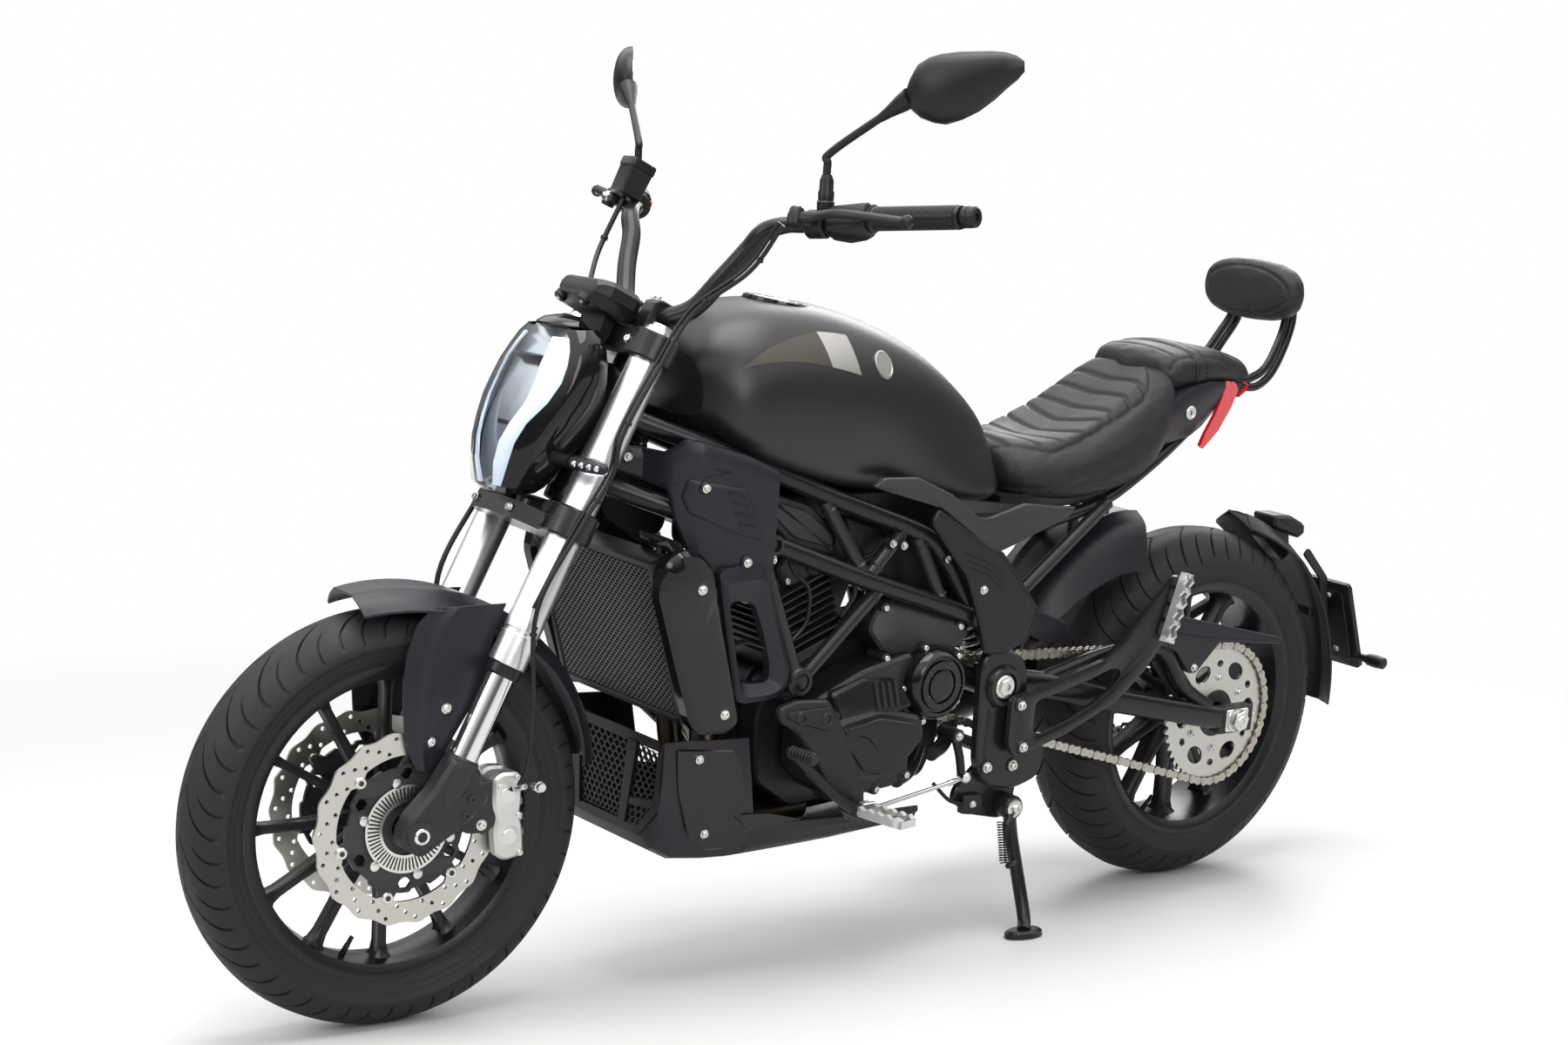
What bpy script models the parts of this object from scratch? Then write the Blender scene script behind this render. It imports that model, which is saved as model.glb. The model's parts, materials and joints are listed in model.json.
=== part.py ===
# Cruiser motorcycle: a full-size machine leaning on its side stand.
# Metres. The bike frame has +X forward, +Y to the rider's left, +Z up and its
# origin on the ground under the rear axle; the root empty then leans it.

import bpy
import bmesh
import math
from mathutils import Matrix, Vector

# Driving dimensions
WHEELBASE = 1.600
LEAN_DEG = 7.0
STEER_DEG = -6.5
RAKE_DEG = 26.0
AXLE_OFFSET = 0.0485
GAP = 0.0003
WHEEL_SEGMENTS = 36

FRONT_R, FRONT_W = 0.300, 0.120
REAR_R, REAR_W = 0.312, 0.160
LIP_R = 0.2266
RIM_R = 0.2160
FRONT_LIP_Y, REAR_LIP_Y = 0.0450, 0.0685
LIP_T = 0.006
SPOKES = 12

FORK_Y = 0.108
FORK_LEAD = 0.030
OUTER_R, SLEEVE_R, INNER_R = 0.0260, 0.0275, 0.0205
LOWER_CLAMP_W, UPPER_CLAMP_W = 0.477, 0.750
CLAMP_T = 0.044
STEM_R, HEAD_BORE_R, HEAD_TUBE_R = 0.0165, 0.0176, 0.034

DISC_Y, DISC_T, DISC_R = 0.076, 0.005, 0.1385
REAR_DISC_Y, REAR_DISC_R = -0.106, 0.120

CHAIN_PITCH = 0.015875
CHAIN_Y = 0.100
REAR_TEETH, DRIVE_TEETH = 48, 16
SPROCKET_T = 0.0058
CHAIN_W, CHAIN_SLOT = 0.0180, 0.0072
CHAIN_H, CHAIN_WAIST = 0.0072, 0.0056
DRIVE_X, DRIVE_Z = 0.690, 0.428

BAR_R = 0.0140
TUBE_R = 0.0160
BRACE_R = 0.0115
PIVOT_X, PIVOT_Z = 0.571, 0.428
STAND_X, STAND_Y, STAND_Z = 0.534, 0.158, 0.226

for old in list(bpy.data.objects):
    bpy.data.objects.remove(old, do_unlink=True)

scene = bpy.context.scene
parts = bpy.data.collections.new("cruiser_motorcycle")
cutters = bpy.data.collections.new("cutters")
scene.collection.children.link(parts)
scene.collection.children.link(cutters)


# Materials
def material(name, colour, roughness, metallic=0.0):
    made = bpy.data.materials.new(name)
    made.use_nodes = True
    shader = made.node_tree.nodes["Principled BSDF"]
    shader.inputs["Base Color"].default_value = (*colour, 1.0)
    shader.inputs["Roughness"].default_value = roughness
    shader.inputs["Metallic"].default_value = metallic
    return made


MATT_BLACK = material("matt_black_paint", (0.020, 0.020, 0.021), 0.45)
TANK_BLACK = material("satin_black_paint", (0.026, 0.026, 0.026), 0.38)
GLOSS_BLACK = material("gloss_black", (0.008, 0.008, 0.009), 0.08)
PLASTIC = material("black_plastic", (0.022, 0.021, 0.025), 0.55)
RUBBER = material("tyre_rubber", (0.020, 0.020, 0.021), 0.75)
CAST = material("cast_alloy_black", (0.025, 0.025, 0.028), 0.42, 0.3)
SILVER = material("fork_silver", (0.62, 0.62, 0.63), 0.28, 1.0)
STEEL = material("brushed_steel", (0.52, 0.52, 0.50), 0.33, 1.0)
CHAIN_STEEL = material("chain_steel", (0.40, 0.40, 0.40), 0.35, 1.0)
LEATHER = material("black_leather", (0.022, 0.022, 0.023), 0.60)
LENS = material("clear_lens", (0.85, 0.88, 0.92), 0.05)
RED = material("red_lens", (0.55, 0.01, 0.02), 0.12)
PIPE = material("exhaust_metal", (0.20, 0.17, 0.15), 0.40, 1.0)


# Shape helpers
def keep(bm, name):
    """Weld, turn the faces outward and wrap a bmesh as a loose object."""
    bmesh.ops.remove_doubles(bm, verts=bm.verts, dist=0.000002)
    bmesh.ops.recalc_face_normals(bm, faces=bm.faces)
    mesh = bpy.data.meshes.new(name)
    bm.to_mesh(mesh)
    bm.free()
    made = bpy.data.objects.new(name, mesh)
    cutters.objects.link(made)
    return made


def baked(obj):
    """Replace a curve or a modified object by the mesh that it evaluates to."""
    bpy.context.view_layer.update()
    graph = bpy.context.evaluated_depsgraph_get()
    mesh = bpy.data.meshes.new_from_object(obj.evaluated_get(graph))
    mesh.transform(obj.matrix_world)
    bm = bmesh.new()
    bm.from_mesh(mesh)
    name = obj.name
    bpy.data.objects.remove(obj, do_unlink=True)
    return keep(bm, name)


def joined(first, others, operation="UNION"):
    """Unite or cut a shape with others, which are used up."""
    for number, other in enumerate(others):
        change = first.modifiers.new("join" + str(number), "BOOLEAN")
        change.operation = operation
        change.solver = "EXACT"
        change.object = other
    made = baked(first)
    for other in others:
        bpy.data.objects.remove(other, do_unlink=True)
    return made


def cut(first, *others):
    return joined(first, list(others), "DIFFERENCE")


def block(x0, x1, y0, y1, z0, z1, bevel=0.0):
    bm = bmesh.new()
    bmesh.ops.create_cube(bm, size=1.0)
    bmesh.ops.scale(bm, vec=(x1 - x0, y1 - y0, z1 - z0), verts=bm.verts)
    bmesh.ops.translate(bm, vec=((x0 + x1) / 2, (y0 + y1) / 2, (z0 + z1) / 2), verts=bm.verts)
    if bevel:
        bmesh.ops.bevel(bm, geom=bm.edges, offset=bevel, segments=1, affect="EDGES")
    return keep(bm, "block")


def rod(start, end, radius, sides=8, end_radius=None):
    """A cylinder or cone between two points."""
    start, end = Vector(start), Vector(end)
    span = end - start
    bm = bmesh.new()
    bmesh.ops.create_cone(bm, cap_ends=True, segments=sides, radius1=radius,
                          radius2=radius if end_radius is None else end_radius, depth=span.length)
    turn = span.to_track_quat("Z", "Y").to_matrix().to_4x4()
    bmesh.ops.transform(bm, matrix=Matrix.Translation((start + end) / 2) @ turn, verts=bm.verts)
    return keep(bm, "rod")


def smooth_points(points, per_span):
    """Points along a smooth curve that runs through the given ones."""
    pts = [Vector(p) for p in points]
    ends = [2 * pts[0] - pts[1]] + pts + [2 * pts[-1] - pts[-2]]
    out = []
    for i in range(1, len(ends) - 2):
        a, b, c, d = ends[i - 1:i + 3]
        for k in range(per_span):
            t = k / per_span
            out.append(0.5 * (2 * b + (c - a) * t + (2 * a - 5 * b + 4 * c - d) * t * t
                              + (3 * b - a - 3 * c + d) * t ** 3))
    out.append(pts[-1])
    return out


def tube(points, radius, per_span=1, radii=None, resolution=1):
    """A round bar along a route, its thickness scaled by radii where given."""
    route = smooth_points(points, per_span) if per_span > 1 else [Vector(p) for p in points]
    curve = bpy.data.curves.new("tube", "CURVE")
    curve.dimensions = "3D"
    curve.bevel_depth = radius
    curve.bevel_resolution = resolution
    curve.use_fill_caps = True
    spline = curve.splines.new("POLY")
    spline.points.add(len(route) - 1)
    for k, p in enumerate(route):
        spline.points[k].co = (*p, 1.0)
        if radii:
            spot = k / (len(route) - 1) * (len(radii) - 1)
            low = min(int(spot), len(radii) - 2)
            spline.points[k].radius = radii[low] + (radii[low + 1] - radii[low]) * (spot - low)
    made = bpy.data.objects.new("tube", curve)
    cutters.objects.link(made)
    return baked(made)


TO_SIDE = Matrix(((1, 0, 0, 0), (0, 0, -1, 0), (0, 1, 0, 0), (0, 0, 0, 1)))


def plate(outline, middle, thickness, holes=(), upright=True):
    """A flat outline: (x, z) points at y = middle, or (x, y) points at z = middle."""
    curve = bpy.data.curves.new("plate", "CURVE")
    curve.dimensions = "2D"
    curve.fill_mode = "BOTH"
    curve.extrude = thickness / 2
    for ring in [outline] + list(holes):
        spline = curve.splines.new("POLY")
        spline.points.add(len(ring) - 1)
        for k, (a, b) in enumerate(ring):
            spline.points[k].co = (a, b, 0.0, 1.0)
        spline.use_cyclic_u = True
    made = bpy.data.objects.new("plate", curve)
    cutters.objects.link(made)
    if upright:
        made.matrix_world = Matrix.Translation((0, middle, 0)) @ TO_SIDE
    else:
        made.matrix_world = Matrix.Translation((0, 0, middle))
    return baked(made)


def circle(cx, cz, radius, sides=12, start=0.0):
    return [(cx + radius * math.cos(start + 2 * math.pi * k / sides),
             cz + radius * math.sin(start + 2 * math.pi * k / sides)) for k in range(sides)]


def rounded(points, radius, steps=1):
    """An outline with its corners rounded by arcs of about the given radius."""
    out = []
    count = len(points)
    for k in range(count):
        here = Vector(points[k])
        back = (Vector(points[k - 1]) - here)
        ahead = (Vector(points[(k + 1) % count]) - here)
        reach = min(radius, back.length / 2.2, ahead.length / 2.2)
        a, b = here + back.normalized() * reach, here + ahead.normalized() * reach
        for i in range(steps + 1):
            t = i / steps
            p = a * (1 - t) ** 2 + here * 2 * t * (1 - t) + b * t * t
            out.append((p.x, p.y))
    return out


def turned(profile, segments, closed=False, angle=360.0, start=0.0):
    """Revolve (radius, y) points about the Y axis with a Screw modifier."""
    mesh = bpy.data.meshes.new("turned")
    verts = [(r, 0.0, h) for r, h in profile]
    edges = [(k, k + 1) for k in range(len(verts) - 1)]
    if closed:
        edges.append((len(verts) - 1, 0))
    mesh.from_pydata(verts, edges, [])
    made = bpy.data.objects.new("turned", mesh)
    cutters.objects.link(made)
    screw = made.modifiers.new("turn", "SCREW")
    screw.axis = "Z"
    screw.angle = math.radians(angle)
    screw.steps = screw.render_steps = segments
    screw.use_merge_vertices = True
    screw.merge_threshold = 0.00001
    made.matrix_world = (Matrix.Rotation(math.radians(-90), 4, "X")
                         @ Matrix.Rotation(math.radians(start), 4, "Z"))
    return made


def ring(profile, segments, **turn):
    return baked(turned(profile, segments, closed=True, **turn))


def loft(sections, ends=True):
    """Skin equal rings of points, with flat ends."""
    bm = bmesh.new()
    rows = [[bm.verts.new(p) for p in section] for section in sections]
    for a, b in zip(rows, rows[1:]):
        for k in range(len(a)):
            n = (k + 1) % len(a)
            bm.faces.new((a[k], a[n], b[n], b[k]))
    if ends:
        bm.faces.new(rows[0])
        bm.faces.new(rows[-1])
    return keep(bm, "loft")


def softened(obj, levels=1):
    soft = obj.modifiers.new("soft", "SUBSURF")
    soft.levels = soft.render_levels = levels
    return baked(obj)


def moved(obj, x=0.0, y=0.0, z=0.0, turn=None):
    place = Matrix.Translation((x, y, z))
    obj.data.transform(place @ turn if turn else place)
    return obj


def mirrored(obj):
    """The shape turned over to the machine's other side."""
    bm = bmesh.new()
    bm.from_mesh(obj.data)
    bmesh.ops.scale(bm, vec=(1, -1, 1), verts=bm.verts)
    bpy.data.objects.remove(obj, do_unlink=True)
    return keep(bm, "mirror")


def capped(obj):
    """Fill the open ends of a part turn."""
    bm = bmesh.new()
    bm.from_mesh(obj.data)
    open_edges = [e for e in bm.edges if len(e.link_faces) == 1]
    bmesh.ops.holes_fill(bm, edges=open_edges, sides=0)
    name = obj.name
    bpy.data.objects.remove(obj, do_unlink=True)
    return keep(bm, name)


def part(obj, name, look, parent, shift=(0, 0, 0)):
    """Name a finished shape and hang it on its body."""
    cutters.objects.unlink(obj)
    parts.objects.link(obj)
    obj.name = name
    obj.data.name = name
    obj.data.materials.clear()
    obj.data.materials.append(look)
    obj.data.shade_smooth()
    obj.data.set_sharp_from_angle(angle=math.radians(32))
    obj.parent = parent
    obj.location = shift
    return obj


# Bodies
RAKE = math.radians(RAKE_DEG)
AXIS_UP = Vector((-math.sin(RAKE), 0, math.cos(RAKE)))
AXIS_FORE = Vector((math.cos(RAKE), 0, math.sin(RAKE)))
FRONT_CENTRE = Vector((WHEELBASE, 0, FRONT_R))
STEER_BASE = FRONT_CENTRE - AXLE_OFFSET * AXIS_FORE


def empty(name, parent=None):
    made = bpy.data.objects.new(name, None)
    parts.objects.link(made)
    made.parent = parent
    return made


root = empty("bike_root")
steering = empty("steering_axis", root)
steering.location = STEER_BASE
steering.rotation_euler = (Matrix.Rotation(-RAKE, 4, "Y")
                           @ Matrix.Rotation(math.radians(STEER_DEG), 4, "Z")).to_euler()
front_wheel_axis = empty("front_wheel_axis", steering)
front_wheel_axis.location = (AXLE_OFFSET, 0, 0)
front_wheel_axis.rotation_euler = (0, RAKE, 0)
rear_wheel_axis = empty("rear_wheel_axis", root)
rear_wheel_axis.location = (0, 0, REAR_R)
stand_axis = empty("stand_axis", root)
stand_axis.location = (STAND_X, STAND_Y, STAND_Z)


def steer_at(x, y, z):
    """A point of the straight-ahead machine in the steering frame."""
    rel = Vector((x, 0, z)) - STEER_BASE
    return Vector((rel.dot(AXIS_FORE), y, rel.dot(AXIS_UP)))


def axis_point(w):
    return STEER_BASE + AXIS_UP * w


# Tyres: closed rings seated between the rim's lips
def tyre(radius, width, lip_y):
    half = width / 2
    seat = LIP_R + 0.0008
    side = [(radius, 0.0), (radius - 0.0045 * width / 0.120, half * 0.42),
            (radius - 0.155 * width, half * 0.77), (radius - 0.32 * width, half),
            (seat, lip_y + 0.001), (seat, lip_y - LIP_T - 0.0008 - GAP),
            (RIM_R + 0.0008, lip_y - LIP_T - 0.0008 - GAP)]
    profile = side + [(r, -y) for r, y in reversed(side[1:])]
    return ring(profile, WHEEL_SEGMENTS, start=180 / WHEEL_SEGMENTS)


def cast_wheel(lip_y, hub_r, hub_y, bore_r, spoke_w, spoke_t):
    rim = [(LIP_R, lip_y), (LIP_R, lip_y - LIP_T + 0.0008), (RIM_R, lip_y - LIP_T - 0.0008),
           (RIM_R, -lip_y + LIP_T + 0.0008), (LIP_R, -lip_y + LIP_T - 0.0008), (LIP_R, -lip_y),
           (RIM_R - 0.016, -lip_y * 0.85), (RIM_R - 0.016, lip_y * 0.85)]
    body = ring(rim, WHEEL_SEGMENTS, start=180 / WHEEL_SEGMENTS)
    hub = ring([(hub_r * 0.8, hub_y), (bore_r, hub_y), (bore_r, -hub_y), (hub_r * 0.8, -hub_y),
                (hub_r, 0.0)], 14)
    spokes = []
    for k in range(SPOKES):
        turn = Matrix.Rotation(2 * math.pi * k / SPOKES, 4, "Y")
        inner, outer = hub_r - 0.012, RIM_R - 0.014
        wide, slim = spoke_w / 2, spoke_w * 0.36
        spoke = loft([[(inner, -spoke_t, -wide), (inner, spoke_t, -wide),
                       (inner, spoke_t, wide), (inner, -spoke_t, wide)],
                      [(outer, -spoke_t * 0.7, -slim), (outer, spoke_t * 0.7, -slim),
                       (outer, spoke_t * 0.7, slim), (outer, -spoke_t * 0.7, slim)]])
        spokes.append(moved(spoke, turn=turn))
    return joined(body, [hub] + spokes)


part(tyre(FRONT_R, FRONT_W, FRONT_LIP_Y), "front_tyre", RUBBER, front_wheel_axis)
part(cast_wheel(FRONT_LIP_Y, 0.036, 0.060, 0.0128, 0.0172, 0.011),
     "front_wheel", CAST, front_wheel_axis)
part(tyre(REAR_R, REAR_W, REAR_LIP_Y), "rear_tyre", RUBBER, rear_wheel_axis)
part(cast_wheel(REAR_LIP_Y, 0.050, 0.078, 0.0128, 0.022, 0.014),
     "rear_wheel", CAST, rear_wheel_axis)


# Brake discs with windowed carriers
def disc(radius, band, hub_r, arms, thickness):
    waves = 10
    outline = []
    for k in range(waves * 3):
        a = 2 * math.pi * k / (waves * 3)
        outline.append(((radius - 0.0022 + 0.0022 * math.cos(waves * a)) * math.cos(a),
                        (radius - 0.0022 + 0.0022 * math.cos(waves * a)) * math.sin(a)))
    holes = [circle(0, 0, hub_r, 12)]
    inner, outer = hub_r + 0.018, radius - band
    for k in range(arms):
        a0 = 2 * math.pi * (k + 0.14) / arms
        a1 = 2 * math.pi * (k + 0.86) / arms
        steps = 3
        arc_out = [(outer * math.cos(a0 + (a1 - a0) * i / steps),
                    outer * math.sin(a0 + (a1 - a0) * i / steps)) for i in range(steps + 1)]
        arc_in = [(inner * math.cos(a1 + (a0 - a1) * i),
                   inner * math.sin(a1 + (a0 - a1) * i)) for i in range(2)]
        holes.append(arc_out + arc_in)
    return plate(outline, 0.0, thickness, holes)


disc_left = moved(disc(DISC_R, 0.036, 0.020, 6, DISC_T), y=DISC_Y)
disc_right = moved(disc(DISC_R, 0.036, 0.020, 6, DISC_T), y=-DISC_Y)
carrier_tube = ring([(0.030, DISC_Y), (0.0205, DISC_Y), (0.0205, 0.0603), (0.030, 0.0603)], 12)
carrier_far = ring([(0.030, -0.0603), (0.0205, -0.0603), (0.0205, -DISC_Y), (0.030, -DISC_Y)], 12)
part(joined(disc_left, [carrier_tube]), "front_disc_left", STEEL, front_wheel_axis)
part(joined(disc_right, [carrier_far]), "front_disc_right", STEEL, front_wheel_axis)
rear_disc = moved(disc(REAR_DISC_R, 0.034, 0.020, 6, DISC_T), y=REAR_DISC_Y)
rear_far = ring([(0.034, -0.0783), (0.0205, -0.0783), (0.0205, REAR_DISC_Y), (0.034, REAR_DISC_Y)], 12)
part(joined(rear_disc, [rear_far]), "rear_disc", STEEL, rear_wheel_axis)


# Sprockets: teeth stand in the chain's openings
def pitch_radius(teeth):
    return CHAIN_PITCH / (2 * math.sin(math.pi / teeth))


def sprocket_outline(teeth):
    pitch_r = pitch_radius(teeth)
    root_r, tip_r = pitch_r - CHAIN_H - 0.0008, pitch_r + 0.0024
    half_root = 0.0023 / root_r
    points = []
    for k in range(teeth):
        a = 2 * math.pi * (k + 0.5) / teeth
        for r, da in ((root_r, -half_root), (tip_r, 0.0), (root_r, half_root)):
            points.append((r * math.cos(a + da), r * math.sin(a + da)))
    return points


sprocket_windows = [circle(0.082 * math.cos(2 * math.pi * k / 6), 0.082 * math.sin(2 * math.pi * k / 6),
                           0.019, 6) for k in range(6)]
rear_sprocket = moved(plate(sprocket_outline(REAR_TEETH), 0.0, SPROCKET_T,
                            [circle(0, 0, 0.0205, 12)] + sprocket_windows), y=CHAIN_Y)
sprocket_hub = ring([(0.046, 0.0783), (0.0205, 0.0783), (0.0205, CHAIN_Y), (0.046, CHAIN_Y)][::-1], 12)
part(joined(rear_sprocket, [sprocket_hub]), "rear_sprocket", STEEL, rear_wheel_axis)


# Chain: one closed loop of links round both sprockets, opened between its rollers
def chain_route():
    """Pin places of a taut loop, each with a flag where a sprocket's teeth pass between the plates."""
    big, small = pitch_radius(REAR_TEETH), pitch_radius(DRIVE_TEETH)
    centre_a, centre_b = Vector((0, REAR_R)), Vector((DRIVE_X, DRIVE_Z))
    along = centre_b - centre_a
    tilt = math.asin((big - small) / along.length)
    base = math.atan2(along.y, along.x)
    step = 2 * math.pi / REAR_TEETH
    first = math.ceil((base + math.pi / 2 - tilt) / step)
    last = math.floor((base + 3 * math.pi / 2 + tilt) / step)
    rear = [centre_a + big * Vector((math.cos(k * step), math.sin(k * step))) for k in range(first, last + 1)]
    a0, a1 = base - math.pi / 2 + tilt, base + math.pi / 2 - tilt
    arc_count = round((a1 - a0) * small / CHAIN_PITCH)
    arc = [a0 + (a1 - a0) * k / arc_count for k in range(arc_count + 1)]
    drive = [centre_b + small * Vector((math.cos(a), math.sin(a))) for a in arc]

    def run(start, end):
        count = round((end - start).length / CHAIN_PITCH)
        return [start + (end - start) * (k / count) for k in range(1, count)]

    lower, upper = run(rear[-1], drive[0]), run(drive[-1], rear[0])
    pins = rear + lower + drive + upper
    opened = [k < len(rear) + 2 or k >= len(pins) - 3 for k in range(len(pins))]
    return pins, opened


def chain_loop():
    pins, opened = chain_route()
    count = len(pins)
    outer, inner = CHAIN_W / 2, CHAIN_SLOT / 2
    bm = bmesh.new()
    rows = []
    for k in range(count):
        tangent = (pins[(k + 1) % count] - pins[k - 1]).normalized()
        normal = Vector((-tangent.y, tangent.x))
        gap_before, gap_after = opened[k - 1], opened[k]
        for shift, high, gapped in ((-0.0046, CHAIN_WAIST, gap_before), (0.0, CHAIN_H, False),
                                    (0.0046, CHAIN_WAIST, gap_after)):
            if shift and not (gap_before or gap_after) and shift < 0:
                continue
            mid = pins[k] + tangent * (shift if gapped or not shift else CHAIN_PITCH / 2)
            if shift < 0 and not gapped:
                continue
            row = {}
            for name, y in (("a", -outer), ("b", -inner), ("c", inner), ("d", outer)):
                if name in "bc" and not gapped:
                    continue
                for side, h in (("o", high), ("i", -high)):
                    p = mid + normal * h
                    row[name + side] = bm.verts.new((p.x, CHAIN_Y + y, p.y))
            rows.append((row, gapped and shift > 0))
    for k, (here, gap_starts) in enumerate(rows):
        after = rows[(k + 1) % len(rows)][0]
        if gap_starts:
            for n, m in (("a", "b"), ("c", "d")):
                bm.faces.new((here[n + "o"], here[m + "o"], after[m + "o"], after[n + "o"]))
                bm.faces.new((here[n + "i"], here[m + "i"], after[m + "i"], after[n + "i"]))
                bm.faces.new((here[n + "o"], here[n + "i"], after[n + "i"], after[n + "o"]))
                bm.faces.new((here[m + "o"], here[m + "i"], after[m + "i"], after[m + "o"]))
            bm.faces.new((here["bo"], here["bi"], here["ci"], here["co"]))
            bm.faces.new((after["bo"], after["bi"], after["ci"], after["co"]))
            continue
        for side in "oi":
            near = [here[n + side] for n in "abcd" if n + side in here]
            far = [after[n + side] for n in "abcd" if n + side in after]
            bm.faces.new(near + far[::-1])
        for n in "ad":
            bm.faces.new((here[n + "o"], here[n + "i"], after[n + "i"], after[n + "o"]))
    return keep(bm, "chain")


part(chain_loop(), "chain", CHAIN_STEEL, root)

# Fork legs: outer tube, inner tube and axle casting, in the steering frame
def fork_leg(side):
    tube_profile = [(0.001, 0.786), (OUTER_R - 0.001, 0.780), (OUTER_R, 0.690), (OUTER_R, 0.277),
                    (SLEEVE_R, 0.275), (SLEEVE_R, 0.244), (INNER_R, 0.244), (INNER_R, 0.100), (0.001, 0.100)]
    leg = ring(tube_profile, 12)
    leg.data.transform(Matrix.Rotation(math.radians(90), 4, "X"))
    moved(leg, x=FORK_LEAD, y=side * FORK_Y)
    foot = plate(rounded([(0.006, 0.122), (0.054, 0.122), (0.062, 0.060), (0.079, 0.012),
                          (0.072, -0.026), (0.030, -0.030), (0.012, 0.000), (-0.016, 0.040),
                          (-0.030, 0.086), (-0.008, 0.100)], 0.006),
                 side * (FORK_Y + 0.001), 0.040)
    axle_hole = rod((AXLE_OFFSET, side * 0.080, 0), (AXLE_OFFSET, side * 0.140, 0), 0.0124, 10)
    return cut(joined(leg, [foot]), axle_hole)


part(fork_leg(1), "fork_leg_left", SILVER, steering)
part(fork_leg(-1), "fork_leg_right", SILVER, steering)
part(rod((AXLE_OFFSET, -0.132, 0), (AXLE_OFFSET, 0.132, 0), 0.0118, 10),
     "front_axle", STEEL, steering)

# Fork clamps, one above and one below the head tube, joined by the stem
def clamp(w, reach):
    half = [(FORK_LEAD + 0.030, 0.0), (FORK_LEAD + 0.026, 0.050), (FORK_LEAD + 0.034, FORK_Y - 0.012),
            (FORK_LEAD + 0.028, FORK_Y + 0.026), (FORK_LEAD, FORK_Y + 0.037),
            (FORK_LEAD - 0.028, FORK_Y + 0.026), (FORK_LEAD - 0.034, FORK_Y - 0.010),
            (-reach, 0.036), (-reach - 0.006, 0.0)]
    outline = half + [(a, -b) for a, b in reversed(half[1:-1])]
    return plate(outline, w, CLAMP_T, upright=False)


clamps = joined(clamp(LOWER_CLAMP_W, 0.026),
                [clamp(UPPER_CLAMP_W, 0.026), rod((0, 0, 0.462), (0, 0, 0.780), STEM_R, 12)])
clamps = cut(clamps, *[rod((FORK_LEAD, s * FORK_Y, low), (FORK_LEAD, s * FORK_Y, high), radius, 12)
                       for s in (1, -1)
                       for low, high, radius in ((0.40, 0.60, OUTER_R + GAP), (0.70, 0.80, OUTER_R - 0.0002))])
part(clamps, "fork_clamps", MATT_BLACK, steering)

# Handlebar on two risers, pulled back towards the rider
BAR_HALF = [(1.210, 0.050, 1.006), (1.184, 0.096, 1.022), (1.161, 0.135, 1.068), (1.138, 0.165, 1.111),
            (1.128, 0.188, 1.137), (1.110, 0.212, 1.149), (1.085, 0.242, 1.152), (1.042, 0.330, 1.166),
            (0.982, 0.462, 1.177)]
bar_left = [steer_at(*p) for p in BAR_HALF]
bar_right = [Vector((p.x, -p.y, p.z)) for p in reversed(bar_left)]
bar_taper = [1.0, 1.0, 1.0, 1.0, 1.0, 0.9, 0.8, 0.8, 0.8]
bar = tube(bar_right + bar_left, BAR_R, radii=bar_taper[::-1] + bar_taper, resolution=2)
bar_mid = bar_left[0]
risers = [block(bar_mid.x - 0.022, bar_mid.x + 0.022, s * 0.045 - 0.015, s * 0.045 + 0.015,
                UPPER_CLAMP_W + CLAMP_T / 2 + GAP, bar_mid.z + 0.022, 0.004) for s in (1, -1)]
part(joined(bar, risers), "handlebar", MATT_BLACK, steering)


# Hand controls: switch housing, grip, lever, mirror; the right one carries the brake reservoir
def along_bar(share):
    a, b, end = bar_left[-3:]
    if share <= 1:
        return a + (b - a) * share
    return b + (end - b) * (share - 1)


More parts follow.
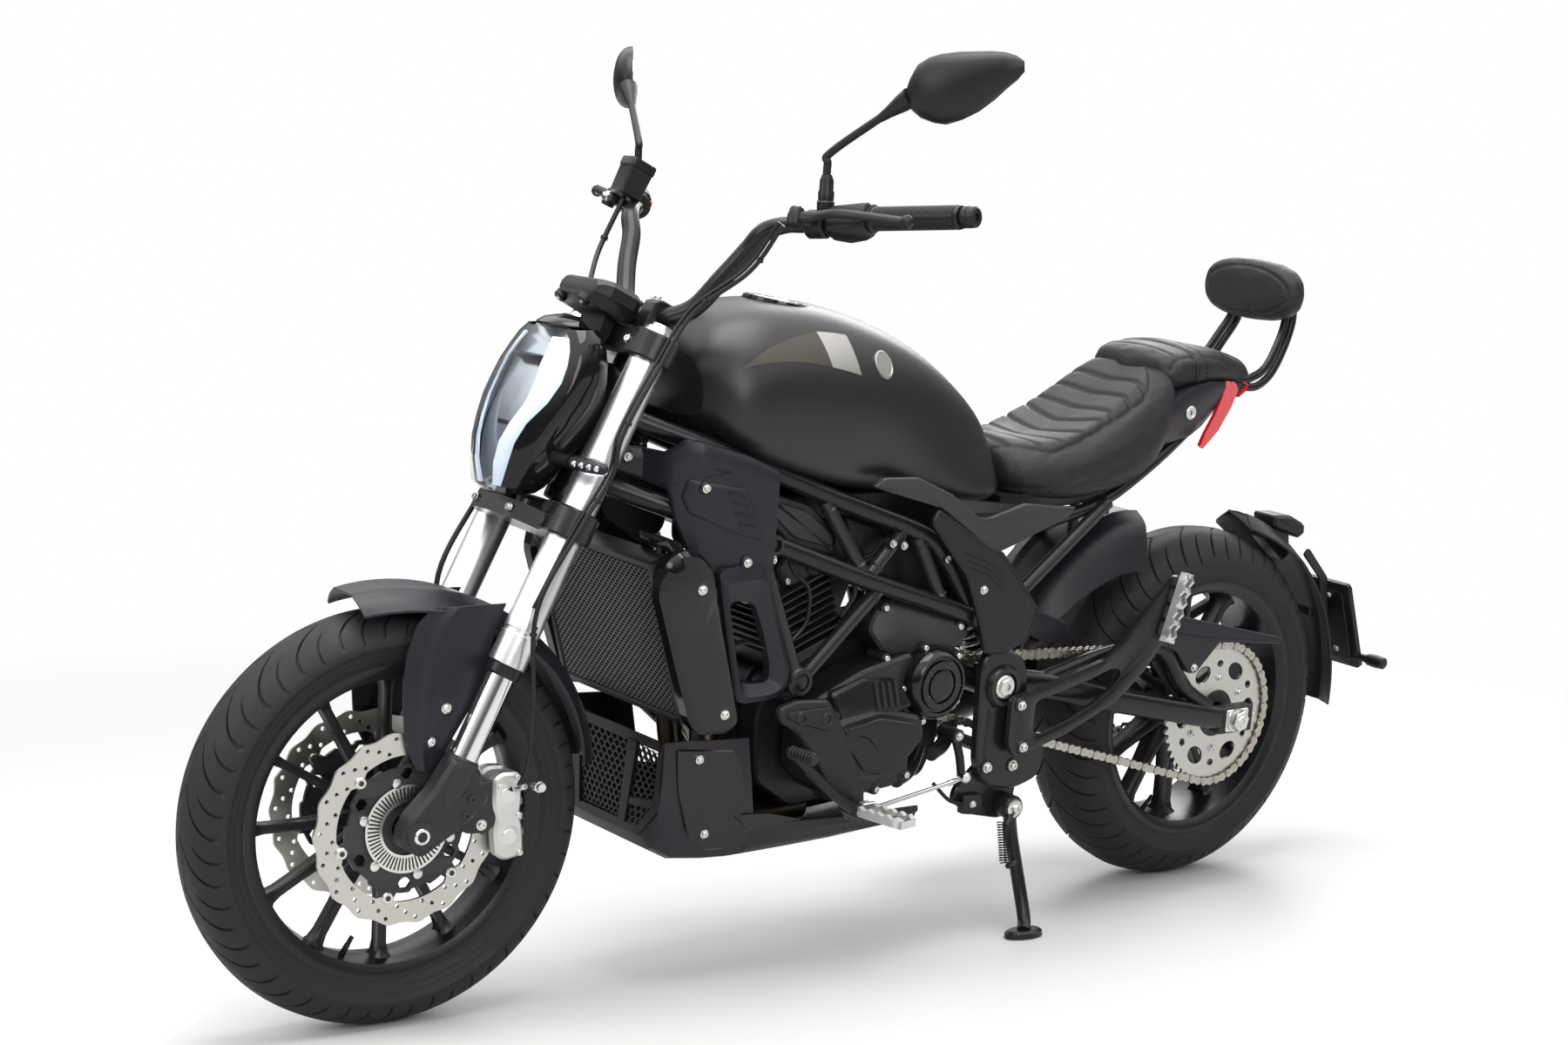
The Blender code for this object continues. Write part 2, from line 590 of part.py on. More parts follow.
def controls(left):
    pieces = []
    inner, outer = along_bar(0.35), along_bar(0.98)
    pieces.append(rod(inner, outer, 0.0245, 8))
    grip_start, grip_end = along_bar(0.97), along_bar(2.0)
    over = (grip_end - grip_start).normalized()
    pieces.append(rod(grip_start, grip_end - over * 0.004, 0.0165, 8))
    pieces.append(rod(grip_end - over * 0.006, grip_end + over * 0.018, 0.0150, 8))
    perch = along_bar(0.10)
    lever_root = perch + Vector((0.042, 0.008, -0.010))
    pieces.append(rod(perch - over * 0.012, perch + over * 0.016, 0.0200, 8))
    pieces.append(tube([perch + Vector((0.010, 0, 0)), lever_root], 0.011))
    lever_mid = along_bar(1.05) + Vector((0.058, 0.0, -0.022))
    lever_end = along_bar(1.72) + Vector((0.046, 0.0, -0.030))
    pieces.append(tube([lever_root - over * 0.012, lever_root + over * 0.03, lever_mid, lever_end],
                       0.0065, 2, [1.35, 1.25, 1.0, 0.85, 0.85]))
    ball = rod(lever_end - over * 0.007, lever_end + over * 0.009, 0.0095, 8)
    pieces.append(ball)
    stem_foot = along_bar(0.22) + Vector((0.006, 0.0, 0.012))
    up = steer_at(1.05, 0, 1.5) - steer_at(1.05, 0, 1.4)
    up.normalize()
    stem_top = stem_foot + up * 0.082
    pieces.append(rod(stem_foot, stem_foot + up * 0.050, 0.0115, 6))
    arm_end = stem_top + steer_at(1.036, 0.108, 1.322) - steer_at(1.078, 0.0, 1.249)
    pieces.append(tube([stem_foot + up * 0.02, stem_top - up * 0.012, stem_top + (arm_end - stem_top) * 0.06,
                        arm_end], 0.0058))
    cone_end = arm_end + (arm_end - stem_top).normalized() * 0.018
    pieces.append(rod(stem_top + (arm_end - stem_top) * 0.72, cone_end, 0.0075, 8, 0.0145))
    pieces.append(mirror_head(cone_end))
    if not left:
        cup = perch + Vector((0.040, -0.026, 0.022))
        pieces.append(block(cup.x - 0.022, cup.x + 0.022, cup.y - 0.020, cup.y + 0.020,
                            cup.z - 0.028, cup.z + 0.032, 0.004))
    bore = tube(bar_left[4:-1] + [grip_end + over * GAP], BAR_R + GAP / 0.8, radii=bar_taper[4:], resolution=2)
    made = cut(joined(pieces[0], pieces[1:]), bore)
    return made if left else mirrored(made)


def mirror_head(root_point):
    """A teardrop shell with a flat glass side that faces the rider."""
    out = (steer_at(0.0, 0.155, 0.020) - steer_at(0.086, 0.0, 0.0)).normalized()
    rise = (steer_at(0.0, 0, 1.0) - steer_at(0.0, 0, 0.0)).normalized()
    rise = (rise - out * rise.dot(out)).normalized()
    fore = out.cross(rise)
    if fore.x < 0:
        fore = -fore
    rows = []
    for share, low, high, deep in ((0.00, -0.012, 0.014, 0.013), (0.12, -0.030, 0.045, 0.024),
                                   (0.32, -0.040, 0.056, 0.030), (0.60, -0.026, 0.056, 0.026),
                                   (0.85, 0.002, 0.050, 0.016), (1.00, 0.020, 0.036, 0.007)):
        base = root_point + out * (share * 0.172 - 0.006)
        middle = (low + high) / 2
        rows.append([base + rise * low - fore * 0.006, base + rise * (low + 0.006) + fore * deep * 0.55,
                     base + rise * middle + fore * deep, base + rise * (high - 0.006) + fore * deep * 0.55,
                     base + rise * high - fore * 0.006])
    return loft(rows)


part(controls(True), "controls_left", MATT_BLACK, steering)
part(controls(False), "controls_right", MATT_BLACK, steering)

# Headlamp: sections from the chin to the visor, split into housing and lens
LAMP_ROWS = ((0.760, 0.050, 1.446, 1.436, 1.400), (0.800, 0.066, 1.448, 1.424, 1.368),
             (0.860, 0.082, 1.437, 1.398, 1.330), (0.918, 0.088, 1.412, 1.376, 1.322),
             (0.962, 0.080, 1.382, 1.368, 1.322), (0.990, 0.062, 1.366, 1.362, 1.326))


def lamp_row(z, half, front, edge, rear, lens):
    steps = 6
    if lens:
        points = [(edge + GAP + (front - edge) * (1 - (2 * k / steps - 1) ** 2), half * (2 * k / steps - 1))
                  for k in range(steps + 1)]
        points += [(edge + GAP, half * 0.98 * s) for s in (1, -1)]
        points[0] = (edge + GAP + 0.004, -half)
        points[steps] = (edge + GAP + 0.004, half)
    else:
        points = [(edge, -half), (edge, half), (rear + 0.012, half * 0.86), (rear, half * 0.55),
                  (rear, -half * 0.55), (rear + 0.012, -half * 0.86)]
    return [steer_at(x, y, z) for x, y in points]


lens = loft([lamp_row(*row, True) for row in LAMP_ROWS])
part(lens, "headlamp_lens", LENS, steering)
housing = loft([lamp_row(*row, False) for row in LAMP_ROWS])
visor = loft([[steer_at(x, y, z) for x, y in ((front, half * 0.5), (rear, half), (rear, -half),
                                              (front, -half * 0.5))]
              for front, rear, half, z in ((1.3605, 1.330, 0.060, 0.984), (1.3605, 1.330, 0.060, 0.9912),
                                           (1.371, 1.330, 0.058, 0.9920), (1.362, 1.335, 0.046, 1.004))])
lamp_bar = block(0, 0.070, -0.060, 0.060, 0, 0.012)
moved(lamp_bar, x=FORK_LEAD + 0.030 + GAP, z=LOWER_CLAMP_W - 0.021)
lamp_post = rod(steer_at(1.426, 0, 0.722), steer_at(1.410, 0, 0.790), 0.014, 8)
stalks = []
for s in (1, -1):
    root_at = steer_at(1.395, s * 0.045, 0.815)
    head_at = steer_at(1.386, s * 0.128, 0.812)
    tip_at = steer_at(1.358, s * 0.176, 0.806)
    stalks += [rod(root_at, head_at, 0.0075, 8), rod(head_at, tip_at, 0.0110, 8)]
part(joined(housing, [visor, lamp_bar, lamp_post] + stalks), "headlamp_housing", GLOSS_BLACK, steering)

# Dash on a bracket that bolts to the upper clamp
dash_top = [steer_at(x, y, z) for x, y, z in ((1.306, 0, 1.060), (1.244, 0, 1.030))]
dash_dir = (dash_top[1] - dash_top[0]).normalized()
dash_up = Vector((-dash_dir.z, 0, dash_dir.x))
if dash_up.z < 0:
    dash_up = -dash_up
dash_rows = []
for share, half in ((0.0, 0.052), (0.25, 0.066), (0.8, 0.066), (1.0, 0.052)):
    at = dash_top[0] + (dash_top[1] - dash_top[0]) * share
    dash_rows.append([at + Vector((0, -half, 0)), at + Vector((0, half, 0)),
                      at - dash_up * 0.026 + Vector((0, half * 0.9, 0)),
                      at - dash_up * 0.026 + Vector((0, -half * 0.9, 0))])
dash = loft(dash_rows)
dash_foot = steer_at(1.286, 0, 1.020)
clamp_front = Vector((FORK_LEAD + 0.030, 0, UPPER_CLAMP_W))
dash_arm = block(clamp_front.x + GAP, clamp_front.x + 0.030, -0.035, 0.035,
                 UPPER_CLAMP_W - 0.010, dash_foot.z + 0.012, 0.003)
part(joined(dash, [dash_arm]), "dash", MATT_BLACK, steering)

# Front fender: a curved shell over the tyre with cheeks that bolt to the fork legs
fender_line = [(0.306, 0.0760), (0.324, 0.060), (0.334, 0.020), (0.334, -0.020), (0.324, -0.060),
               (0.306, -0.0760)]
fender_inner = [(r - 0.004, y * 0.95) for r, y in reversed(fender_line)]
fender = ring(fender_line + fender_inner, 9, angle=92.0, start=-175.0)
fender = capped(fender)
moved(fender, x=FRONT_CENTRE.x, z=FRONT_CENTRE.z)
cheeks = [loft([[(x, s * (y + d), z) for x, d in ((front, -0.0017), (front, 0.0017), (rear, 0.0017),
                                                  (rear, -0.0017))]
                for front, rear, z, y in ((1.572, 1.470, 0.600, 0.0745), (1.602, 1.478, 0.545, 0.0745),
                                          (1.610, 1.492, 0.500, 0.0770), (1.612, 1.510, 0.470, 0.0867),
                                          (1.606, 1.548, 0.410, 0.0867), (1.588, 1.562, 0.380, 0.0867))])
          for s in (1, -1)]
for obj in [fender] + cheeks:
    for v in obj.data.vertices:
        v.co = steer_at(*v.co)
fender = joined(fender, cheeks)
part(fender, "front_fender", MATT_BLACK, steering)


# Calipers straddle the discs with running room on both faces
def caliper(centre_x, centre_z, turn, disc_y, length, depth, room, lug=None):
    body = block(-depth / 2, depth / 2, disc_y - 0.034, disc_y + 0.034, -length / 2, length / 2, 0.007)
    slot = block(-depth, depth * 0.22, disc_y - DISC_T / 2 - room, disc_y + DISC_T / 2 + room,
                 -length, length)
    if lug:
        body = joined(body, [lug])
    made = cut(body, slot)
    moved(made, turn=Matrix.Rotation(turn, 4, "Y"))
    return moved(made, x=centre_x, z=centre_z)


for s, name in ((1, "front_caliper_left"), (-1, "front_caliper_right")):
    made = caliper(AXLE_OFFSET - 0.1214, 0.0704, math.radians(210), s * DISC_Y, 0.130, 0.052, 0.0055,
                   block(-0.0318, -0.020, min(s * 0.090, s * 0.108), max(s * 0.090, s * 0.108), -0.050, -0.020))
    part(made, name, SILVER, steering)


# Brake hoses and clutch cable, held by the steering parts all the way
HOSE_DOWN = [(1.165, 0.215, 1.085), (1.220, 0.157, 1.020), (1.280, 0.157, 0.930), (1.326, 0.158, 0.850),
             (1.340, 0.158, 0.795), (1.388, 0.156, 0.720), (1.448, 0.154, 0.610), (1.446, 0.150, 0.480),
             (1.446, 0.142, 0.400), (1.452, 0.126, 0.358), (1.456, 0.1125, 0.350)]
hose_perch = along_bar(0.10)
hose_tops = {1: hose_perch + Vector((0.052, 0.004, -0.028)), -1: hose_perch + Vector((0.040, -0.026, -0.0068))}


def hose(side, radius):
    points = [hose_tops[side]] + [steer_at(*p) for p in HOSE_DOWN]
    return tube([(p.x, side * p.y, p.z) for p in points], radius, 2)


part(hose(-1, 0.0040), "brake_hose_right", RUBBER, steering)
part(hose(1, 0.0050), "cable_bundle_left", RUBBER, steering)


# Trellis frame
def bars(routes, radius, resolution=1):
    return [tube(route, radius, resolution=resolution) for route in routes]


def both_sides(route):
    return [route, [(x, -y, z) for x, y, z in route]]


head_low, head_high = axis_point(0.508), axis_point(0.720)
frame_tubes = []
for main in ([(1.262, 0.020, 0.868), (1.104, 0.108, 0.812), (0.916, 0.122, 0.741), (0.745, 0.126, 0.680),
              (0.704, 0.126, 0.655), (0.640, 0.132, 0.560)],
             [(1.308, 0.020, 0.776), (1.200, 0.104, 0.736), (1.098, 0.140, 0.702), (0.860, 0.144, 0.617),
              (0.640, 0.138, 0.545), (0.585, 0.136, 0.505)]):
    frame_tubes += [b for route in both_sides(main) for b in bars([route], TUBE_R)]
TAIL_RAIL = [(0.708, 0.124, 0.650), (0.450, 0.110, 0.680), (0.330, 0.102, 0.7042), (0.200, 0.088, 0.764),
             (0.080, 0.066, 0.828)]
BRACES = [[(1.130, 0.096, 0.815), (1.085, 0.140, 0.697)], [(1.076, 0.140, 0.690), (0.990, 0.146, 0.478)],
          [(0.838, 0.142, 0.600), (0.985, 0.146, 0.470)], [(0.940, 0.122, 0.740), (0.872, 0.142, 0.630)],
          [(0.782, 0.125, 0.686), (0.858, 0.142, 0.626)], [(0.752, 0.126, 0.675), (0.702, 0.139, 0.570)],
          [(0.600, 0.136, 0.520), (0.330, 0.114, 0.7042)], TAIL_RAIL]
for brace in BRACES:
    frame_tubes += [b for route in both_sides(brace) for b in bars([route], BRACE_R)]
frame_tubes += bars([[(0.662, -0.1287, 0.5487), (0.662, 0.1287, 0.5487)],
                     [(0.330, -0.106, 0.7042), (0.330, 0.106, 0.7042)],
                     [(0.545, -0.131, 0.556), (0.545, 0.131, 0.556)],
                     [(1.040, -0.140, 0.680), (1.040, 0.140, 0.680)]], BRACE_R)
for s in (1, -1):
    frame_tubes.append(rod((0.988, s * 0.128, 0.474), (0.988, s * 0.160, 0.474), 0.022, 10))
    frame_tubes.append(rod((0.585, s * 0.124, 0.515), (0.585, s * 0.150, 0.515), 0.024, 10))
frame = joined(rod(head_low, head_high, HEAD_TUBE_R, 12), frame_tubes)
frame = cut(frame, rod(axis_point(0.45), axis_point(0.78), HEAD_BORE_R, 12))
part(frame, "frame", MATT_BLACK, root)

# Pivot plates with the swingarm bolt and the stand's bracket
PLATE_Y, PLATE_T = 0.148, 0.018
PLATE_HEAD = [(0.618, 0.466), (0.600, 0.4898), (0.570, 0.4898), (0.522, 0.468), (0.512, 0.415), (0.528, 0.352), (0.466, 0.336)]
pivot_parts = [plate(rounded(PLATE_HEAD + foot, 0.022), y, PLATE_T)
               for y, foot in ((PLATE_Y, [(0.466, 0.270), (0.510, 0.256), (0.534, 0.254), (0.585, 0.264), (0.612, 0.300)]),
                               (-PLATE_Y, [(0.466, 0.272), (0.516, 0.272), (0.530, 0.304), (0.612, 0.306)]))]
pivot_parts.append(rod((0.495, -PLATE_Y, 0.290), (0.495, PLATE_Y, 0.290), 0.011, 8))
pivot_parts.append(rod((PIVOT_X, -PLATE_Y, PIVOT_Z), (PIVOT_X, PLATE_Y, PIVOT_Z), 0.0100, 12))
pivot_parts += [rod((PIVOT_X, s * (PLATE_Y - 0.002), PIVOT_Z), (PIVOT_X, s * (PLATE_Y + 0.018), PIVOT_Z),
                    0.019, 12) for s in (1, -1)]
bracket = plate(rounded([(0.590, 0.300), (0.500, 0.290), (0.508, 0.212), (0.534, 0.200), (0.600, 0.215),
                         (0.640, 0.240), (0.636, 0.262)], 0.010), 0.134, 0.012)
pivot_parts.append(bracket)
part(joined(pivot_parts[0], pivot_parts[1:]), "pivot_plates", MATT_BLACK, root)

# Engine: crankcase with its side covers and the drive sprocket on its shaft
crankcase = plate(rounded([(0.632, 0.330), (0.660, 0.272), (0.930, 0.252), (1.000, 0.300), (1.010, 0.400),
                           (0.985, 0.460), (0.880, 0.507), (0.660, 0.520), (0.632, 0.460)], 0.012),
                  0.0, 0.168)
alternator = turned([(0.001, 0.185), (0.050, 0.185), (0.078, 0.172), (0.088, 0.080)], 14)
alternator = capped(baked(alternator))
moved(alternator, x=0.850, z=0.372)
left_case = plate(rounded([(0.752, 0.290), (0.900, 0.278), (0.965, 0.330), (0.958, 0.440), (0.862, 0.480),
                           (0.862, 0.570), (0.760, 0.550), (0.752, 0.480)], 0.014), 0.118, 0.074)
upper_cover = plate(rounded([(0.862, 0.500), (0.862, 0.586), (0.700, 0.580), (0.676, 0.520), (0.700, 0.492)],
                            0.014), 0.104, 0.036)
sprocket_cover = capped(baked(turned([(0.001, 0.172), (0.034, 0.172), (0.038, 0.180), (0.054, 0.168),
                                      (0.060, 0.116)], 14)))
moved(sprocket_cover, x=0.722, z=0.448)
clutch_cover = capped(baked(turned([(0.001, 0.190), (0.060, 0.190), (0.098, 0.168),
                                    (0.104, 0.080)], 16)))
clutch_cover = mirrored(clutch_cover)
moved(clutch_cover, x=0.760, z=0.385)
right_case = plate(rounded([(0.700, 0.290), (0.940, 0.282), (0.975, 0.340), (0.972, 0.440), (0.860, 0.505),
                            (0.680, 0.500)], 0.012), -0.118, 0.074)
drive_shaft = rod((DRIVE_X, 0.060, DRIVE_Z), (DRIVE_X, 0.120, DRIVE_Z), 0.014, 10)
lugs = [rod((0.986, s * 0.080, 0.450), (0.986, s * 0.1276, 0.450), 0.0125, 8) for s in (1, -1)]
engine = joined(crankcase, lugs + [alternator, left_case, upper_cover, sprocket_cover, clutch_cover, right_case,
                            drive_shaft])
part(engine, "engine", CAST, root)

# Cylinder and head, leaning forward, with cooling fins
cylinder = plate(rounded([(0.893, 0.5018), (0.972, 0.4665), (1.030, 0.640), (1.018, 0.662), (0.860, 0.690),
                          (0.838, 0.640)], 0.010), 0.0, 0.200)
fin_up = Vector((0.36, 0, 0.93))
fins = []
for k in range(5):
    at = Vector((0.936, 0, 0.520)) + fin_up * 0.022 * k
    fin = block(-0.062, 0.054, -0.116, 0.116, -0.003, 0.003)
    moved(fin, turn=Matrix.Rotation(math.radians(21), 4, "Y"))
    fins.append(moved(fin, x=at.x - 0.004, z=at.z))
part(joined(cylinder, fins), "cylinder_head", CAST, root)

# Radiator with its gloss side shrouds
RAD_TILT = math.radians(17.6)
core = block(-0.036, 0.0, -0.150, 0.150, -0.125, 0.125, 0.004)
shrouds = []
for s in (1, -1):
    shroud = plate(rounded([(1.240, 0.694), (1.188, 0.655), (1.124, 0.452), (1.136, 0.424), (1.192, 0.416),
                            (1.222, 0.440), (1.290, 0.640), (1.282, 0.680)], 0.018), s * 0.168, 0.036)
    shrouds.append(shroud)
moved(core, turn=Matrix.Rotation(RAD_TILT, 4, "Y"))
moved(core, x=1.236, z=0.552)
ears = [block(1.205, 1.230, s * 0.140 - 0.014, s * 0.140 + 0.024, 0.520, 0.590) for s in (1, -1)]
hangers = [rod((1.245, s * 0.088, 0.655), (1.222, s * 0.0875, 0.7275), 0.008, 6) for s in (1, -1)]
part(joined(core, shrouds + ears + hangers), "radiator", GLOSS_BLACK, root)


# Steering-head fairings with their air scoops, outside the trellis
def fairing():
    rows = []
    for x, inner, outer, low, high in ((1.272, 0.044, 0.050, 0.788, 0.824), (1.240, 0.064, 0.070, 0.778, 0.816),
                                       (1.226, 0.110, 0.116, 0.770, 0.817),
                                       (1.216, 0.1198, 0.1258, 0.722, 0.817), (1.190, 0.137, 0.145, 0.650, 0.812),
                                       (1.120, 0.160, 0.168, 0.640, 0.790), (1.070, 0.164, 0.172, 0.650, 0.770)):
        rows.append([(x, inner, low), (x, outer, low + 0.006), (x, outer, high - 0.020), (x, inner - 0.012, high)])
    panel = loft(rows)
    scoop = plate(rounded([(1.165, 0.660), (1.080, 0.668), (1.026, 0.480), (1.040, 0.462), (1.108, 0.456),
                           (1.120, 0.470)], 0.014), 0.164, 0.012,
                  [rounded([(1.140, 0.610), (1.090, 0.600), (1.056, 0.500), (1.110, 0.490)], 0.012)])
    return joined(panel, [scoop])


part(fairing(), "fairing_left", PLASTIC, root)
part(mirrored(fairing()), "fairing_right", PLASTIC, root)

# Belly pan: a tray with a tall nose
PAN_T = 0.005
pan_rows = []
for x, top, low, wide, foot in ((1.225, 0.402, 0.250, 0.146, 0.100), (1.180, 0.402, 0.212, 0.150, 0.112),
                                (1.075, 0.396, 0.202, 0.152, 0.116), (1.050, 0.262, 0.202, 0.148, 0.116),
                                (0.880, 0.246, 0.203, 0.140, 0.112), (0.705, 0.240, 0.208, 0.130, 0.100)):
    knee = low + min(0.045, (top - low) * 0.5)
    half = [(wide, top), (wide - 0.004, knee), (foot, low)]
    hollow = [(wide - PAN_T, top), (wide - PAN_T - 0.004, knee + 0.002), (foot - 0.003, low + PAN_T)]
    pan_rows.append([(x, y, z) for y, z in half] + [(x, -y, z) for y, z in reversed(half)]
                    + [(x, -y, z) for y, z in hollow] + [(x, y, z) for y, z in reversed(hollow)])
pan = loft(pan_rows)
nose = plate([(wide, top) for wide, top in ((0.144, 0.400), (0.142, 0.296), (0.098, 0.252), (-0.098, 0.252),
                                            (-0.142, 0.296), (-0.144, 0.400))], 0.0, 0.005,
             [rounded([(0.110 - 0.056 * k, 0.380), (0.110 - 0.056 * k, 0.290), (0.070 - 0.056 * k, 0.290),
                       (0.070 - 0.056 * k, 0.380)], 0.008) for k in range(0, 4)])
moved(nose, turn=Matrix.Rotation(math.radians(90), 4, "Z"))
moved(nose, x=1.2235)
posts = [rod((0.800, s * 0.060, 0.206), (0.800, s * 0.060, 0.2611), 0.008, 6) for s in (1, -1)]
part(joined(pan, [nose] + posts), "belly_pan", MATT_BLACK, root)

# Tank: a coarse cage, smoothed
TANK_ROWS = (
    (1.152, 0.046, 0.970, 0.080, 0.955, 0.104, 0.905, 0.096, 0.868, 0.862),
    (1.124, 0.058, 1.008, 0.098, 0.980, 0.148, 0.915, 0.138, 0.862, 0.846),
    (1.050, 0.064, 1.030, 0.108, 1.006, 0.160, 0.926, 0.146, 0.838, 0.826),
    (0.940, 0.064, 1.030, 0.106, 0.998, 0.158, 0.908, 0.146, 0.800, 0.790),
    (0.850, 0.060, 1.010, 0.102, 0.972, 0.148, 0.882, 0.136, 0.786, 0.770),
    (0.740, 0.052, 0.974, 0.092, 0.926, 0.120, 0.850, 0.128, 0.778, 0.744),
    (0.640, 0.044, 0.916, 0.080, 0.862, 0.108, 0.790, 0.124, 0.722, 0.708),
    (0.560, 0.034, 0.850, 0.066, 0.815, 0.096, 0.762, 0.112, 0.726, 0.718))
tank_sections = []
for x, y1, z1, y2, z2, y3, z3, y4, z4, z5 in TANK_ROWS:
    half = [(y1, z1), (y2, z2), (y3, z3), (y4, z4), (y4 * 0.72, z5)]
    tank_sections.append([(x, y, z) for y, z in half] + [(x, -y, z) for y, z in reversed(half)])
tank = softened(loft(tank_sections))
cap = rod((0.962, 0, 1.000), (0.9565, 0, 1.028), 0.060, 16, 0.057)
part(joined(tank, [cap]), "tank", TANK_BLACK, root)

# Airbox between the rails
airbox = joined(block(0.740, 1.010, -0.094, 0.094, 0.704, 0.7446, 0.008),
                [block(0.880, 0.905, -0.1063, 0.1063, 0.715, 0.735)])
part(airbox, "airbox", PLASTIC, root)

# Side covers: a trim strip and the plate below it
side_outline = [(0.876, 0.768), (0.858, 0.776), (0.790, 0.772), (0.716, 0.738), (0.650, 0.692), (0.556, 0.712),
                (0.500, 0.704), (0.430, 0.704), (0.450, 0.688), (0.600, 0.652), (0.516, 0.548), (0.536, 0.500),
                (0.580, 0.486), (0.622, 0.486), (0.640, 0.540), (0.672, 0.620), (0.730, 0.694), (0.800, 0.735)]
for s, name in ((1, "side_cover_left"), (-1, "side_cover_right")):
    stud = rod((0.641, s * 0.1546, 0.542), (0.641, s * 0.162, 0.542), 0.010, 6)
    part(joined(plate(side_outline, s * 0.166, 0.012), [stud]), name, PLASTIC, root)

# Seats: closed soft solids
SEAT_ROWS = ((0.546, 0.826, 0.790, 0.716, 0.102), (0.490, 0.800, 0.800, 0.712, 0.128),
             (0.420, 0.782, 0.806, 0.706, 0.142), (0.350, 0.800, 0.836, 0.716, 0.146),
             (0.290, 0.844, 0.884, 0.728, 0.142), (0.240, 0.896, 0.928, 0.770, 0.130),
             (0.198, 0.934, 0.944, 0.850, 0.116))
seat_rows = []
for x, centre, edge, low, half in SEAT_ROWS:
    rise = (edge - low)
    side = [(half * 0.72, edge), (half, low + rise * 0.62), (half * 0.94, low + 0.004), (half * 0.70, low)]
    seat_rows.append([(x, 0.0, centre)] + [(x, y, z) for y, z in side]
                     + [(x, 0.0, low)] + [(x, -y, z) for y, z in reversed(side)])
part(softened(loft(seat_rows)), "rider_seat", LEATHER, root)
PAD_ROWS = ((0.190, 0.946, 0.112, 0.880), (0.120, 0.954, 0.108, 0.896), (0.020, 0.944, 0.094, 0.900),
            (-0.072, 0.916, 0.070, 0.890))
pad_rows = []
for x, top, half, low in PAD_ROWS:
    side = [(half * 0.76, top - 0.004), (half, (top + low) / 2), (half * 0.86, low)]
    pad_rows.append([(x, 0.0, top)] + [(x, y, z) for y, z in side]
                    + [(x, 0.0, low)] + [(x, -y, z) for y, z in reversed(side)])
part(softened(loft(pad_rows)), "passenger_seat", LEATHER, root)

# Tail cowl, lamp, backrest
tail_rows = []
for x, top, half, low in ((0.190, 0.840, 0.108, 0.800), (0.120, 0.876, 0.104, 0.808), (0.040, 0.874, 0.094, 0.838),
                          (-0.030, 0.868, 0.078, 0.852)):
    tail_rows.append([(x, half, top), (x, half * 0.80, low), (x, -half * 0.80, low), (x, -half, top)])
rail_seats = [tube([route[-2], 1.01 * Vector(route[-1]) - 0.01 * Vector(route[-2])], BRACE_R + GAP)
              for route in both_sides(TAIL_RAIL)]
pad_rest = block(0.098, 0.124, -0.050, 0.050, 0.850, 0.8922)
part(cut(joined(loft(tail_rows), [pad_rest]), *rail_seats), "tail_cowl", PLASTIC, root)
part(loft([[(x, half, z), (x - 0.030, half * 0.8, z - 0.004), (x - 0.030, -half * 0.8, z - 0.004),
            (x, -half, z)] for x, half, z in ((-0.0310, 0.070, 0.868), (-0.0310, 0.064, 0.853))]),
     "tail_lamp", RED, root)
arm_pieces = []
for s in (1, -1):
    arm_pieces.append(tube([(0.008, s * 0.070, 0.8800), (-0.052, s * 0.074, 0.8840), (-0.098, s * 0.070, 0.935),
                            (-0.132, s * 0.060, 0.985), (-0.134, s * 0.058, 1.060)], 0.0090))
arm_pieces.append(block(-0.130, -0.1182, -0.070, 0.070, 1.000, 1.070))
part(joined(arm_pieces[0], arm_pieces[1:]), "backrest_bracket", MATT_BLACK, root)
pad_outline = []
for k in range(16):
    a = 2 * math.pi * k / 16
    pad_outline.append((0.110 * math.copysign(abs(math.cos(a)) ** 0.7, math.cos(a)),
                        0.053 * math.copysign(abs(math.sin(a)) ** 0.8, math.sin(a))))
pad = loft([[(x, y * k, 1.038 + z * k) for y, z in pad_outline]
            for x, k in ((-0.1177, 0.90), (-0.110, 1.0), (-0.088, 1.0), (-0.076, 0.86))])
part(pad, "backrest_pad", LEATHER, root)

# Swingarm: two legs, a cross tube at the pivot, axle blocks
SWING_Y = 0.136
swing = []
for s in (1, -1):
    swing.append(tube([(PIVOT_X - 0.012, s * 0.108, PIVOT_Z - 0.002), (0.440, s * 0.120, 0.408),
                       (0.314, s * SWING_Y, 0.378), (0.030, s * SWING_Y, 0.314)], 0.0200))
    swing.append(tube([(0.470, s * 0.116, 0.412), (0.300, s * 0.126, 0.452), (0.196, s * SWING_Y, 0.452),
                       (0.132, s * SWING_Y, 0.384), (0.060, s * SWING_Y, 0.338)], 0.0130))
    swing.append(block(-0.046, 0.036, s * SWING_Y - 0.012, s * SWING_Y + 0.012, REAR_R - 0.024, REAR_R + 0.022,
                       0.003))
swing.append(tube([(0.460, -0.104, 0.410), (0.460, 0.104, 0.410)], 0.0180))
swingarm = joined(rod((PIVOT_X, -0.1385, PIVOT_Z), (PIVOT_X, 0.1385, PIVOT_Z), 0.0240, 12), swing)
swingarm = cut(swingarm, rod((PIVOT_X, -0.16, PIVOT_Z), (PIVOT_X, 0.16, PIVOT_Z), 0.0104, 12),
               rod((0, -0.20, REAR_R), (0, 0.20, REAR_R), 0.0124, 12))
part(swingarm, "swingarm", MATT_BLACK, root)

# Rear axle with its nuts
rear_axle = joined(rod((0, -0.168, REAR_R), (0, 0.168, REAR_R), 0.0120, 12),
                   [rod((0, s * (SWING_Y + 0.0123), REAR_R), (0, s * 0.166, REAR_R), 0.019, 6)
                    for s in (1, -1)])
part(rear_axle, "rear_axle", STEEL, root)

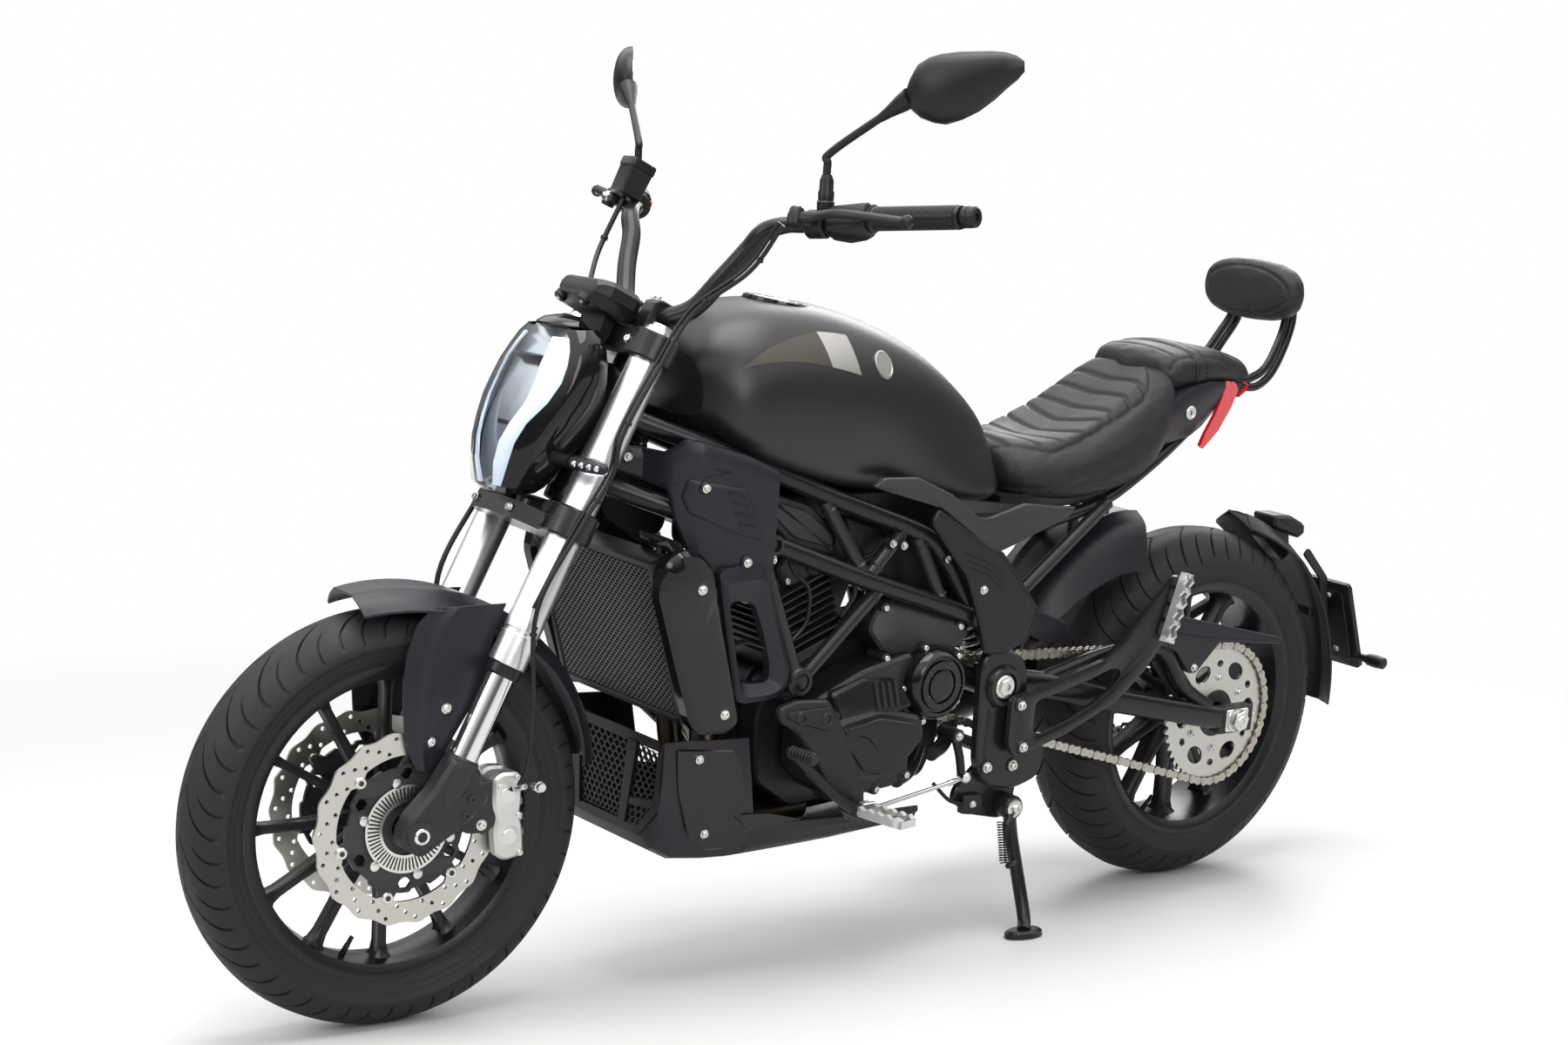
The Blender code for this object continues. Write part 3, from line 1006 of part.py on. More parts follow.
# Inner mudguard ahead of the rear tyre, and the chain guard
mud_rows = []
for x, z, half in ((0.430, 0.512, 0.074), (0.372, 0.590, 0.086), (0.300, 0.640, 0.094), (0.238, 0.662, 0.094),
                   (0.176, 0.662, 0.086)):
    drop = 0.034
    mud_rows.append([(x, half, z - drop), (x, half * 0.86, z - 0.006), (x, 0, z + 0.004),
                        (x, -half * 0.86, z - 0.006), (x, -half, z - drop), (x, -half + 0.005, z - drop),
                        (x, -half * 0.86 + 0.003, z - 0.011), (x, 0, z - 0.001),
                        (x, half * 0.86 - 0.003, z - 0.011), (x, half - 0.005, z - drop)])
mud_posts = [rod((0.330, s * 0.040, 0.612), (0.330, s * 0.040, 0.6940), 0.008, 6) for s in (1, -1)]
part(joined(loft(mud_rows), mud_posts), "inner_mudguard", PLASTIC, root)
guard = plate(rounded([(0.160, 0.508), (-0.134, 0.441), (-0.128, 0.430), (0.034, 0.446), (0.086, 0.398),
                       (0.106, 0.398), (0.140, 0.4378), (0.230, 0.4750), (0.236, 0.500)], 0.006),
              0.1240, 0.0060)
part(guard, "chain_guard", PLASTIC, root)

# Rear plate arm: fender behind the tyre, single arm on the right, plate holder and lamps
mud = [(0.352, 0.056), (0.352, -0.056), (0.330, -0.084), (0.326, -0.083),
       (0.348, -0.053), (0.348, 0.053), (0.326, 0.083), (0.330, 0.084)]
rear_fender = capped(ring(mud, 8, angle=72.0, start=-178.0))
moved(rear_fender, z=REAR_R)
arm = tube([(0.030, -0.1700, 0.350), (-0.060, -0.1700, 0.360), (-0.180, -0.140, 0.420),
            (-0.262, -0.070, 0.500), (-0.284, -0.040, 0.514)], 0.0110)
arm_foot = rod((0.022, -0.1484, 0.345), (0.022, -0.1790, 0.345), 0.016, 10)
PLATE_X, PLATE_Z = -0.374, 0.430
holder = block(-0.007, 0.007, -0.085, 0.085, -0.085, 0.085, 0.002)
moved(holder, turn=Matrix.Rotation(math.radians(20.5), 4, "Y"))
moved(holder, x=PLATE_X, z=PLATE_Z)
stem = block(PLATE_X + 0.005, -0.316, -0.026, 0.026, 0.440, 0.470, 0.003)
lamp_top = block(-0.235, -0.150, -0.030, 0.030, 0.622, 0.640, 0.003)
lamp_neck = block(-0.205, -0.175, -0.018, 0.018, 0.590, 0.630)
signals = []
for s in (1, -1):
    signals.append(rod((PLATE_X - 0.026, s * 0.075, 0.372), (PLATE_X - 0.026, s * 0.104, 0.372), 0.007, 8))
    signals.append(rod((PLATE_X - 0.026, s * 0.100, 0.372), (PLATE_X - 0.026, s * 0.142, 0.372), 0.012, 8))
part(joined(rear_fender, [arm, arm_foot, stem, holder, lamp_top, lamp_neck] + signals),
     "rear_plate_arm", PLASTIC, root)

# Rear shock between the swingarm's cross tube and the frame
part(joined(rod((0.4687, 0, 0.4268), (0.5388, 0, 0.5455), 0.020, 10),
            [rod((0.480, 0, 0.4459), (0.532, 0, 0.5340), 0.031, 12)]), "rear_shock", STEEL, root)

# Exhaust: two header pipes, a collector and a silencer on the right
pipes = [tube([(1.0217, s * 0.045, 0.6013), (1.070, s * 0.046, 0.570), (1.085, s * 0.046, 0.480),
               (1.070, s * 0.040, 0.330), (1.020, s * 0.034, 0.238), (0.960, s * 0.030, 0.2305),
               (0.860, s * 0.022, 0.2305)], 0.0190, 2) for s in (1, -1)]
pipes.append(tube([(0.880, 0.0, 0.2325), (0.700, -0.020, 0.2400), (0.620, -0.070, 0.250),
                   (0.540, -0.176, 0.262), (0.470, -0.206, 0.280)], 0.0200, 2))
silencer = capped(baked(turned([(0.001, 0.200), (0.036, 0.198), (0.056, 0.150), (0.056, -0.150),
                                (0.036, -0.200), (0.001, -0.200)], 12)))
moved(silencer, turn=Matrix.Rotation(math.radians(12), 4, "Y") @ Matrix.Rotation(math.radians(90), 4, "Z"))
moved(silencer, x=0.285, y=-0.216, z=0.318)
part(joined(silencer, pipes), "exhaust", PIPE, root)


# Rider peg brackets; the left one carries the shift lever, the right one the brake pedal
def peg_bracket():
    arm_plate = plate(rounded([(1.062, 0.452), (0.975, 0.462), (0.938, 0.420), (0.878, 0.306), (0.872, 0.262),
                               (0.900, 0.256), (0.932, 0.300), (1.000, 0.400), (1.056, 0.420)], 0.010),
                      0.196, 0.014, [rounded([(0.984, 0.444), (0.984, 0.432), (1.036, 0.430), (1.036, 0.442)], 0.004)])
    legs = [rod((x, 0.1555, z), (x, 0.196, z), 0.010, 8) for x, z in ((0.948, 0.424), (0.955, 0.352))]
    peg = loft([[(0.884 + a - 0.020 * t, y, 0.284 + b) for a, b in
                 ((-0.016, -0.010), (0.018, -0.010), (0.020, 0.008), (-0.018, 0.008))]
                for t, y in ((0, 0.1885), (1, 0.300))])
    pedal_arm = tube([(0.905, 0.212, 0.280), (0.980, 0.216, 0.330), (1.046, 0.216, 0.388)], 0.0070)
    pedal_root = rod((0.905, 0.190, 0.280), (0.905, 0.220, 0.280), 0.012, 8)
    pedal = rod((1.046, 0.210, 0.388), (1.040, 0.262, 0.388), 0.0095, 8)
    return joined(arm_plate, legs + [peg, pedal_arm, pedal_root, pedal])


part(peg_bracket(), "rider_peg_left", CAST, root)
part(mirrored(peg_bracket()), "rider_peg_right", CAST, root)


# Passenger peg hangers with the pegs folded up
def passenger_hanger():
    route = rounded([(0.548, 0.412), (0.360, 0.456), (0.214, 0.580), (0.198, 0.572), (0.216, 0.494),
                     (0.330, 0.384), (0.548, 0.316), (0.560, 0.336)], 0.016)
    hole = rounded([(0.500, 0.398), (0.366, 0.430), (0.330, 0.420), (0.380, 0.384), (0.500, 0.346)], 0.010)
    body = plate(route, 0.1730, 0.012, [hole])
    boss = rod((0.548, 0.1573, 0.400), (0.548, 0.172, 0.400), 0.012, 10)
    boss_low = rod((0.536, 0.1573, 0.330), (0.536, 0.172, 0.330), 0.012, 10)
    peg = loft([[(0.232 + a, 0.190 + b, 0.486) for a, b in ((-0.014, -0.016), (0.014, -0.016), (0.014, 0.010),
                                                            (-0.014, 0.010))],
                [(0.202 + a, 0.190 + b, 0.592) for a, b in ((-0.012, -0.016), (0.012, -0.016), (0.012, 0.010),
                                                            (-0.012, 0.010))]])
    return joined(body, [boss, boss_low, peg])


part(passenger_hanger(), "passenger_peg_left", MATT_BLACK, root)
part(mirrored(passenger_hanger()), "passenger_peg_right", MATT_BLACK, root)

# Rear caliper on the right, hung from the swingarm
CLIP_TURN = math.radians(80)
rear_clip = caliper(0.126 * math.cos(CLIP_TURN), REAR_R + 0.126 * math.sin(CLIP_TURN), -CLIP_TURN,
                    REAR_DISC_Y, 0.080, 0.050, 0.0055)
hanger = plate(rounded([(0.018, 0.294), (0.020, 0.345), (0.050, 0.390), (0.036, 0.420), (-0.006, 0.420), (-0.024, 0.294)], 0.010),
               -0.1194, 0.0080, [circle(0, REAR_R, 0.0130, 12)])
part(joined(rear_clip, [hanger]), "rear_caliper", CAST, root)

# Side stand: leg, foot and twin springs, its foot flat on the ground
LEAN = math.radians(LEAN_DEG)
lean_turn = Matrix.Rotation(-LEAN, 4, "X")
root.rotation_euler = lean_turn.to_euler()
bpy.context.view_layer.update()


def lowest(name):
    obj = bpy.data.objects[name]
    return min((obj.matrix_world @ v.co for v in obj.data.vertices), key=lambda p: p.z)


front_low, rear_low = lowest("front_tyre"), lowest("rear_tyre")
pitch = math.atan2(front_low.z - rear_low.z, front_low.x - rear_low.x)
root.rotation_euler = (Matrix.Rotation(pitch, 4, "Y") @ lean_turn).to_euler()
bpy.context.view_layer.update()
front_low, rear_low = lowest("front_tyre"), lowest("rear_tyre")
ground_z = (front_low.z + rear_low.z) / 2
to_world = root.matrix_world.copy()
to_bike = to_world.inverted()
foot_world = to_world @ Vector((0.540, 0.228, 0.012))
foot_base = [to_bike @ Vector((foot_world.x + a, foot_world.y + b, ground_z))
             for a, b in circle(0, 0, 1.0, 12) for a, b in ((a * 0.036, b * 0.024),)]
foot_top = [to_bike @ Vector((foot_world.x + a, foot_world.y + b, ground_z + 0.013))
            for a, b in circle(0, 0, 1.0, 12) for a, b in ((a * 0.032, b * 0.020),)]
foot = loft([foot_base, foot_top])
foot_top_mid = to_bike @ Vector((foot_world.x, foot_world.y, ground_z + 0.008))
leg = tube([(STAND_X, STAND_Y + 0.006, STAND_Z - 0.010), (STAND_X - 0.004, 0.168, 0.176), (0.524, 0.190, 0.100),
            (0.528, 0.212, 0.052), tuple(foot_top_mid)], 0.0105)
knuckle = rod((STAND_X, 0.1403, STAND_Z), (STAND_X, 0.1720, STAND_Z), 0.020, 12)
springs = [tube([(STAND_X + 0.026, 0.170 + d, 0.206), (STAND_X + 0.020, 0.178 + d, 0.140)], 0.0062)
           for d in (0.0, 0.013)]
hooks = [rod((STAND_X, 0.168, STAND_Z - 0.008), (STAND_X + 0.028, 0.180, 0.204), 0.006, 8),
         rod((0.524, 0.180, 0.140), (STAND_X + 0.022, 0.188, 0.138), 0.006, 8)]
stand = joined(leg, [knuckle, foot] + hooks + springs)
moved(stand, -STAND_X, -STAND_Y, -STAND_Z)
part(stand, "side_stand", MATT_BLACK, stand_axis)

# The wheels and the stand's foot come to the ground plane, the origin to the middle of the footprint
bpy.context.view_layer.update()
corners = [obj.matrix_world @ v.co for obj in parts.objects if obj.type == "MESH" for v in obj.data.vertices]
low = Vector([min(c[i] for c in corners) for i in range(3)])
high = Vector([max(c[i] for c in corners) for i in range(3)])
root.location = (-(low.x + high.x) / 2, -(low.y + high.y) / 2, -low.z)
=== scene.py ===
"""Cruiser motorcycle on its side stand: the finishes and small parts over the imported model."""
import json
import math
import bmesh
import bpy
from mathutils import Matrix, Vector
from mathutils.bvhtree import BVHTree


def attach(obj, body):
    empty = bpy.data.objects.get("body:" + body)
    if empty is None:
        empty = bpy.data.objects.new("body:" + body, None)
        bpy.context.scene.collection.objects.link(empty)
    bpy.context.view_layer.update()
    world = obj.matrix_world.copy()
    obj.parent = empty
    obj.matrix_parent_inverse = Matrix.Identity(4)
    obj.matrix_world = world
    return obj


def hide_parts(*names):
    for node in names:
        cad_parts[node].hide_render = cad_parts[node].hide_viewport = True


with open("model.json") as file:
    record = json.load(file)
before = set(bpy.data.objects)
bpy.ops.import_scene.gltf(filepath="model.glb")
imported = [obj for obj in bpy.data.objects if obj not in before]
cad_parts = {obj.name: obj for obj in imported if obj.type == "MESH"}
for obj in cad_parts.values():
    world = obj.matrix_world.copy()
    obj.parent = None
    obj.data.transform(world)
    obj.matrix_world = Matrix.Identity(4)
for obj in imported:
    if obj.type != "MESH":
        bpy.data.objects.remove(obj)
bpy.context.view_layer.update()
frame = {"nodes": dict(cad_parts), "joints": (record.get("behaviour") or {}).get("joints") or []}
nodes = frame["nodes"]

# Where the machine stands. It leans to its left on the side stand with the bars a little
# to the right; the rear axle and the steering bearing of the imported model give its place.
joint = {j["name"]: j for j in frame["joints"]}
RAKE = math.radians(26.0)
WHEELBASE = 1.6
FORK_OFFSET = 0.0485
FRONT_AXLE_Z = 0.3
REAR_AXLE_Z = 0.312
REAR_AXLE = Vector((0.0, 0.0, REAR_AXLE_Z))
HEAD_BASE = Vector((WHEELBASE - FORK_OFFSET * math.cos(RAKE), 0.0,
                    FRONT_AXLE_Z - FORK_OFFSET * math.sin(RAKE)))
BARS_TURNED = math.radians(-6.5)
left = Vector(joint["rear_wheel_spin"]["axis"]).normalized()
to_head = Vector(joint["steering_turn"]["pos_m"]) - Vector(joint["rear_wheel_spin"]["pos_m"])
climb = math.atan2(HEAD_BASE.z - REAR_AXLE.z, HEAD_BASE.x)
ahead = (Matrix.Rotation(climb, 3, left) @ to_head).normalized()
up = ahead.cross(left)
MACHINE = Matrix((ahead, left, up)).transposed().to_4x4()
MACHINE.translation = Vector(joint["rear_wheel_spin"]["pos_m"]) - up * REAR_AXLE_Z
to_bike = MACHINE.inverted()
UNSTEERED = Matrix.Translation(HEAD_BASE) @ Matrix.Rotation(-RAKE, 4, "Y")
FORK = MACHINE @ UNSTEERED @ Matrix.Rotation(BARS_TURNED, 4, "Z")
STRAIGHT = FORK @ UNSTEERED.inverted()
FRONT_WHEEL = FORK @ Matrix.Translation((FORK_OFFSET, 0, 0)) @ Matrix.Rotation(RAKE, 4, "Y")
REAR_WHEEL = MACHINE @ Matrix.Translation(REAR_AXLE)

# The camera stands to the left ahead of the machine at head height, and looks slightly down.
turn, dip, roll = math.radians(-39.497), math.radians(10.61), math.radians(4.477)
look = Vector((math.sin(turn) * math.cos(dip), -math.cos(turn) * math.cos(dip), -math.sin(dip)))
flat = look.cross(Vector((0, 0, 1))).normalized()
rise = flat.cross(look)
right = math.cos(roll) * flat + math.sin(roll) * rise
top = math.cos(roll) * rise - math.sin(roll) * flat
camera = bpy.data.objects.new("camera", bpy.data.cameras.new("camera"))
bpy.context.scene.collection.objects.link(camera)
aim = Matrix((right, top, -look)).transposed().to_4x4()
aim.translation = Vector((3.595, 3.2515, 1.4713))
camera.matrix_world = MACHINE @ aim
camera.data.lens = 64.16
camera.data.sensor_width = 36.0
camera.data.clip_end = 60.0
bpy.context.scene.camera = camera

# The studio: a pale floor that runs out into white, broad soft lamps above and beside.
FLOOR_HALF = 14.0
floor_mesh = bpy.data.meshes.new("floor")
floor_mesh.from_pydata([(FLOOR_HALF * a, FLOOR_HALF * b, 0) for a, b in ((-1, -1), (1, -1), (1, 1), (-1, 1))],
                       [], [(0, 1, 2, 3)])
floor = bpy.data.objects.new("floor", floor_mesh)
bpy.context.scene.collection.objects.link(floor)
painted = bpy.data.materials.new("studio_floor")
painted.use_nodes = True
tree = painted.node_tree
shader = tree.nodes["Principled BSDF"]
shader.inputs["Base Color"].default_value = (0.8, 0.8, 0.79, 1)
shader.inputs["Roughness"].default_value = 0.42
shader.inputs["Specular IOR Level"].default_value = 0.3
place = tree.nodes.new("ShaderNodeTexCoord")
reach = tree.nodes.new("ShaderNodeVectorMath")
reach.operation = "LENGTH"
fade = tree.nodes.new("ShaderNodeMapRange")
fade.inputs["From Min"].default_value = 1.6
fade.inputs["From Max"].default_value = 4.5
fade.interpolation_type = "SMOOTHSTEP"
white = tree.nodes.new("ShaderNodeEmission")
white.inputs["Strength"].default_value = 1.0
mixed = tree.nodes.new("ShaderNodeMixShader")
tree.links.new(place.outputs["Object"], reach.inputs[0])
tree.links.new(reach.outputs["Value"], fade.inputs["Value"])
tree.links.new(fade.outputs["Result"], mixed.inputs["Fac"])
tree.links.new(shader.outputs["BSDF"], mixed.inputs[1])
tree.links.new(white.outputs["Emission"], mixed.inputs[2])
tree.links.new(mixed.outputs["Shader"], tree.nodes["Material Output"].inputs["Surface"])
floor_mesh.materials.append(painted)

# The surroundings: even white for what the camera sees, dimmer for soft fill, and a sheet of light
# overhead that only shiny faces mirror.
world = bpy.data.worlds.new("studio")
bpy.context.scene.world = world
world.use_nodes = True
air = world.node_tree
seen = air.nodes.new("ShaderNodeLightPath")
direct = air.nodes.new("ShaderNodeMath")
direct.operation = "MAXIMUM"
glow = air.nodes.new("ShaderNodeMapRange")
glow.inputs["To Min"].default_value = 0.55
glow.inputs["To Max"].default_value = 1.0
air.links.new(seen.outputs["Is Camera Ray"], direct.inputs[0])
air.links.new(seen.outputs["Is Transmission Ray"], direct.inputs[1])
air.links.new(direct.outputs[0], glow.inputs["Value"])
way_up = air.nodes.new("ShaderNodeSeparateXYZ")
sky = air.nodes.new("ShaderNodeMapRange")
sky.interpolation_type = "SMOOTHSTEP"
sky.inputs["From Min"].default_value, sky.inputs["From Max"].default_value = 0.12, 0.72
sky.inputs["To Min"].default_value, sky.inputs["To Max"].default_value = 0.14, 2.4
sheet = air.nodes.new("ShaderNodeMix")
air.links.new(air.nodes.new("ShaderNodeTexCoord").outputs["Generated"], way_up.inputs["Vector"])
air.links.new(way_up.outputs["Z"], sky.inputs["Value"])
air.links.new(seen.outputs["Is Glossy Ray"], sheet.inputs["Factor"])
air.links.new(glow.outputs["Result"], sheet.inputs["A"])
air.links.new(sky.outputs["Result"], sheet.inputs["B"])
air.nodes["Background"].inputs["Color"].default_value = (1.0, 1.0, 1.0, 1)
air.links.new(sheet.outputs["Result"], air.nodes["Background"].inputs["Strength"])
bpy.context.scene.view_settings.view_transform = "Standard"

# Four round studio lamps, all aimed at the middle of the machine.
for name, spot, size, power in (("lamp_over", (0.6, 0.4, 4.2), 3.2, 150),
                                ("lamp_left", (2.2, 4.4, 2.6), 2.6, 85),
                                ("lamp_front", (4.6, -0.6, 2.4), 2.2, 50),
                                ("lamp_back", (-3.6, -2.6, 3.0), 2.4, 60)):
    light = bpy.data.lights.new(name, "AREA")
    light.shape = "DISK"
    light.size = size
    light.energy = power
    lamp = bpy.data.objects.new(name, light)
    bpy.context.scene.collection.objects.link(lamp)
    lamp.location = spot
    lamp.rotation_euler = (Vector((0.1, 0.0, 0.5)) - Vector(spot)).to_track_quat("-Z", "Y").to_euler()

# Tyres: moulded rubber carcasses with a directional tread of swept grooves, a smooth
# sidewall with two fine ribs, and a bead that sits between the rim's lips.
def coating(name, colour, rough, metal=0.0, grain=900.0, relief=0.04, patch=9.0, spread=0.1, gloss_coat=0.0,
            rub=0.0, tint=None, sheen=0.26):
    """A finish from nodes: cloudy colour and roughness, a fine grain, and paler edges where rubbed."""
    made = bpy.data.materials.new(name)
    made.use_nodes = True
    tree = made.node_tree
    shader = tree.nodes["Principled BSDF"]
    shader.inputs["Metallic"].default_value = metal
    shader.inputs["Coat Weight"].default_value = gloss_coat
    shader.inputs["Coat Roughness"].default_value = 0.06
    shader.inputs["Specular IOR Level"].default_value = sheen
    spot = tree.nodes.new("ShaderNodeTexCoord")
    cloud = tree.nodes.new("ShaderNodeTexNoise")
    cloud.inputs["Scale"].default_value = patch
    cloud.inputs["Detail"].default_value = 5.0
    tree.links.new(spot.outputs["Object"], cloud.inputs["Vector"])
    shade = tree.nodes.new("ShaderNodeMapRange")
    shade.inputs["From Min"].default_value, shade.inputs["From Max"].default_value = 0.3, 0.7
    shade.inputs["To Min"].default_value = rough - spread * 0.5
    shade.inputs["To Max"].default_value = rough + spread * 0.5
    tree.links.new(cloud.outputs["Fac"], shade.inputs["Value"])
    tree.links.new(shade.outputs["Result"], shader.inputs["Roughness"])
    blend = tree.nodes.new("ShaderNodeMix")
    blend.data_type = "RGBA"
    blend.inputs["A"].default_value = (*[c * 0.86 for c in colour], 1)
    blend.inputs["B"].default_value = (*(tint or [min(1.0, c * 1.14) for c in colour]), 1)
    tree.links.new(cloud.outputs["Fac"], blend.inputs["Factor"])
    colour_out = blend.outputs["Result"]
    if rub:
        edge = tree.nodes.new("ShaderNodeNewGeometry")
        worn = tree.nodes.new("ShaderNodeMapRange")
        worn.inputs["From Min"].default_value, worn.inputs["From Max"].default_value = 0.53, 0.62
        worn.inputs["To Max"].default_value = rub
        tree.links.new(edge.outputs["Pointiness"], worn.inputs["Value"])
        bare = tree.nodes.new("ShaderNodeMix")
        bare.data_type = "RGBA"
        bare.inputs["B"].default_value = (*[min(1.0, c * 1.6 + 0.05) for c in colour], 1)
        tree.links.new(worn.outputs["Result"], bare.inputs["Factor"])
        tree.links.new(colour_out, bare.inputs["A"])
        colour_out = bare.outputs["Result"]
    tree.links.new(colour_out, shader.inputs["Base Color"])
    speck = tree.nodes.new("ShaderNodeTexNoise")
    speck.inputs["Scale"].default_value = grain
    speck.inputs["Detail"].default_value = 2.0
    tree.links.new(spot.outputs["Object"], speck.inputs["Vector"])
    bump = tree.nodes.new("ShaderNodeBump")
    bump.inputs["Strength"].default_value = relief
    bump.inputs["Distance"].default_value = 0.001
    tree.links.new(speck.outputs["Fac"], bump.inputs["Height"])
    tree.links.new(bump.outputs["Normal"], shader.inputs["Normal"])
    return made


tyre_rubber = coating("tyre_rubber", (0.0135, 0.0135, 0.0135), 0.62, grain=900, relief=0.2, patch=14,
                      spread=0.16)


def full_turn(count):
    """Angles spread evenly round a circle."""
    return [2 * math.pi * k / count for k in range(count)]


def hung(name, bm, place, finish, body, crease=40.0, finishes=()):
    """Turn a bmesh into a named piece in its place on the machine, riding on its body."""
    bmesh.ops.remove_doubles(bm, verts=bm.verts, dist=0.00001)
    bmesh.ops.recalc_face_normals(bm, faces=bm.faces)
    mesh = bpy.data.meshes.new(name)
    bm.to_mesh(mesh)
    bm.free()
    mesh.transform(place)
    for look_of in (finish, *finishes):
        mesh.materials.append(look_of)
    mesh.shade_smooth()
    mesh.set_sharp_from_angle(angle=math.radians(crease))
    piece = bpy.data.objects.new(name, mesh)
    bpy.context.scene.collection.objects.link(piece)
    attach(piece, body)
    return piece


def skin_rows(bm, rows, around=True, loop=False, ends=True, look=0):
    """Skin rows of points into bm: around closes each row, loop joins the last row to the first."""
    grid = [[bm.verts.new(p) for p in row] for row in rows]
    pairs = list(zip(grid, grid[1:])) + ([(grid[-1], grid[0])] if loop else [])
    for a, b in pairs:
        for k in range(len(a) if around else len(a) - 1):
            n = (k + 1) % len(a)
            face = bm.faces.new((a[k], a[n], b[n], b[k]))
            face.material_index = look
    if ends and not loop and around:
        for row in (grid[0], grid[-1]):
            bm.faces.new(row).material_index = look
    return grid


def turned_part(bm, profile, sides, look=0, closed=True):
    """Turn a profile of (radius, y) points about the Y axis."""
    rows = [[(r * math.cos(a), y, r * math.sin(a)) for r, y in profile] for a in full_turn(sides)]
    skin_rows(bm, rows, around=closed, loop=True, look=look)


def curve_through(points, steps):
    """A smooth run of points through the given ones, steps to each span."""
    pts = [Vector(p) for p in points]
    pts = [2 * pts[0] - pts[1]] + pts + [2 * pts[-1] - pts[-2]]
    out = []
    for a, b, c, d in zip(pts, pts[1:], pts[2:], pts[3:]):
        for k in range(steps):
            t = k / steps
            out.append(0.5 * (2 * b + (c - a) * t + (2 * a - 5 * b + 4 * c - d) * t * t
                              + (3 * b - a - 3 * c + d) * t ** 3))
    return out + [pts[-2]]


# How far a groove sweeps round on its way to the shoulder, and the radius inside the bead.
GROOVE_SWING = 0.235
BEAD_R = 0.2176


def tyre(name, radius, width, lip, place, body, pitches, hand):
    """One tyre: a row of tread at a time, with its cuts (kind 1 a long groove, kind 2 a short one)."""
    half = width / 2
    side = curve_through([(radius, 0, 0), (radius - 0.0045 * width / 0.12, half * 0.42, 0),
                          (radius - 0.145 * width, half * 0.77, 0), (radius - 0.32 * width, half * 0.985, 0),
                          (0.245, lip + 0.0085, 0), (0.228, lip + 0.0005, 0)], 8)
    count = len(side)
    groove_end = 21
    ribs = {26: 0.0009, 27: 0.0009, 33: 0.0007, 37: 0.001}
    cuts = [(0.0, 0), (0.016, 1), (0.062, 1), (0.078, 0), (0.2, 0), (0.32, 0), (0.43, 0),
            (0.5, 0), (0.513, 2), (0.553, 2), (0.566, 0), (0.68, 0), (0.79, 0), (0.9, 0)]
    pitch = 2 * math.pi / pitches
    profile = [(j, s) for s in (1, -1) for j in (range(count - 1, -1, -1) if s > 0 else range(1, count))]
    bm = bmesh.new()
    rows = []
    for p in range(pitches):
        for share, kind in cuts:
            row = []
            for j, s in profile:
                r, y = side[j].x, side[j].y
                t = min(1.0, j / groove_end)
                swing = hand * GROOVE_SWING * (1 - (1 - t) ** 1.9)
                deep = 0.0
                if kind == 1 and 1 <= j <= groove_end:
                    deep = 0.0042 * math.sin(math.pi * min(1, max(0, (j - 0.6) / (groove_end - 0.2)))) ** 0.35
                if kind == 2 and 9 <= j <= groove_end + 2:
                    deep = 0.0034 * math.sin(math.pi * (j - 8) / (groove_end - 5)) ** 0.5
                deep -= ribs.get(j, 0.0)
                bend = side[min(j + 1, count - 1)] - side[max(j - 1, 0)]
                out = Vector((bend.y, -bend.x)).normalized()
                r, y = r - out.x * deep, y - out.y * deep
                a = pitch * (p + share) + swing
                row.append((r * math.cos(a), s * y, r * math.sin(a)))
            a = pitch * (p + share) + hand * GROOVE_SWING
            for y in (-(lip - 0.0075), lip - 0.0075):
                row.append((BEAD_R * math.cos(a), y, BEAD_R * math.sin(a)))
            rows.append(row)
    skin_rows(bm, rows, around=True, loop=True)
    made = hung(name, bm, place, tyre_rubber, body, 50)
    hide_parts(body.replace("_wheel", "_tyre"))


tyre("tyre_front_treaded", 0.2989, 0.12, 0.045, FRONT_WHEEL, "front_wheel", 26, -1)
tyre("tyre_rear_treaded", 0.3107, 0.16, 0.0685, REAR_WHEEL, "rear_wheel", 25, -1)


# Wheels: one-piece aluminium castings, a deep-welled rim on twelve ribbed spokes,
# machined hub faces and a rubber valve, under satin black paint.
alloy_black = coating("alloy_black", (0.0105, 0.0105, 0.011), 0.28, metal=0.1, grain=1700, relief=0.09,
                      rub=0.3)
hose_rubber = coating("hose_rubber", (0.009, 0.009, 0.0095), 0.36, grain=1200, relief=0.04)


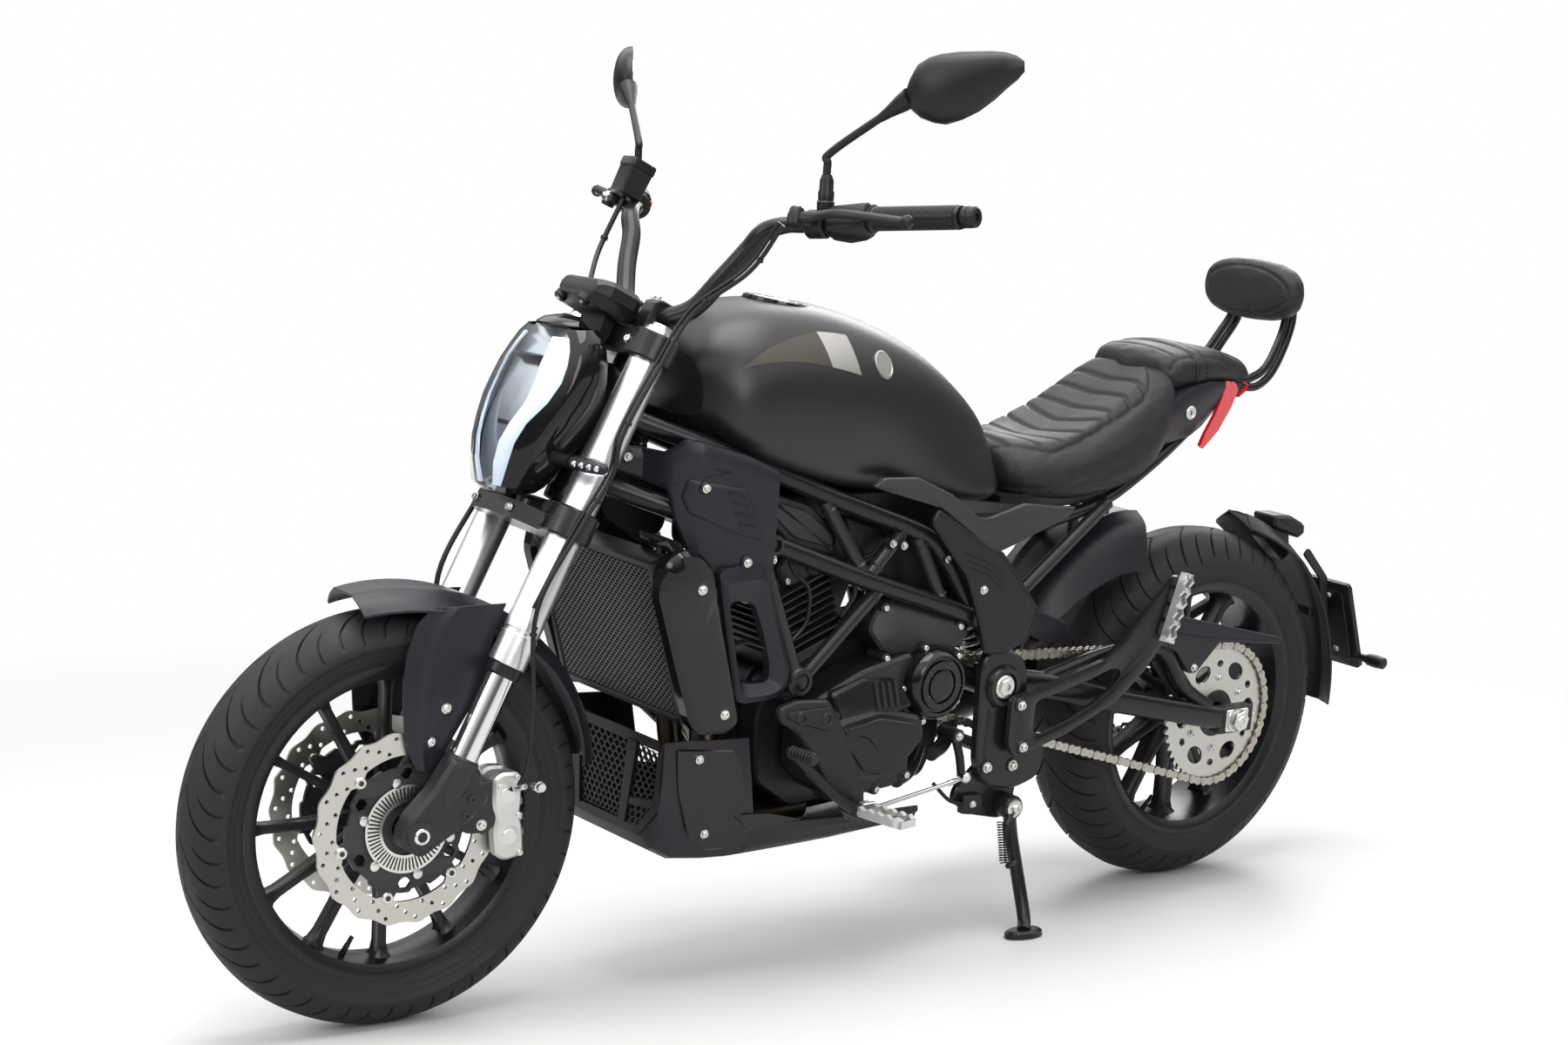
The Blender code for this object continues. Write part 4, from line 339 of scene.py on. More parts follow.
def cast_wheel(name, lip, hub, hub_half, place, body, spoke_wide, spoke_deep):
    """A cast wheel with its rim, hub, twelve spokes and valve, replacing its body's node."""
    bm = bmesh.new()
    rim = [(0.2266, lip), (0.2262, lip - 0.003), (0.2235, lip - 0.005), (0.216, lip - 0.0068),
           (0.215, lip * 0.62), (0.209, lip * 0.34), (0.209, -lip * 0.34), (0.215, -lip * 0.62),
           (0.216, -lip + 0.0068), (0.2235, -lip + 0.005), (0.2262, -lip + 0.003), (0.2266, -lip),
           (0.2235, -lip - 0.0008), (0.215, -lip + 0.001), (0.205, -lip * 0.86), (0.203, -lip * 0.4),
           (0.2, 0.0), (0.203, lip * 0.4), (0.205, lip * 0.86), (0.215, lip - 0.001), (0.2235, lip + 0.0008)]
    turned_part(bm, rim, 112)
    turned_part(bm, [(0.0132, hub_half), (hub * 0.72, hub_half), (hub * 0.76, hub_half - 0.003),
                     (hub * 0.8, hub_half * 0.45), (hub, hub_half * 0.32), (hub * 1.03, 0.0),
                     (hub, -hub_half * 0.32), (hub * 0.8, -hub_half * 0.45), (hub * 0.76, -hub_half + 0.003),
                     (hub * 0.72, -hub_half), (0.0132, -hub_half)], 48)
    for k in range(12):
        spin = Matrix.Rotation(math.pi * k / 6, 4, "Y")
        rows = []
        for r, wide, deep in ((hub * 0.86, 1.25, 1.0), (hub * 1.05, 1.0, 0.98), (0.09, 0.74, 0.88),
                              (0.14, 0.62, 0.78), (0.182, 0.66, 0.76), (0.196, 0.86, 0.9),
                              (0.2055, 1.45, 1.25)):
            w, d = spoke_wide * wide / 2, spoke_deep * deep
            ring = [(-d, -w * 0.55), (-d * 0.86, -w), (-d * 0.4, -w * 0.62), (d * 0.4, -w * 0.62),
                    (d * 0.86, -w), (d, -w * 0.55), (d, w * 0.55), (d * 0.86, w), (d * 0.4, w * 0.62),
                    (-d * 0.4, w * 0.62), (-d * 0.86, w), (-d, w * 0.55)]
            rows.append([spin @ Vector((r, y, z)) for y, z in ring])
        skin_rows(bm, rows)
    made = hung(name, bm, place, alloy_black, body, 34)
    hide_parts(body)
    valve = bmesh.new()
    a = math.radians(-72)
    foot = Vector((0.2035 * math.cos(a), 0.012, 0.2035 * math.sin(a)))
    inward = Vector((-math.cos(a), 0.42, -math.sin(a))).normalized()
    rod_along(valve, foot, foot + inward * 0.034, [(0, 0.0052), (0.35, 0.0042), (0.62, 0.004),
            (0.64, 0.0034), (1, 0.0034)], 12)
    hung(name + "_valve", valve, place, hose_rubber, body)


def rod_along(bm, start, end, steps, sides, look=0):
    """A turned rod between two points; steps are (share of its length, radius)."""
    start, end = Vector(start), Vector(end)
    axis = (end - start).normalized()
    side = axis.orthogonal().normalized()
    over = axis.cross(side)
    rows = []
    for share, r in steps:
        mid = start + (end - start) * share
        rows.append([mid + side * r * math.cos(a) + over * r * math.sin(a) for a in full_turn(sides)])
    skin_rows(bm, rows, look=look)


cast_wheel("wheel_front_cast", 0.045, 0.04, 0.0595, FRONT_WHEEL, "front_wheel", 0.02, 0.016)
cast_wheel("wheel_rear_cast", 0.0685, 0.052, 0.0775, REAR_WHEEL, "rear_wheel", 0.024, 0.022)


# Brake discs: laser-cut stainless bands with a scalloped rim and drilled holes, floating
# on black carriers by round bobbins; the left front one carries the slotted sensor ring.
zinc_bolt = coating("zinc_bolt", (0.6, 0.6, 0.58), 0.28, metal=1.0, grain=700, relief=0.03)
disc_steel = coating("disc_steel", (0.5, 0.49, 0.46), 0.34, metal=1.0, grain=900, relief=0.05)


def pressed(bm, outline, holes, middle, thick, look=0):
    """Stamp a flat (x, z) outline with holes out of sheet lying across Y."""
    curve = bpy.data.curves.new("blank", "CURVE")
    curve.dimensions = "2D"
    curve.fill_mode = "BOTH"
    curve.extrude = thick / 2
    for loop in [outline] + list(holes):
        spline = curve.splines.new("POLY")
        spline.points.add(len(loop) - 1)
        for k, (a, b) in enumerate(loop):
            spline.points[k].co = (a, b, 0, 1)
        spline.use_cyclic_u = True
    blank = bpy.data.objects.new("blank", curve)
    bpy.context.scene.collection.objects.link(blank)
    bpy.context.view_layer.update()
    sheet = bpy.data.meshes.new_from_object(blank.evaluated_get(bpy.context.evaluated_depsgraph_get()))
    bpy.data.objects.remove(blank)
    sheet.transform(Matrix(((1, 0, 0, 0), (0, 0, -1, middle), (0, 1, 0, 0), (0, 0, 0, 1))))
    first = len(bm.faces)
    bm.from_mesh(sheet)
    bm.faces.ensure_lookup_table()
    for face in bm.faces[first:]:
        face.material_index = look


def round_hole(x, z, r, sides):
    return [(x + r * math.cos(a), z + r * math.sin(a)) for a in full_turn(sides)]


def at_angle(r, degrees):
    """A spot (x, z) on a circle about the axle."""
    return r * math.cos(math.radians(degrees)), r * math.sin(math.radians(degrees))


carrier_black = coating("carrier_black", (0.016, 0.016, 0.017), 0.4, grain=1500, relief=0.1, rub=0.3)


def brake_disc(name, node, radius, band, y, inward, place, body, waves, ring=False):
    """A disc with waves lobes and its carrier; ring adds the slotted ring for the speed sensor."""
    bm = bmesh.new()
    outline = []
    for k in range(waves * 8):
        a = 2 * math.pi * k / (waves * 8)
        r = radius - 0.0052 * abs(math.sin(waves * a / 2)) ** 1.6 * 0.9
        outline.append((r * math.cos(a), r * math.sin(a)))
    inner = []
    for k in range(120):
        a = 360.0 * k / 120
        near = min(abs((a - 45 + 30) % 60 - 30), 30)
        r = radius - band - 0.012 * max(0.0, 1 - near / 7.5) ** 0.8 if near < 7.5 else radius - band
        inner.append(at_angle(r, a))
    drilled = []
    for k in range(waves * 3):
        a = 360.0 * k / (waves * 3) + 2
        drilled.append(round_hole(*at_angle(radius - 0.0095 - 0.0095 * (k % 3), a), 0.0032, 10))
    pressed(bm, outline, [inner] + drilled, y, 0.0046)
    windows = [[at_angle(r, 15 + 60 * k + d) for r, d in ((0.078, 7), (0.086, 12), (0.086, 19), (0.078, 22),
            (0.07, 19), (0.07, 12))] for k in range(6)]
    outer = []
    for k in range(144):
        a = 360.0 * k / 144
        near = abs((a - 45 + 30) % 60 - 30)
        outer.append(at_angle(radius - band - 0.0125 + (0.0105 if near < 7 else 0.0)
                              - (0.004 if near > 22 else 0), a))
    pressed(bm, outer, [round_hole(0, 0, 0.03, 32)] + windows, y - inward * 0.001, 0.0056, 1)
    turned_part(bm, [(0.0305, y), (0.0205, y), (0.0205, y - inward * 0.015), (0.0305, y - inward * 0.015)],
                40, look=1)
    for k in range(6):
        x, z = at_angle(radius - band - 0.0045, 45 + 60 * k)
        rod_along(bm, (x, y - 0.0062, z), (x, y + 0.0062, z),
                  [(0, 0.0072), (0.12, 0.0086), (0.88, 0.0086), (1, 0.0072)], 18, 2)
        rod_along(bm, (x, y - 0.0066, z), (x, y + 0.0066, z), [(0, 0.004), (1, 0.004)], 14, 1)
        x, z = at_angle(0.068 if ring else 0.046, 15 + 60 * k)
        rod_along(bm, (x, y, z), (x, y + inward * 0.0088, z),
                  [(0, 0.0078), (0.5, 0.0078), (0.9, 0.007), (1, 0.005)], 14, 2)
    if ring:
        slots = [[at_angle(r, 6.0 * k + d) for r, d in ((0.0415, -1.55), (0.0595, -1.25), (0.0595, 1.25),
                (0.0415, 1.55))] for k in range(60)]
        pressed(bm, round_hole(0, 0, 0.063, 90), [round_hole(0, 0, 0.0375, 60)] + slots,
                y + inward * 0.0048, 0.0016, 2)
    made = hung(name, bm, place, disc_steel, body, 30, (carrier_black, zinc_bolt))
    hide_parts(node)


brake_disc("disc_front_left_drilled", "front_disc_left", 0.1385, 0.034, 0.076, 1, FRONT_WHEEL,
           "front_wheel", 18, True)
brake_disc("disc_front_right_drilled", "front_disc_right", 0.1385, 0.034, -0.076, -1, FRONT_WHEEL,
           "front_wheel", 18)
brake_disc("disc_rear_drilled", "rear_disc", 0.12, 0.032, -0.106, -1, REAR_WHEEL, "rear_wheel", 15)

# Fork: silver anodised outer tubes with a turned sleeve and a dust seal, chromed inner
# tubes, and black cast feet that clamp the hollow axle and carry the calipers.
fork_silver = coating("fork_silver", (0.64, 0.64, 0.64), 0.34, metal=1.0, grain=500, relief=0.02, spread=0.05)
polished_steel = coating("polished_steel", (0.66, 0.66, 0.66), 0.1, metal=1.0, grain=400, relief=0.0,
                         spread=0.04)


def rounded_outline(points, radius, steps=4):
    """The outline with its corners rounded off."""
    out = []
    for k, p in enumerate(points):
        here = Vector(p)
        back = Vector(points[k - 1]) - here
        on = Vector(points[(k + 1) % len(points)]) - here
        a = here + back.normalized() * min(radius, back.length / 2.2)
        b = here + on.normalized() * min(radius, on.length / 2.2)
        for i in range(steps + 1):
            t = i / steps
            out.append(tuple(a * (1 - t) ** 2 + here * 2 * t * (1 - t) + b * t * t))
    return out


def inset(outline, by):
    """The outline drawn in by a small even amount."""
    area = sum(a[0] * b[1] - b[0] * a[1] for a, b in zip(outline, outline[1:] + outline[:1]))
    by = by if area > 0 else -by
    out = []
    for k, p in enumerate(outline):
        d = (Vector(outline[(k + 1) % len(outline)]) - Vector(outline[k - 1])).normalized()
        out.append((p[0] - d.y * by, p[1] + d.x * by))
    return out


def cast_plate(bm, outline, middle, thick, edge, look=0):
    """A plate across Y with its edges eased."""
    drawn = inset(outline, edge)
    rows = []
    for loop, y in ((drawn, -thick / 2), (outline, -thick / 2 + edge), (outline, thick / 2 - edge),
                    (drawn, thick / 2)):
        rows.append([(x, middle + y, z) for x, z in loop])
    skin_rows(bm, rows, look=look)


def bolt(bm, spot, way, size, look, washer=True):
    """A cap screw seated at a spot, its head standing along way, hollow in the middle."""
    spot, way = Vector(spot), Vector(way).normalized()
    if washer:
        rod_along(bm, spot - way * 0.001, spot + way * 0.0012,
                  [(0, size * 1.35), (0.9, size * 1.35), (1, size * 1.25)], 18, look)
    rod_along(bm, spot, spot + way * size * 0.95, [(0, size), (0.8, size), (1, size * 0.86),
            (1.0, size * 0.52), (0.55, size * 0.46)], 12, look)


def pipe(bm, route, radius, sides=18, look=0, steps=6):
    """A round tube along a route, its ends closed; a pair of radii tapers it."""
    pts = curve_through(route, steps) if len(route) > 2 else [Vector(p) for p in route]
    rows = []
    across = None
    for k, p in enumerate(pts):
        way = (pts[min(k + 1, len(pts) - 1)] - pts[max(k - 1, 0)]).normalized()
        if across is None:
            across = way.cross(Vector((0.13, 0.31, 0.94))).normalized()
        across = (across - way * across.dot(way)).normalized()
        over = way.cross(across)
        size = radius[0] + (radius[1] - radius[0]) * k / (len(pts) - 1) if isinstance(radius,
                tuple) else radius
        rows.append([p + across * size * math.cos(a) + over * size * math.sin(a) for a in full_turn(sides)])
    skin_rows(bm, rows, look=look)


# Where the legs stand, ahead of the steering axis and out to each side.
LEG_U = 0.03
LEG_Y = 0.108


def fork_leg(side, name):
    bm = bmesh.new()
    y = side * LEG_Y
    rod_along(bm, (LEG_U, y, 0.7865), (LEG_U, y, 0.262), [(0, 0.009), (0.001, 0.015), (0.012, 0.0165),
            (0.013, 0.0215), (0.022, 0.023), (0.024, 0.0254), (0.16, 0.0256), (0.162, 0.026),
            (0.862, 0.026), (0.866, 0.0266), (0.9, 0.0266), (0.903, 0.0256), (0.912, 0.0256),
            (0.915, 0.027), (0.96, 0.0274), (0.997, 0.0274), (1, 0.0262)], 40)
    rod_along(bm, (LEG_U, y, 0.262), (LEG_U, y, 0.2445), [(0, 0.024), (0.1, 0.025), (0.8, 0.0246),
            (1, 0.0222)], 40, 1)
    rod_along(bm, (LEG_U, y, 0.252), (LEG_U, y, 0.1), [(0, 0.0204), (1, 0.0204)], 40, 2)
    foot = rounded_outline([(0.008, 0.118), (0.052, 0.118), (0.06, 0.062), (0.076, 0.014), (0.07, -0.024),
                            (0.032, -0.028), (0.014, 0.0), (-0.012, 0.04), (-0.028, 0.084), (-0.01, 0.096)],
                           0.01)
    cast_plate(bm, foot, side * 0.1085, 0.038, 0.006, 3)
    rod_along(bm, (LEG_U, y, 0.1215), (LEG_U, y, 0.05), [(0, 0.0215), (0.04, 0.0245), (0.6, 0.025),
            (1, 0.02)], 32, 3)
    rod_along(bm, (FORK_OFFSET, side * 0.088, 0), (FORK_OFFSET, side * 0.13, 0),
              [(0, 0.023), (0.85, 0.0225), (1, 0.0205)], 36, 3)
    for w in (0.034, 0.058):
        bolt(bm, (-0.004 + w * 0.1, side * 0.1278, w + 0.016), (0, side, 0), 0.0048, 3)
    made = hung(name, bm, FORK, fork_silver, "steering", 30,
                (hose_rubber, polished_steel, carrier_black, zinc_bolt))
    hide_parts("fork_leg_left" if side > 0 else "fork_leg_right")


fork_leg(1, "fork_leg_left_dressed")
fork_leg(-1, "fork_leg_right_dressed")

# Front axle: a hollow steel tube clamped in the fork feet, turned, with its ends left open
# and chamfered.
bm = bmesh.new()
bore = [(0.0074, -0.1315), (0.0106, -0.132), (0.0118, -0.1305), (0.0118, 0.1305), (0.0106, 0.132),
        (0.0074, 0.1315), (0.0074, 0.112), (0.001, 0.112), (0.001, -0.112), (0.0074, -0.112)]
turned_part(bm, bore, 36)
bm.transform(Matrix.Translation((FORK_OFFSET, 0, 0)))
made = hung("front_axle_hollow", bm, FORK, polished_steel, "steering", 30)
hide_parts("front_axle")

# Fork clamps: black cast bridges above and below the steering head, split at the legs
# and drawn up with zinc screws, on a steel stem; the upper one carries the ignition lock.
frame_paint = coating("frame_paint", (0.009, 0.009, 0.0095), 0.25, grain=1400, relief=0.06, rub=0.25)
CLAMP_EDGE = 0.003


def clamp_bridge(bm, w, thick, waist):
    """A clamp's body round both legs at a height w, waisted behind the steering axis."""
    half = [(0.058, 0.0), (0.054, 0.052), (0.061, 0.082), (0.064, 0.108)]
    for k in range(9):
        a = math.radians(10 + 160 * k / 8)
        half.append((LEG_U + 0.0345 * math.cos(a), LEG_Y + 0.0365 * math.sin(a)))
    half += [(-0.003, 0.094), (waist - 0.006, 0.045), (waist - 0.01, 0.0)]
    loop = half + [(a, -b) for a, b in reversed(half[1:-1])]
    start = w - thick / 2
    drawn = inset(loop, CLAMP_EDGE)
    skin_rows(bm, [[(a, b, h) for a, b in line] for line, h in ((drawn, start), (loop, start + CLAMP_EDGE),
            (loop, start + thick - CLAMP_EDGE), (drawn, start + thick))])


bm = bmesh.new()
clamp_bridge(bm, 0.477, 0.0438, -0.018)
clamp_bridge(bm, 0.75, 0.04, -0.02)
rod_along(bm, (0, 0, 0.462), (0, 0, 0.776), [(0, 0.012), (0.01, 0.0164), (0.99, 0.0164), (1, 0.012)], 24)
for s in (1, -1):
    for w in (0.467, 0.487):
        bolt(bm, (0.06, s * 0.082, w), (0.95, s * 0.3, 0), 0.0055, 1)
        rod_along(bm, (0.052, s * 0.0865, w), (0.068, s * 0.0885, w), [(0, 0.009), (1, 0.009)], 16)
    bolt(bm, (0.061, s * 0.088, 0.75), (0.95, s * 0.3, 0), 0.005, 1)
    rod_along(bm, (LEG_U, s * LEG_Y, 0.766), (LEG_U, s * LEG_Y, 0.7705),
              [(0, 0.0345), (0.8, 0.0345), (1, 0.0325)], 40)
rod_along(bm, (0, 0, 0.77), (0, 0, 0.7845), [(0, 0.015), (0.2, 0.017), (1, 0.0165)], 6, 1)
rod_along(bm, (-0.028, 0.0, 0.757), (-0.034, 0.0, 0.783), [(0, 0.016), (0.9, 0.017), (1, 0.015), (1, 0.006),
        (0.8, 0.005)], 28)
made = hung("fork_clamps_dressed", bm, FORK, frame_paint, "steering", 32, (zinc_bolt,))
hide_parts("fork_clamps")

# Front calipers: silver cast monoblocks with four bores, bridge ribs and black pad pins,
# screwed to the fork feet behind the legs; a steel banjo feeds each from its hose.
cast_silver = coating("cast_silver", (0.58, 0.58, 0.57), 0.4, metal=0.85, grain=1300, relief=0.3, spread=0.1)


def front_caliper(side, name):
    bm = bmesh.new()
    body = rounded_outline([(-0.0255, -0.06), (0.004, -0.064), (0.018, -0.056), (0.02, -0.016), (0.014, 0.0),
                            (0.02, 0.016), (0.018, 0.056), (0.004, 0.064), (-0.0255, 0.06), (-0.0255, 0.02),
                            (-0.0215, 0.0), (-0.0255, -0.02)], 0.008, 3)
    for y0, y1 in ((0.01, 0.033), (-0.033, -0.01)):
        cast_plate(bm, body, (y0 + y1) / 2, y1 - y0, 0.004)
    cast_plate(bm, rounded_outline([(-0.0258, -0.058), (-0.016, -0.06), (-0.016, 0.06), (-0.0258, 0.058)],
                                   0.004, 2), 0.0, 0.05, 0.002)
    for z in (-0.034, -0.011, 0.011, 0.034):
        rod_along(bm, (-0.0265, 0, z - 0.0035), (-0.0265, 0, z + 0.0035), [(0, 0.014), (1, 0.014)], 20)
    for s in (1, -1):
        for z in (-0.03, 0.03):
            rod_along(bm, (-0.003, s * 0.031, z), (-0.003, s * 0.0338, z),
                      [(0, 0.0185), (0.6, 0.018), (1, 0.015)], 32)
            rod_along(bm, (-0.003, s * 0.0335, z), (-0.003, s * 0.0342, z), [(0, 0.012), (1, 0.011)], 28, 1)
        for z in (-0.055, 0.055, 0.0):
            bolt(bm, (-0.018, s * 0.0325, z), (0, s, 0), 0.0045, 1, washer=False)
    rod_along(bm, (-0.01, -0.03, 0.0), (-0.01, 0.03, 0.0), [(0, 0.0032), (1, 0.0032)], 12, 2)
    bm.transform(Matrix.Translation((0, side * 0.076, 0)) @ Matrix.Diagonal((-1, 1, 1, 1)))
    bm.transform(Matrix.Translation((FORK_OFFSET - 0.1214, 0, 0.0704)) @ Matrix.Rotation(math.radians(210),
            4, "Y"))
    lugs = rounded_outline([(-0.06, 0.04), (-0.024, 0.024), (0.0, 0.06), (-0.012, 0.098), (-0.05, 0.118),
                            (-0.07, 0.09)], 0.01, 3)
    cast_plate(bm, lugs, side * 0.0985, 0.012, 0.002, 3)
    for a, b in ((-0.044, 0.046), (-0.046, 0.104)):
        bolt(bm, (a, side * 0.104, b), (0, side, 0), 0.006, 1)
    top = Vector((-0.1005, side * 0.1125, 0.127))
    rod_along(bm, top - Vector((0, side * 0.022, 0)), top + Vector((0, side * 0.006, 0)),
              [(0, 0.0055), (0.4, 0.0055), (0.42, 0.0085), (0.75, 0.0085), (0.77, 0.0068), (1, 0.0062)], 12,
              1)
    made = hung(name, bm, FORK, cast_silver, "steering", 32, (zinc_bolt, carrier_black, carrier_black))
    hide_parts("front_caliper_left" if side > 0 else "front_caliper_right")


front_caliper(1, "front_caliper_left_dressed")
front_caliper(-1, "front_caliper_right_dressed")

# Front fender: moulded in satin black, a ridged blade over the tyre with two side cheeks,
# each screwed to the fork leg twice.
violet_black = coating("violet_black", (0.014, 0.0128, 0.0172), 0.36, grain=2600, relief=0.14, spread=0.08)
bm = bmesh.new()
rows = []
for k in range(33):
    t = k / 32
    a = math.radians(5 + 92 * t)
    narrow = 1.0 if t > 0.35 else 0.52 + 0.48 * (t / 0.35) ** 0.7
    tail = 1.0 - 0.18 * max(0.0, (t - 0.75) / 0.25) ** 2
    row = []
    for q in range(25):
        s = q / 12 - 1
        r = 0.3325 - 0.027 * abs(s) ** 3.2 + 0.0032 * max(0.0, 1 - abs(abs(s) - 0.46) / 0.1)
        row.append((r, 0.0755 * s * narrow * tail))
    back = math.pi - math.radians(5) - a
    rows.append([(WHEELBASE + r * math.cos(back), y, FRONT_AXLE_Z + r * math.sin(back)) for r, y in row])
inside = [[(WHEELBASE + (x - WHEELBASE) * 0.9885, y * 0.975, FRONT_AXLE_Z + (z - FRONT_AXLE_Z) * 0.9885)
           for x, y, z in row] for row in rows]
skin_rows(bm, [a + list(reversed(b)) for a, b in zip(rows, inside)])
for s in (1, -1):
    rows = []
    for front, rear, z, y in ((1.566, 1.452, 0.607, 0.0715), (1.59, 1.464, 0.585, 0.0745),
                              (1.604, 1.476, 0.548, 0.0762), (1.611, 1.488, 0.512, 0.08),
                              (1.613, 1.505, 0.474, 0.0866), (1.61, 1.53, 0.436, 0.0872),
                              (1.602, 1.55, 0.404, 0.0872), (1.59, 1.562, 0.382, 0.0868)):
        line = []
        for q in range(13):
            t = q / 12
            x = front + (rear - front) * t
            crease = 0.0042 * max(0.0, 1 - abs(t - 0.36) / 0.14) + 0.0022 * (1 - (2 * t - 1) ** 2)
            line.append((x, s * (y + crease), z))
        rows.append(line + [(x, s * (abs(py) - 0.0032), z) for x, py, z in reversed(line)])
    skin_rows(bm, rows)
    for x, z in ((1.549, 0.468), (1.572, 0.422)):
        rod_along(bm, (x, s * 0.0872, z), (x, s * 0.0905, z),
                  [(0, 0.0135), (0.4, 0.013), (0.7, 0.0105), (0.7, 0.0085), (0.2, 0.008)], 26)
        bolt(bm, (x, s * 0.0885, z), (0, s, 0), 0.0056, 1)
made = hung("front_fender_moulded", bm, STRAIGHT, violet_black, "steering", 24, (zinc_bolt,))
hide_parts("front_fender")

# Headlamp shell: moulded gloss black plastic with a visor above, carried on a stem from the
# lower clamp, with an indicator on a stalk through each side.
gloss_black = coating("gloss_black", (0.006, 0.006, 0.007), 0.07, spread=0.03, relief=0.0, sheen=0.34)
plain_black = coating("plain_black", (0.0085, 0.0085, 0.009), 0.36, grain=2200, relief=0.1, spread=0.1)
glass_clear = bpy.data.materials.new("glass_clear")
glass_clear.use_nodes = True
tree = glass_clear.node_tree
shader = tree.nodes["Principled BSDF"]
shader.inputs["Base Color"].default_value = (0.93, 0.96, 0.98, 1)
shader.inputs["Transmission Weight"].default_value = 1.0
shader.inputs["IOR"].default_value = 1.12
waves = tree.nodes.new("ShaderNodeTexNoise")
waves.inputs["Scale"].default_value = 30.0
dull = tree.nodes.new("ShaderNodeMapRange")
dull.inputs["To Min"].default_value, dull.inputs["To Max"].default_value = 0.02, 0.06
tree.links.new(waves.outputs["Fac"], dull.inputs["Value"])
tree.links.new(dull.outputs["Result"], shader.inputs["Roughness"])
opal = coating("opal_guide", (0.72, 0.78, 0.9), 0.26, relief=0.0, sheen=0.4)
bowl_grey = coating("bowl_grey", (0.42, 0.44, 0.46), 0.2, metal=0.85, relief=0.0, spread=0.06)
mirror_silver = coating("mirror_silver", (0.8, 0.82, 0.84), 0.08, metal=1.0, relief=0.0, spread=0.03)

# Rows up the lamp: height, half width, and how far forward its face, its edge and its back lie;
# the lens reaches over this share of the half width at each height.
lamp_shape = ((0.758, 0.054, 1.45, 1.438, 1.392), (0.768, 0.066, 1.461, 1.44, 1.382),
              (0.8, 0.079, 1.466, 1.428, 1.358), (0.832, 0.089, 1.464, 1.415, 1.336),
              (0.86, 0.097, 1.457, 1.402, 1.319), (0.89, 0.102, 1.447, 1.389, 1.31),
              (0.918, 0.103, 1.433, 1.376, 1.307), (0.942, 0.101, 1.419, 1.368, 1.306),
              (0.962, 0.096, 1.403, 1.362, 1.306), (0.978, 0.088, 1.389, 1.358, 1.308),
              (0.99, 0.076, 1.376, 1.354, 1.312))
lens_reach = {0.758: 0.5, 0.768: 0.66, 0.8: 0.7, 0.832: 0.7, 0.86: 0.74, 0.89: 0.86, 0.918: 0.9, 0.942: 0.9,
              0.962: 0.88, 0.978: 0.84, 0.99: 0.7}


def lamp_face(row, s, sink=0.0):
    """A spot on the lamp's rounded face: s runs from -1 to 1 across it."""
    z, half, front, edge = row[:4]
    return (edge + (front - edge) * (1 - abs(s) ** 2.4) - sink, (half - sink * 0.3) * s, z)


bm = bmesh.new()
rows = []
for row in lamp_shape:
    z, half, front, edge, rear = row
    reach = lens_reach[z]
    outside = [lamp_face(row, reach + (1 - reach) * k / 4) for k in range(5)]
    outside += [(edge - 0.012, half * 1.005, z), ((edge + rear) / 2, half * 0.99, z),
                (rear + 0.01, half * 0.91, z), (rear + 0.001, half * 0.7, z), (rear, half * 0.4, z)]
    inside = [(rear + 0.005, half * 0.4, z), (rear + 0.014, half * 0.82, z), (edge - 0.01, half * 0.95, z),
              lamp_face(row, reach + (1 - reach) * 0.6, 0.004), lamp_face(row, reach, 0.0035)]
    loop = outside + [(x, -y, z) for x, y, z in reversed(outside)]
    back = [(x, -y, z) for x, y, z in reversed(inside)] + [(x, y, z) for x, y, z in inside]
    rows.append(loop + back)
skin_rows(bm, rows)
visor = []
for front, rear, half, z in ((1.3605, 1.328, 0.058, 0.984), (1.368, 1.326, 0.06, 0.9905),
                             (1.3745, 1.328, 0.057, 0.9935), (1.374, 1.33, 0.054, 0.9965),
                             (1.366, 1.333, 0.046, 1.002), (1.356, 1.337, 0.032, 1.0045)):
    visor.append([(front - 0.03 * abs(s) ** 2.2, half * s, z) for s in [k / 6 - 1 for k in range(13)]]
                 + [(rear, half * 0.9, z), (rear, -half * 0.9, z)])
skin_rows(bm, visor)
rod_along(bm, (1.426, 0, 0.722), (1.41, 0, 0.79), [(0, 0.014), (1, 0.014)], 20, 1)
for s in (1, -1):
    rod_along(bm, (1.395, s * 0.045, 0.815), (1.386, s * 0.124, 0.812),
              [(0, 0.012), (0.45, 0.0105), (0.55, 0.0085), (0.9, 0.008), (1, 0.01)], 20, 1)
    rod_along(bm, (1.386, s * 0.124, 0.812), (1.3585, s * 0.1755, 0.806),
              [(0, 0.006), (0.05, 0.0085), (0.55, 0.0086), (0.92, 0.007), (1, 0.004)], 24, 1)
    rod_along(bm, (1.384, s * 0.0845, 0.815), (1.398, s * 0.086, 0.818), [(0, 0.006), (1, 0.0055)], 16, 1)
made = hung("headlamp_shell", bm, STRAIGHT, gloss_black, "steering", 40, (plain_black,))
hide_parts("headlamp_housing")

# Headlamp and indicator lenses: clear plastic, moulded in one thickness and bonded into the
# edge of the shell and over the end of each stalk.
bm = bmesh.new()
rows = []
for row in lamp_shape:
    reach = lens_reach[row[0]] + 0.01
    rows.append([lamp_face(row, reach * (k / 8 - 1), -0.0012) for k in range(17)]
                + [lamp_face(row, reach * (1 - k / 8), 0.0012) for k in range(17)])
skin_rows(bm, rows)
for s in (1, -1):
    rod_along(bm, (1.388, s * 0.122, 0.8125), (1.358, s * 0.177, 0.806),
              [(0, 0.004), (0.03, 0.0095), (0.3, 0.0118), (0.7, 0.0118), (0.94, 0.0088), (1, 0.003)], 28)
made = hung("headlamp_glass", bm, STRAIGHT, glass_clear, "steering", 40)
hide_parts("headlamp_lens")

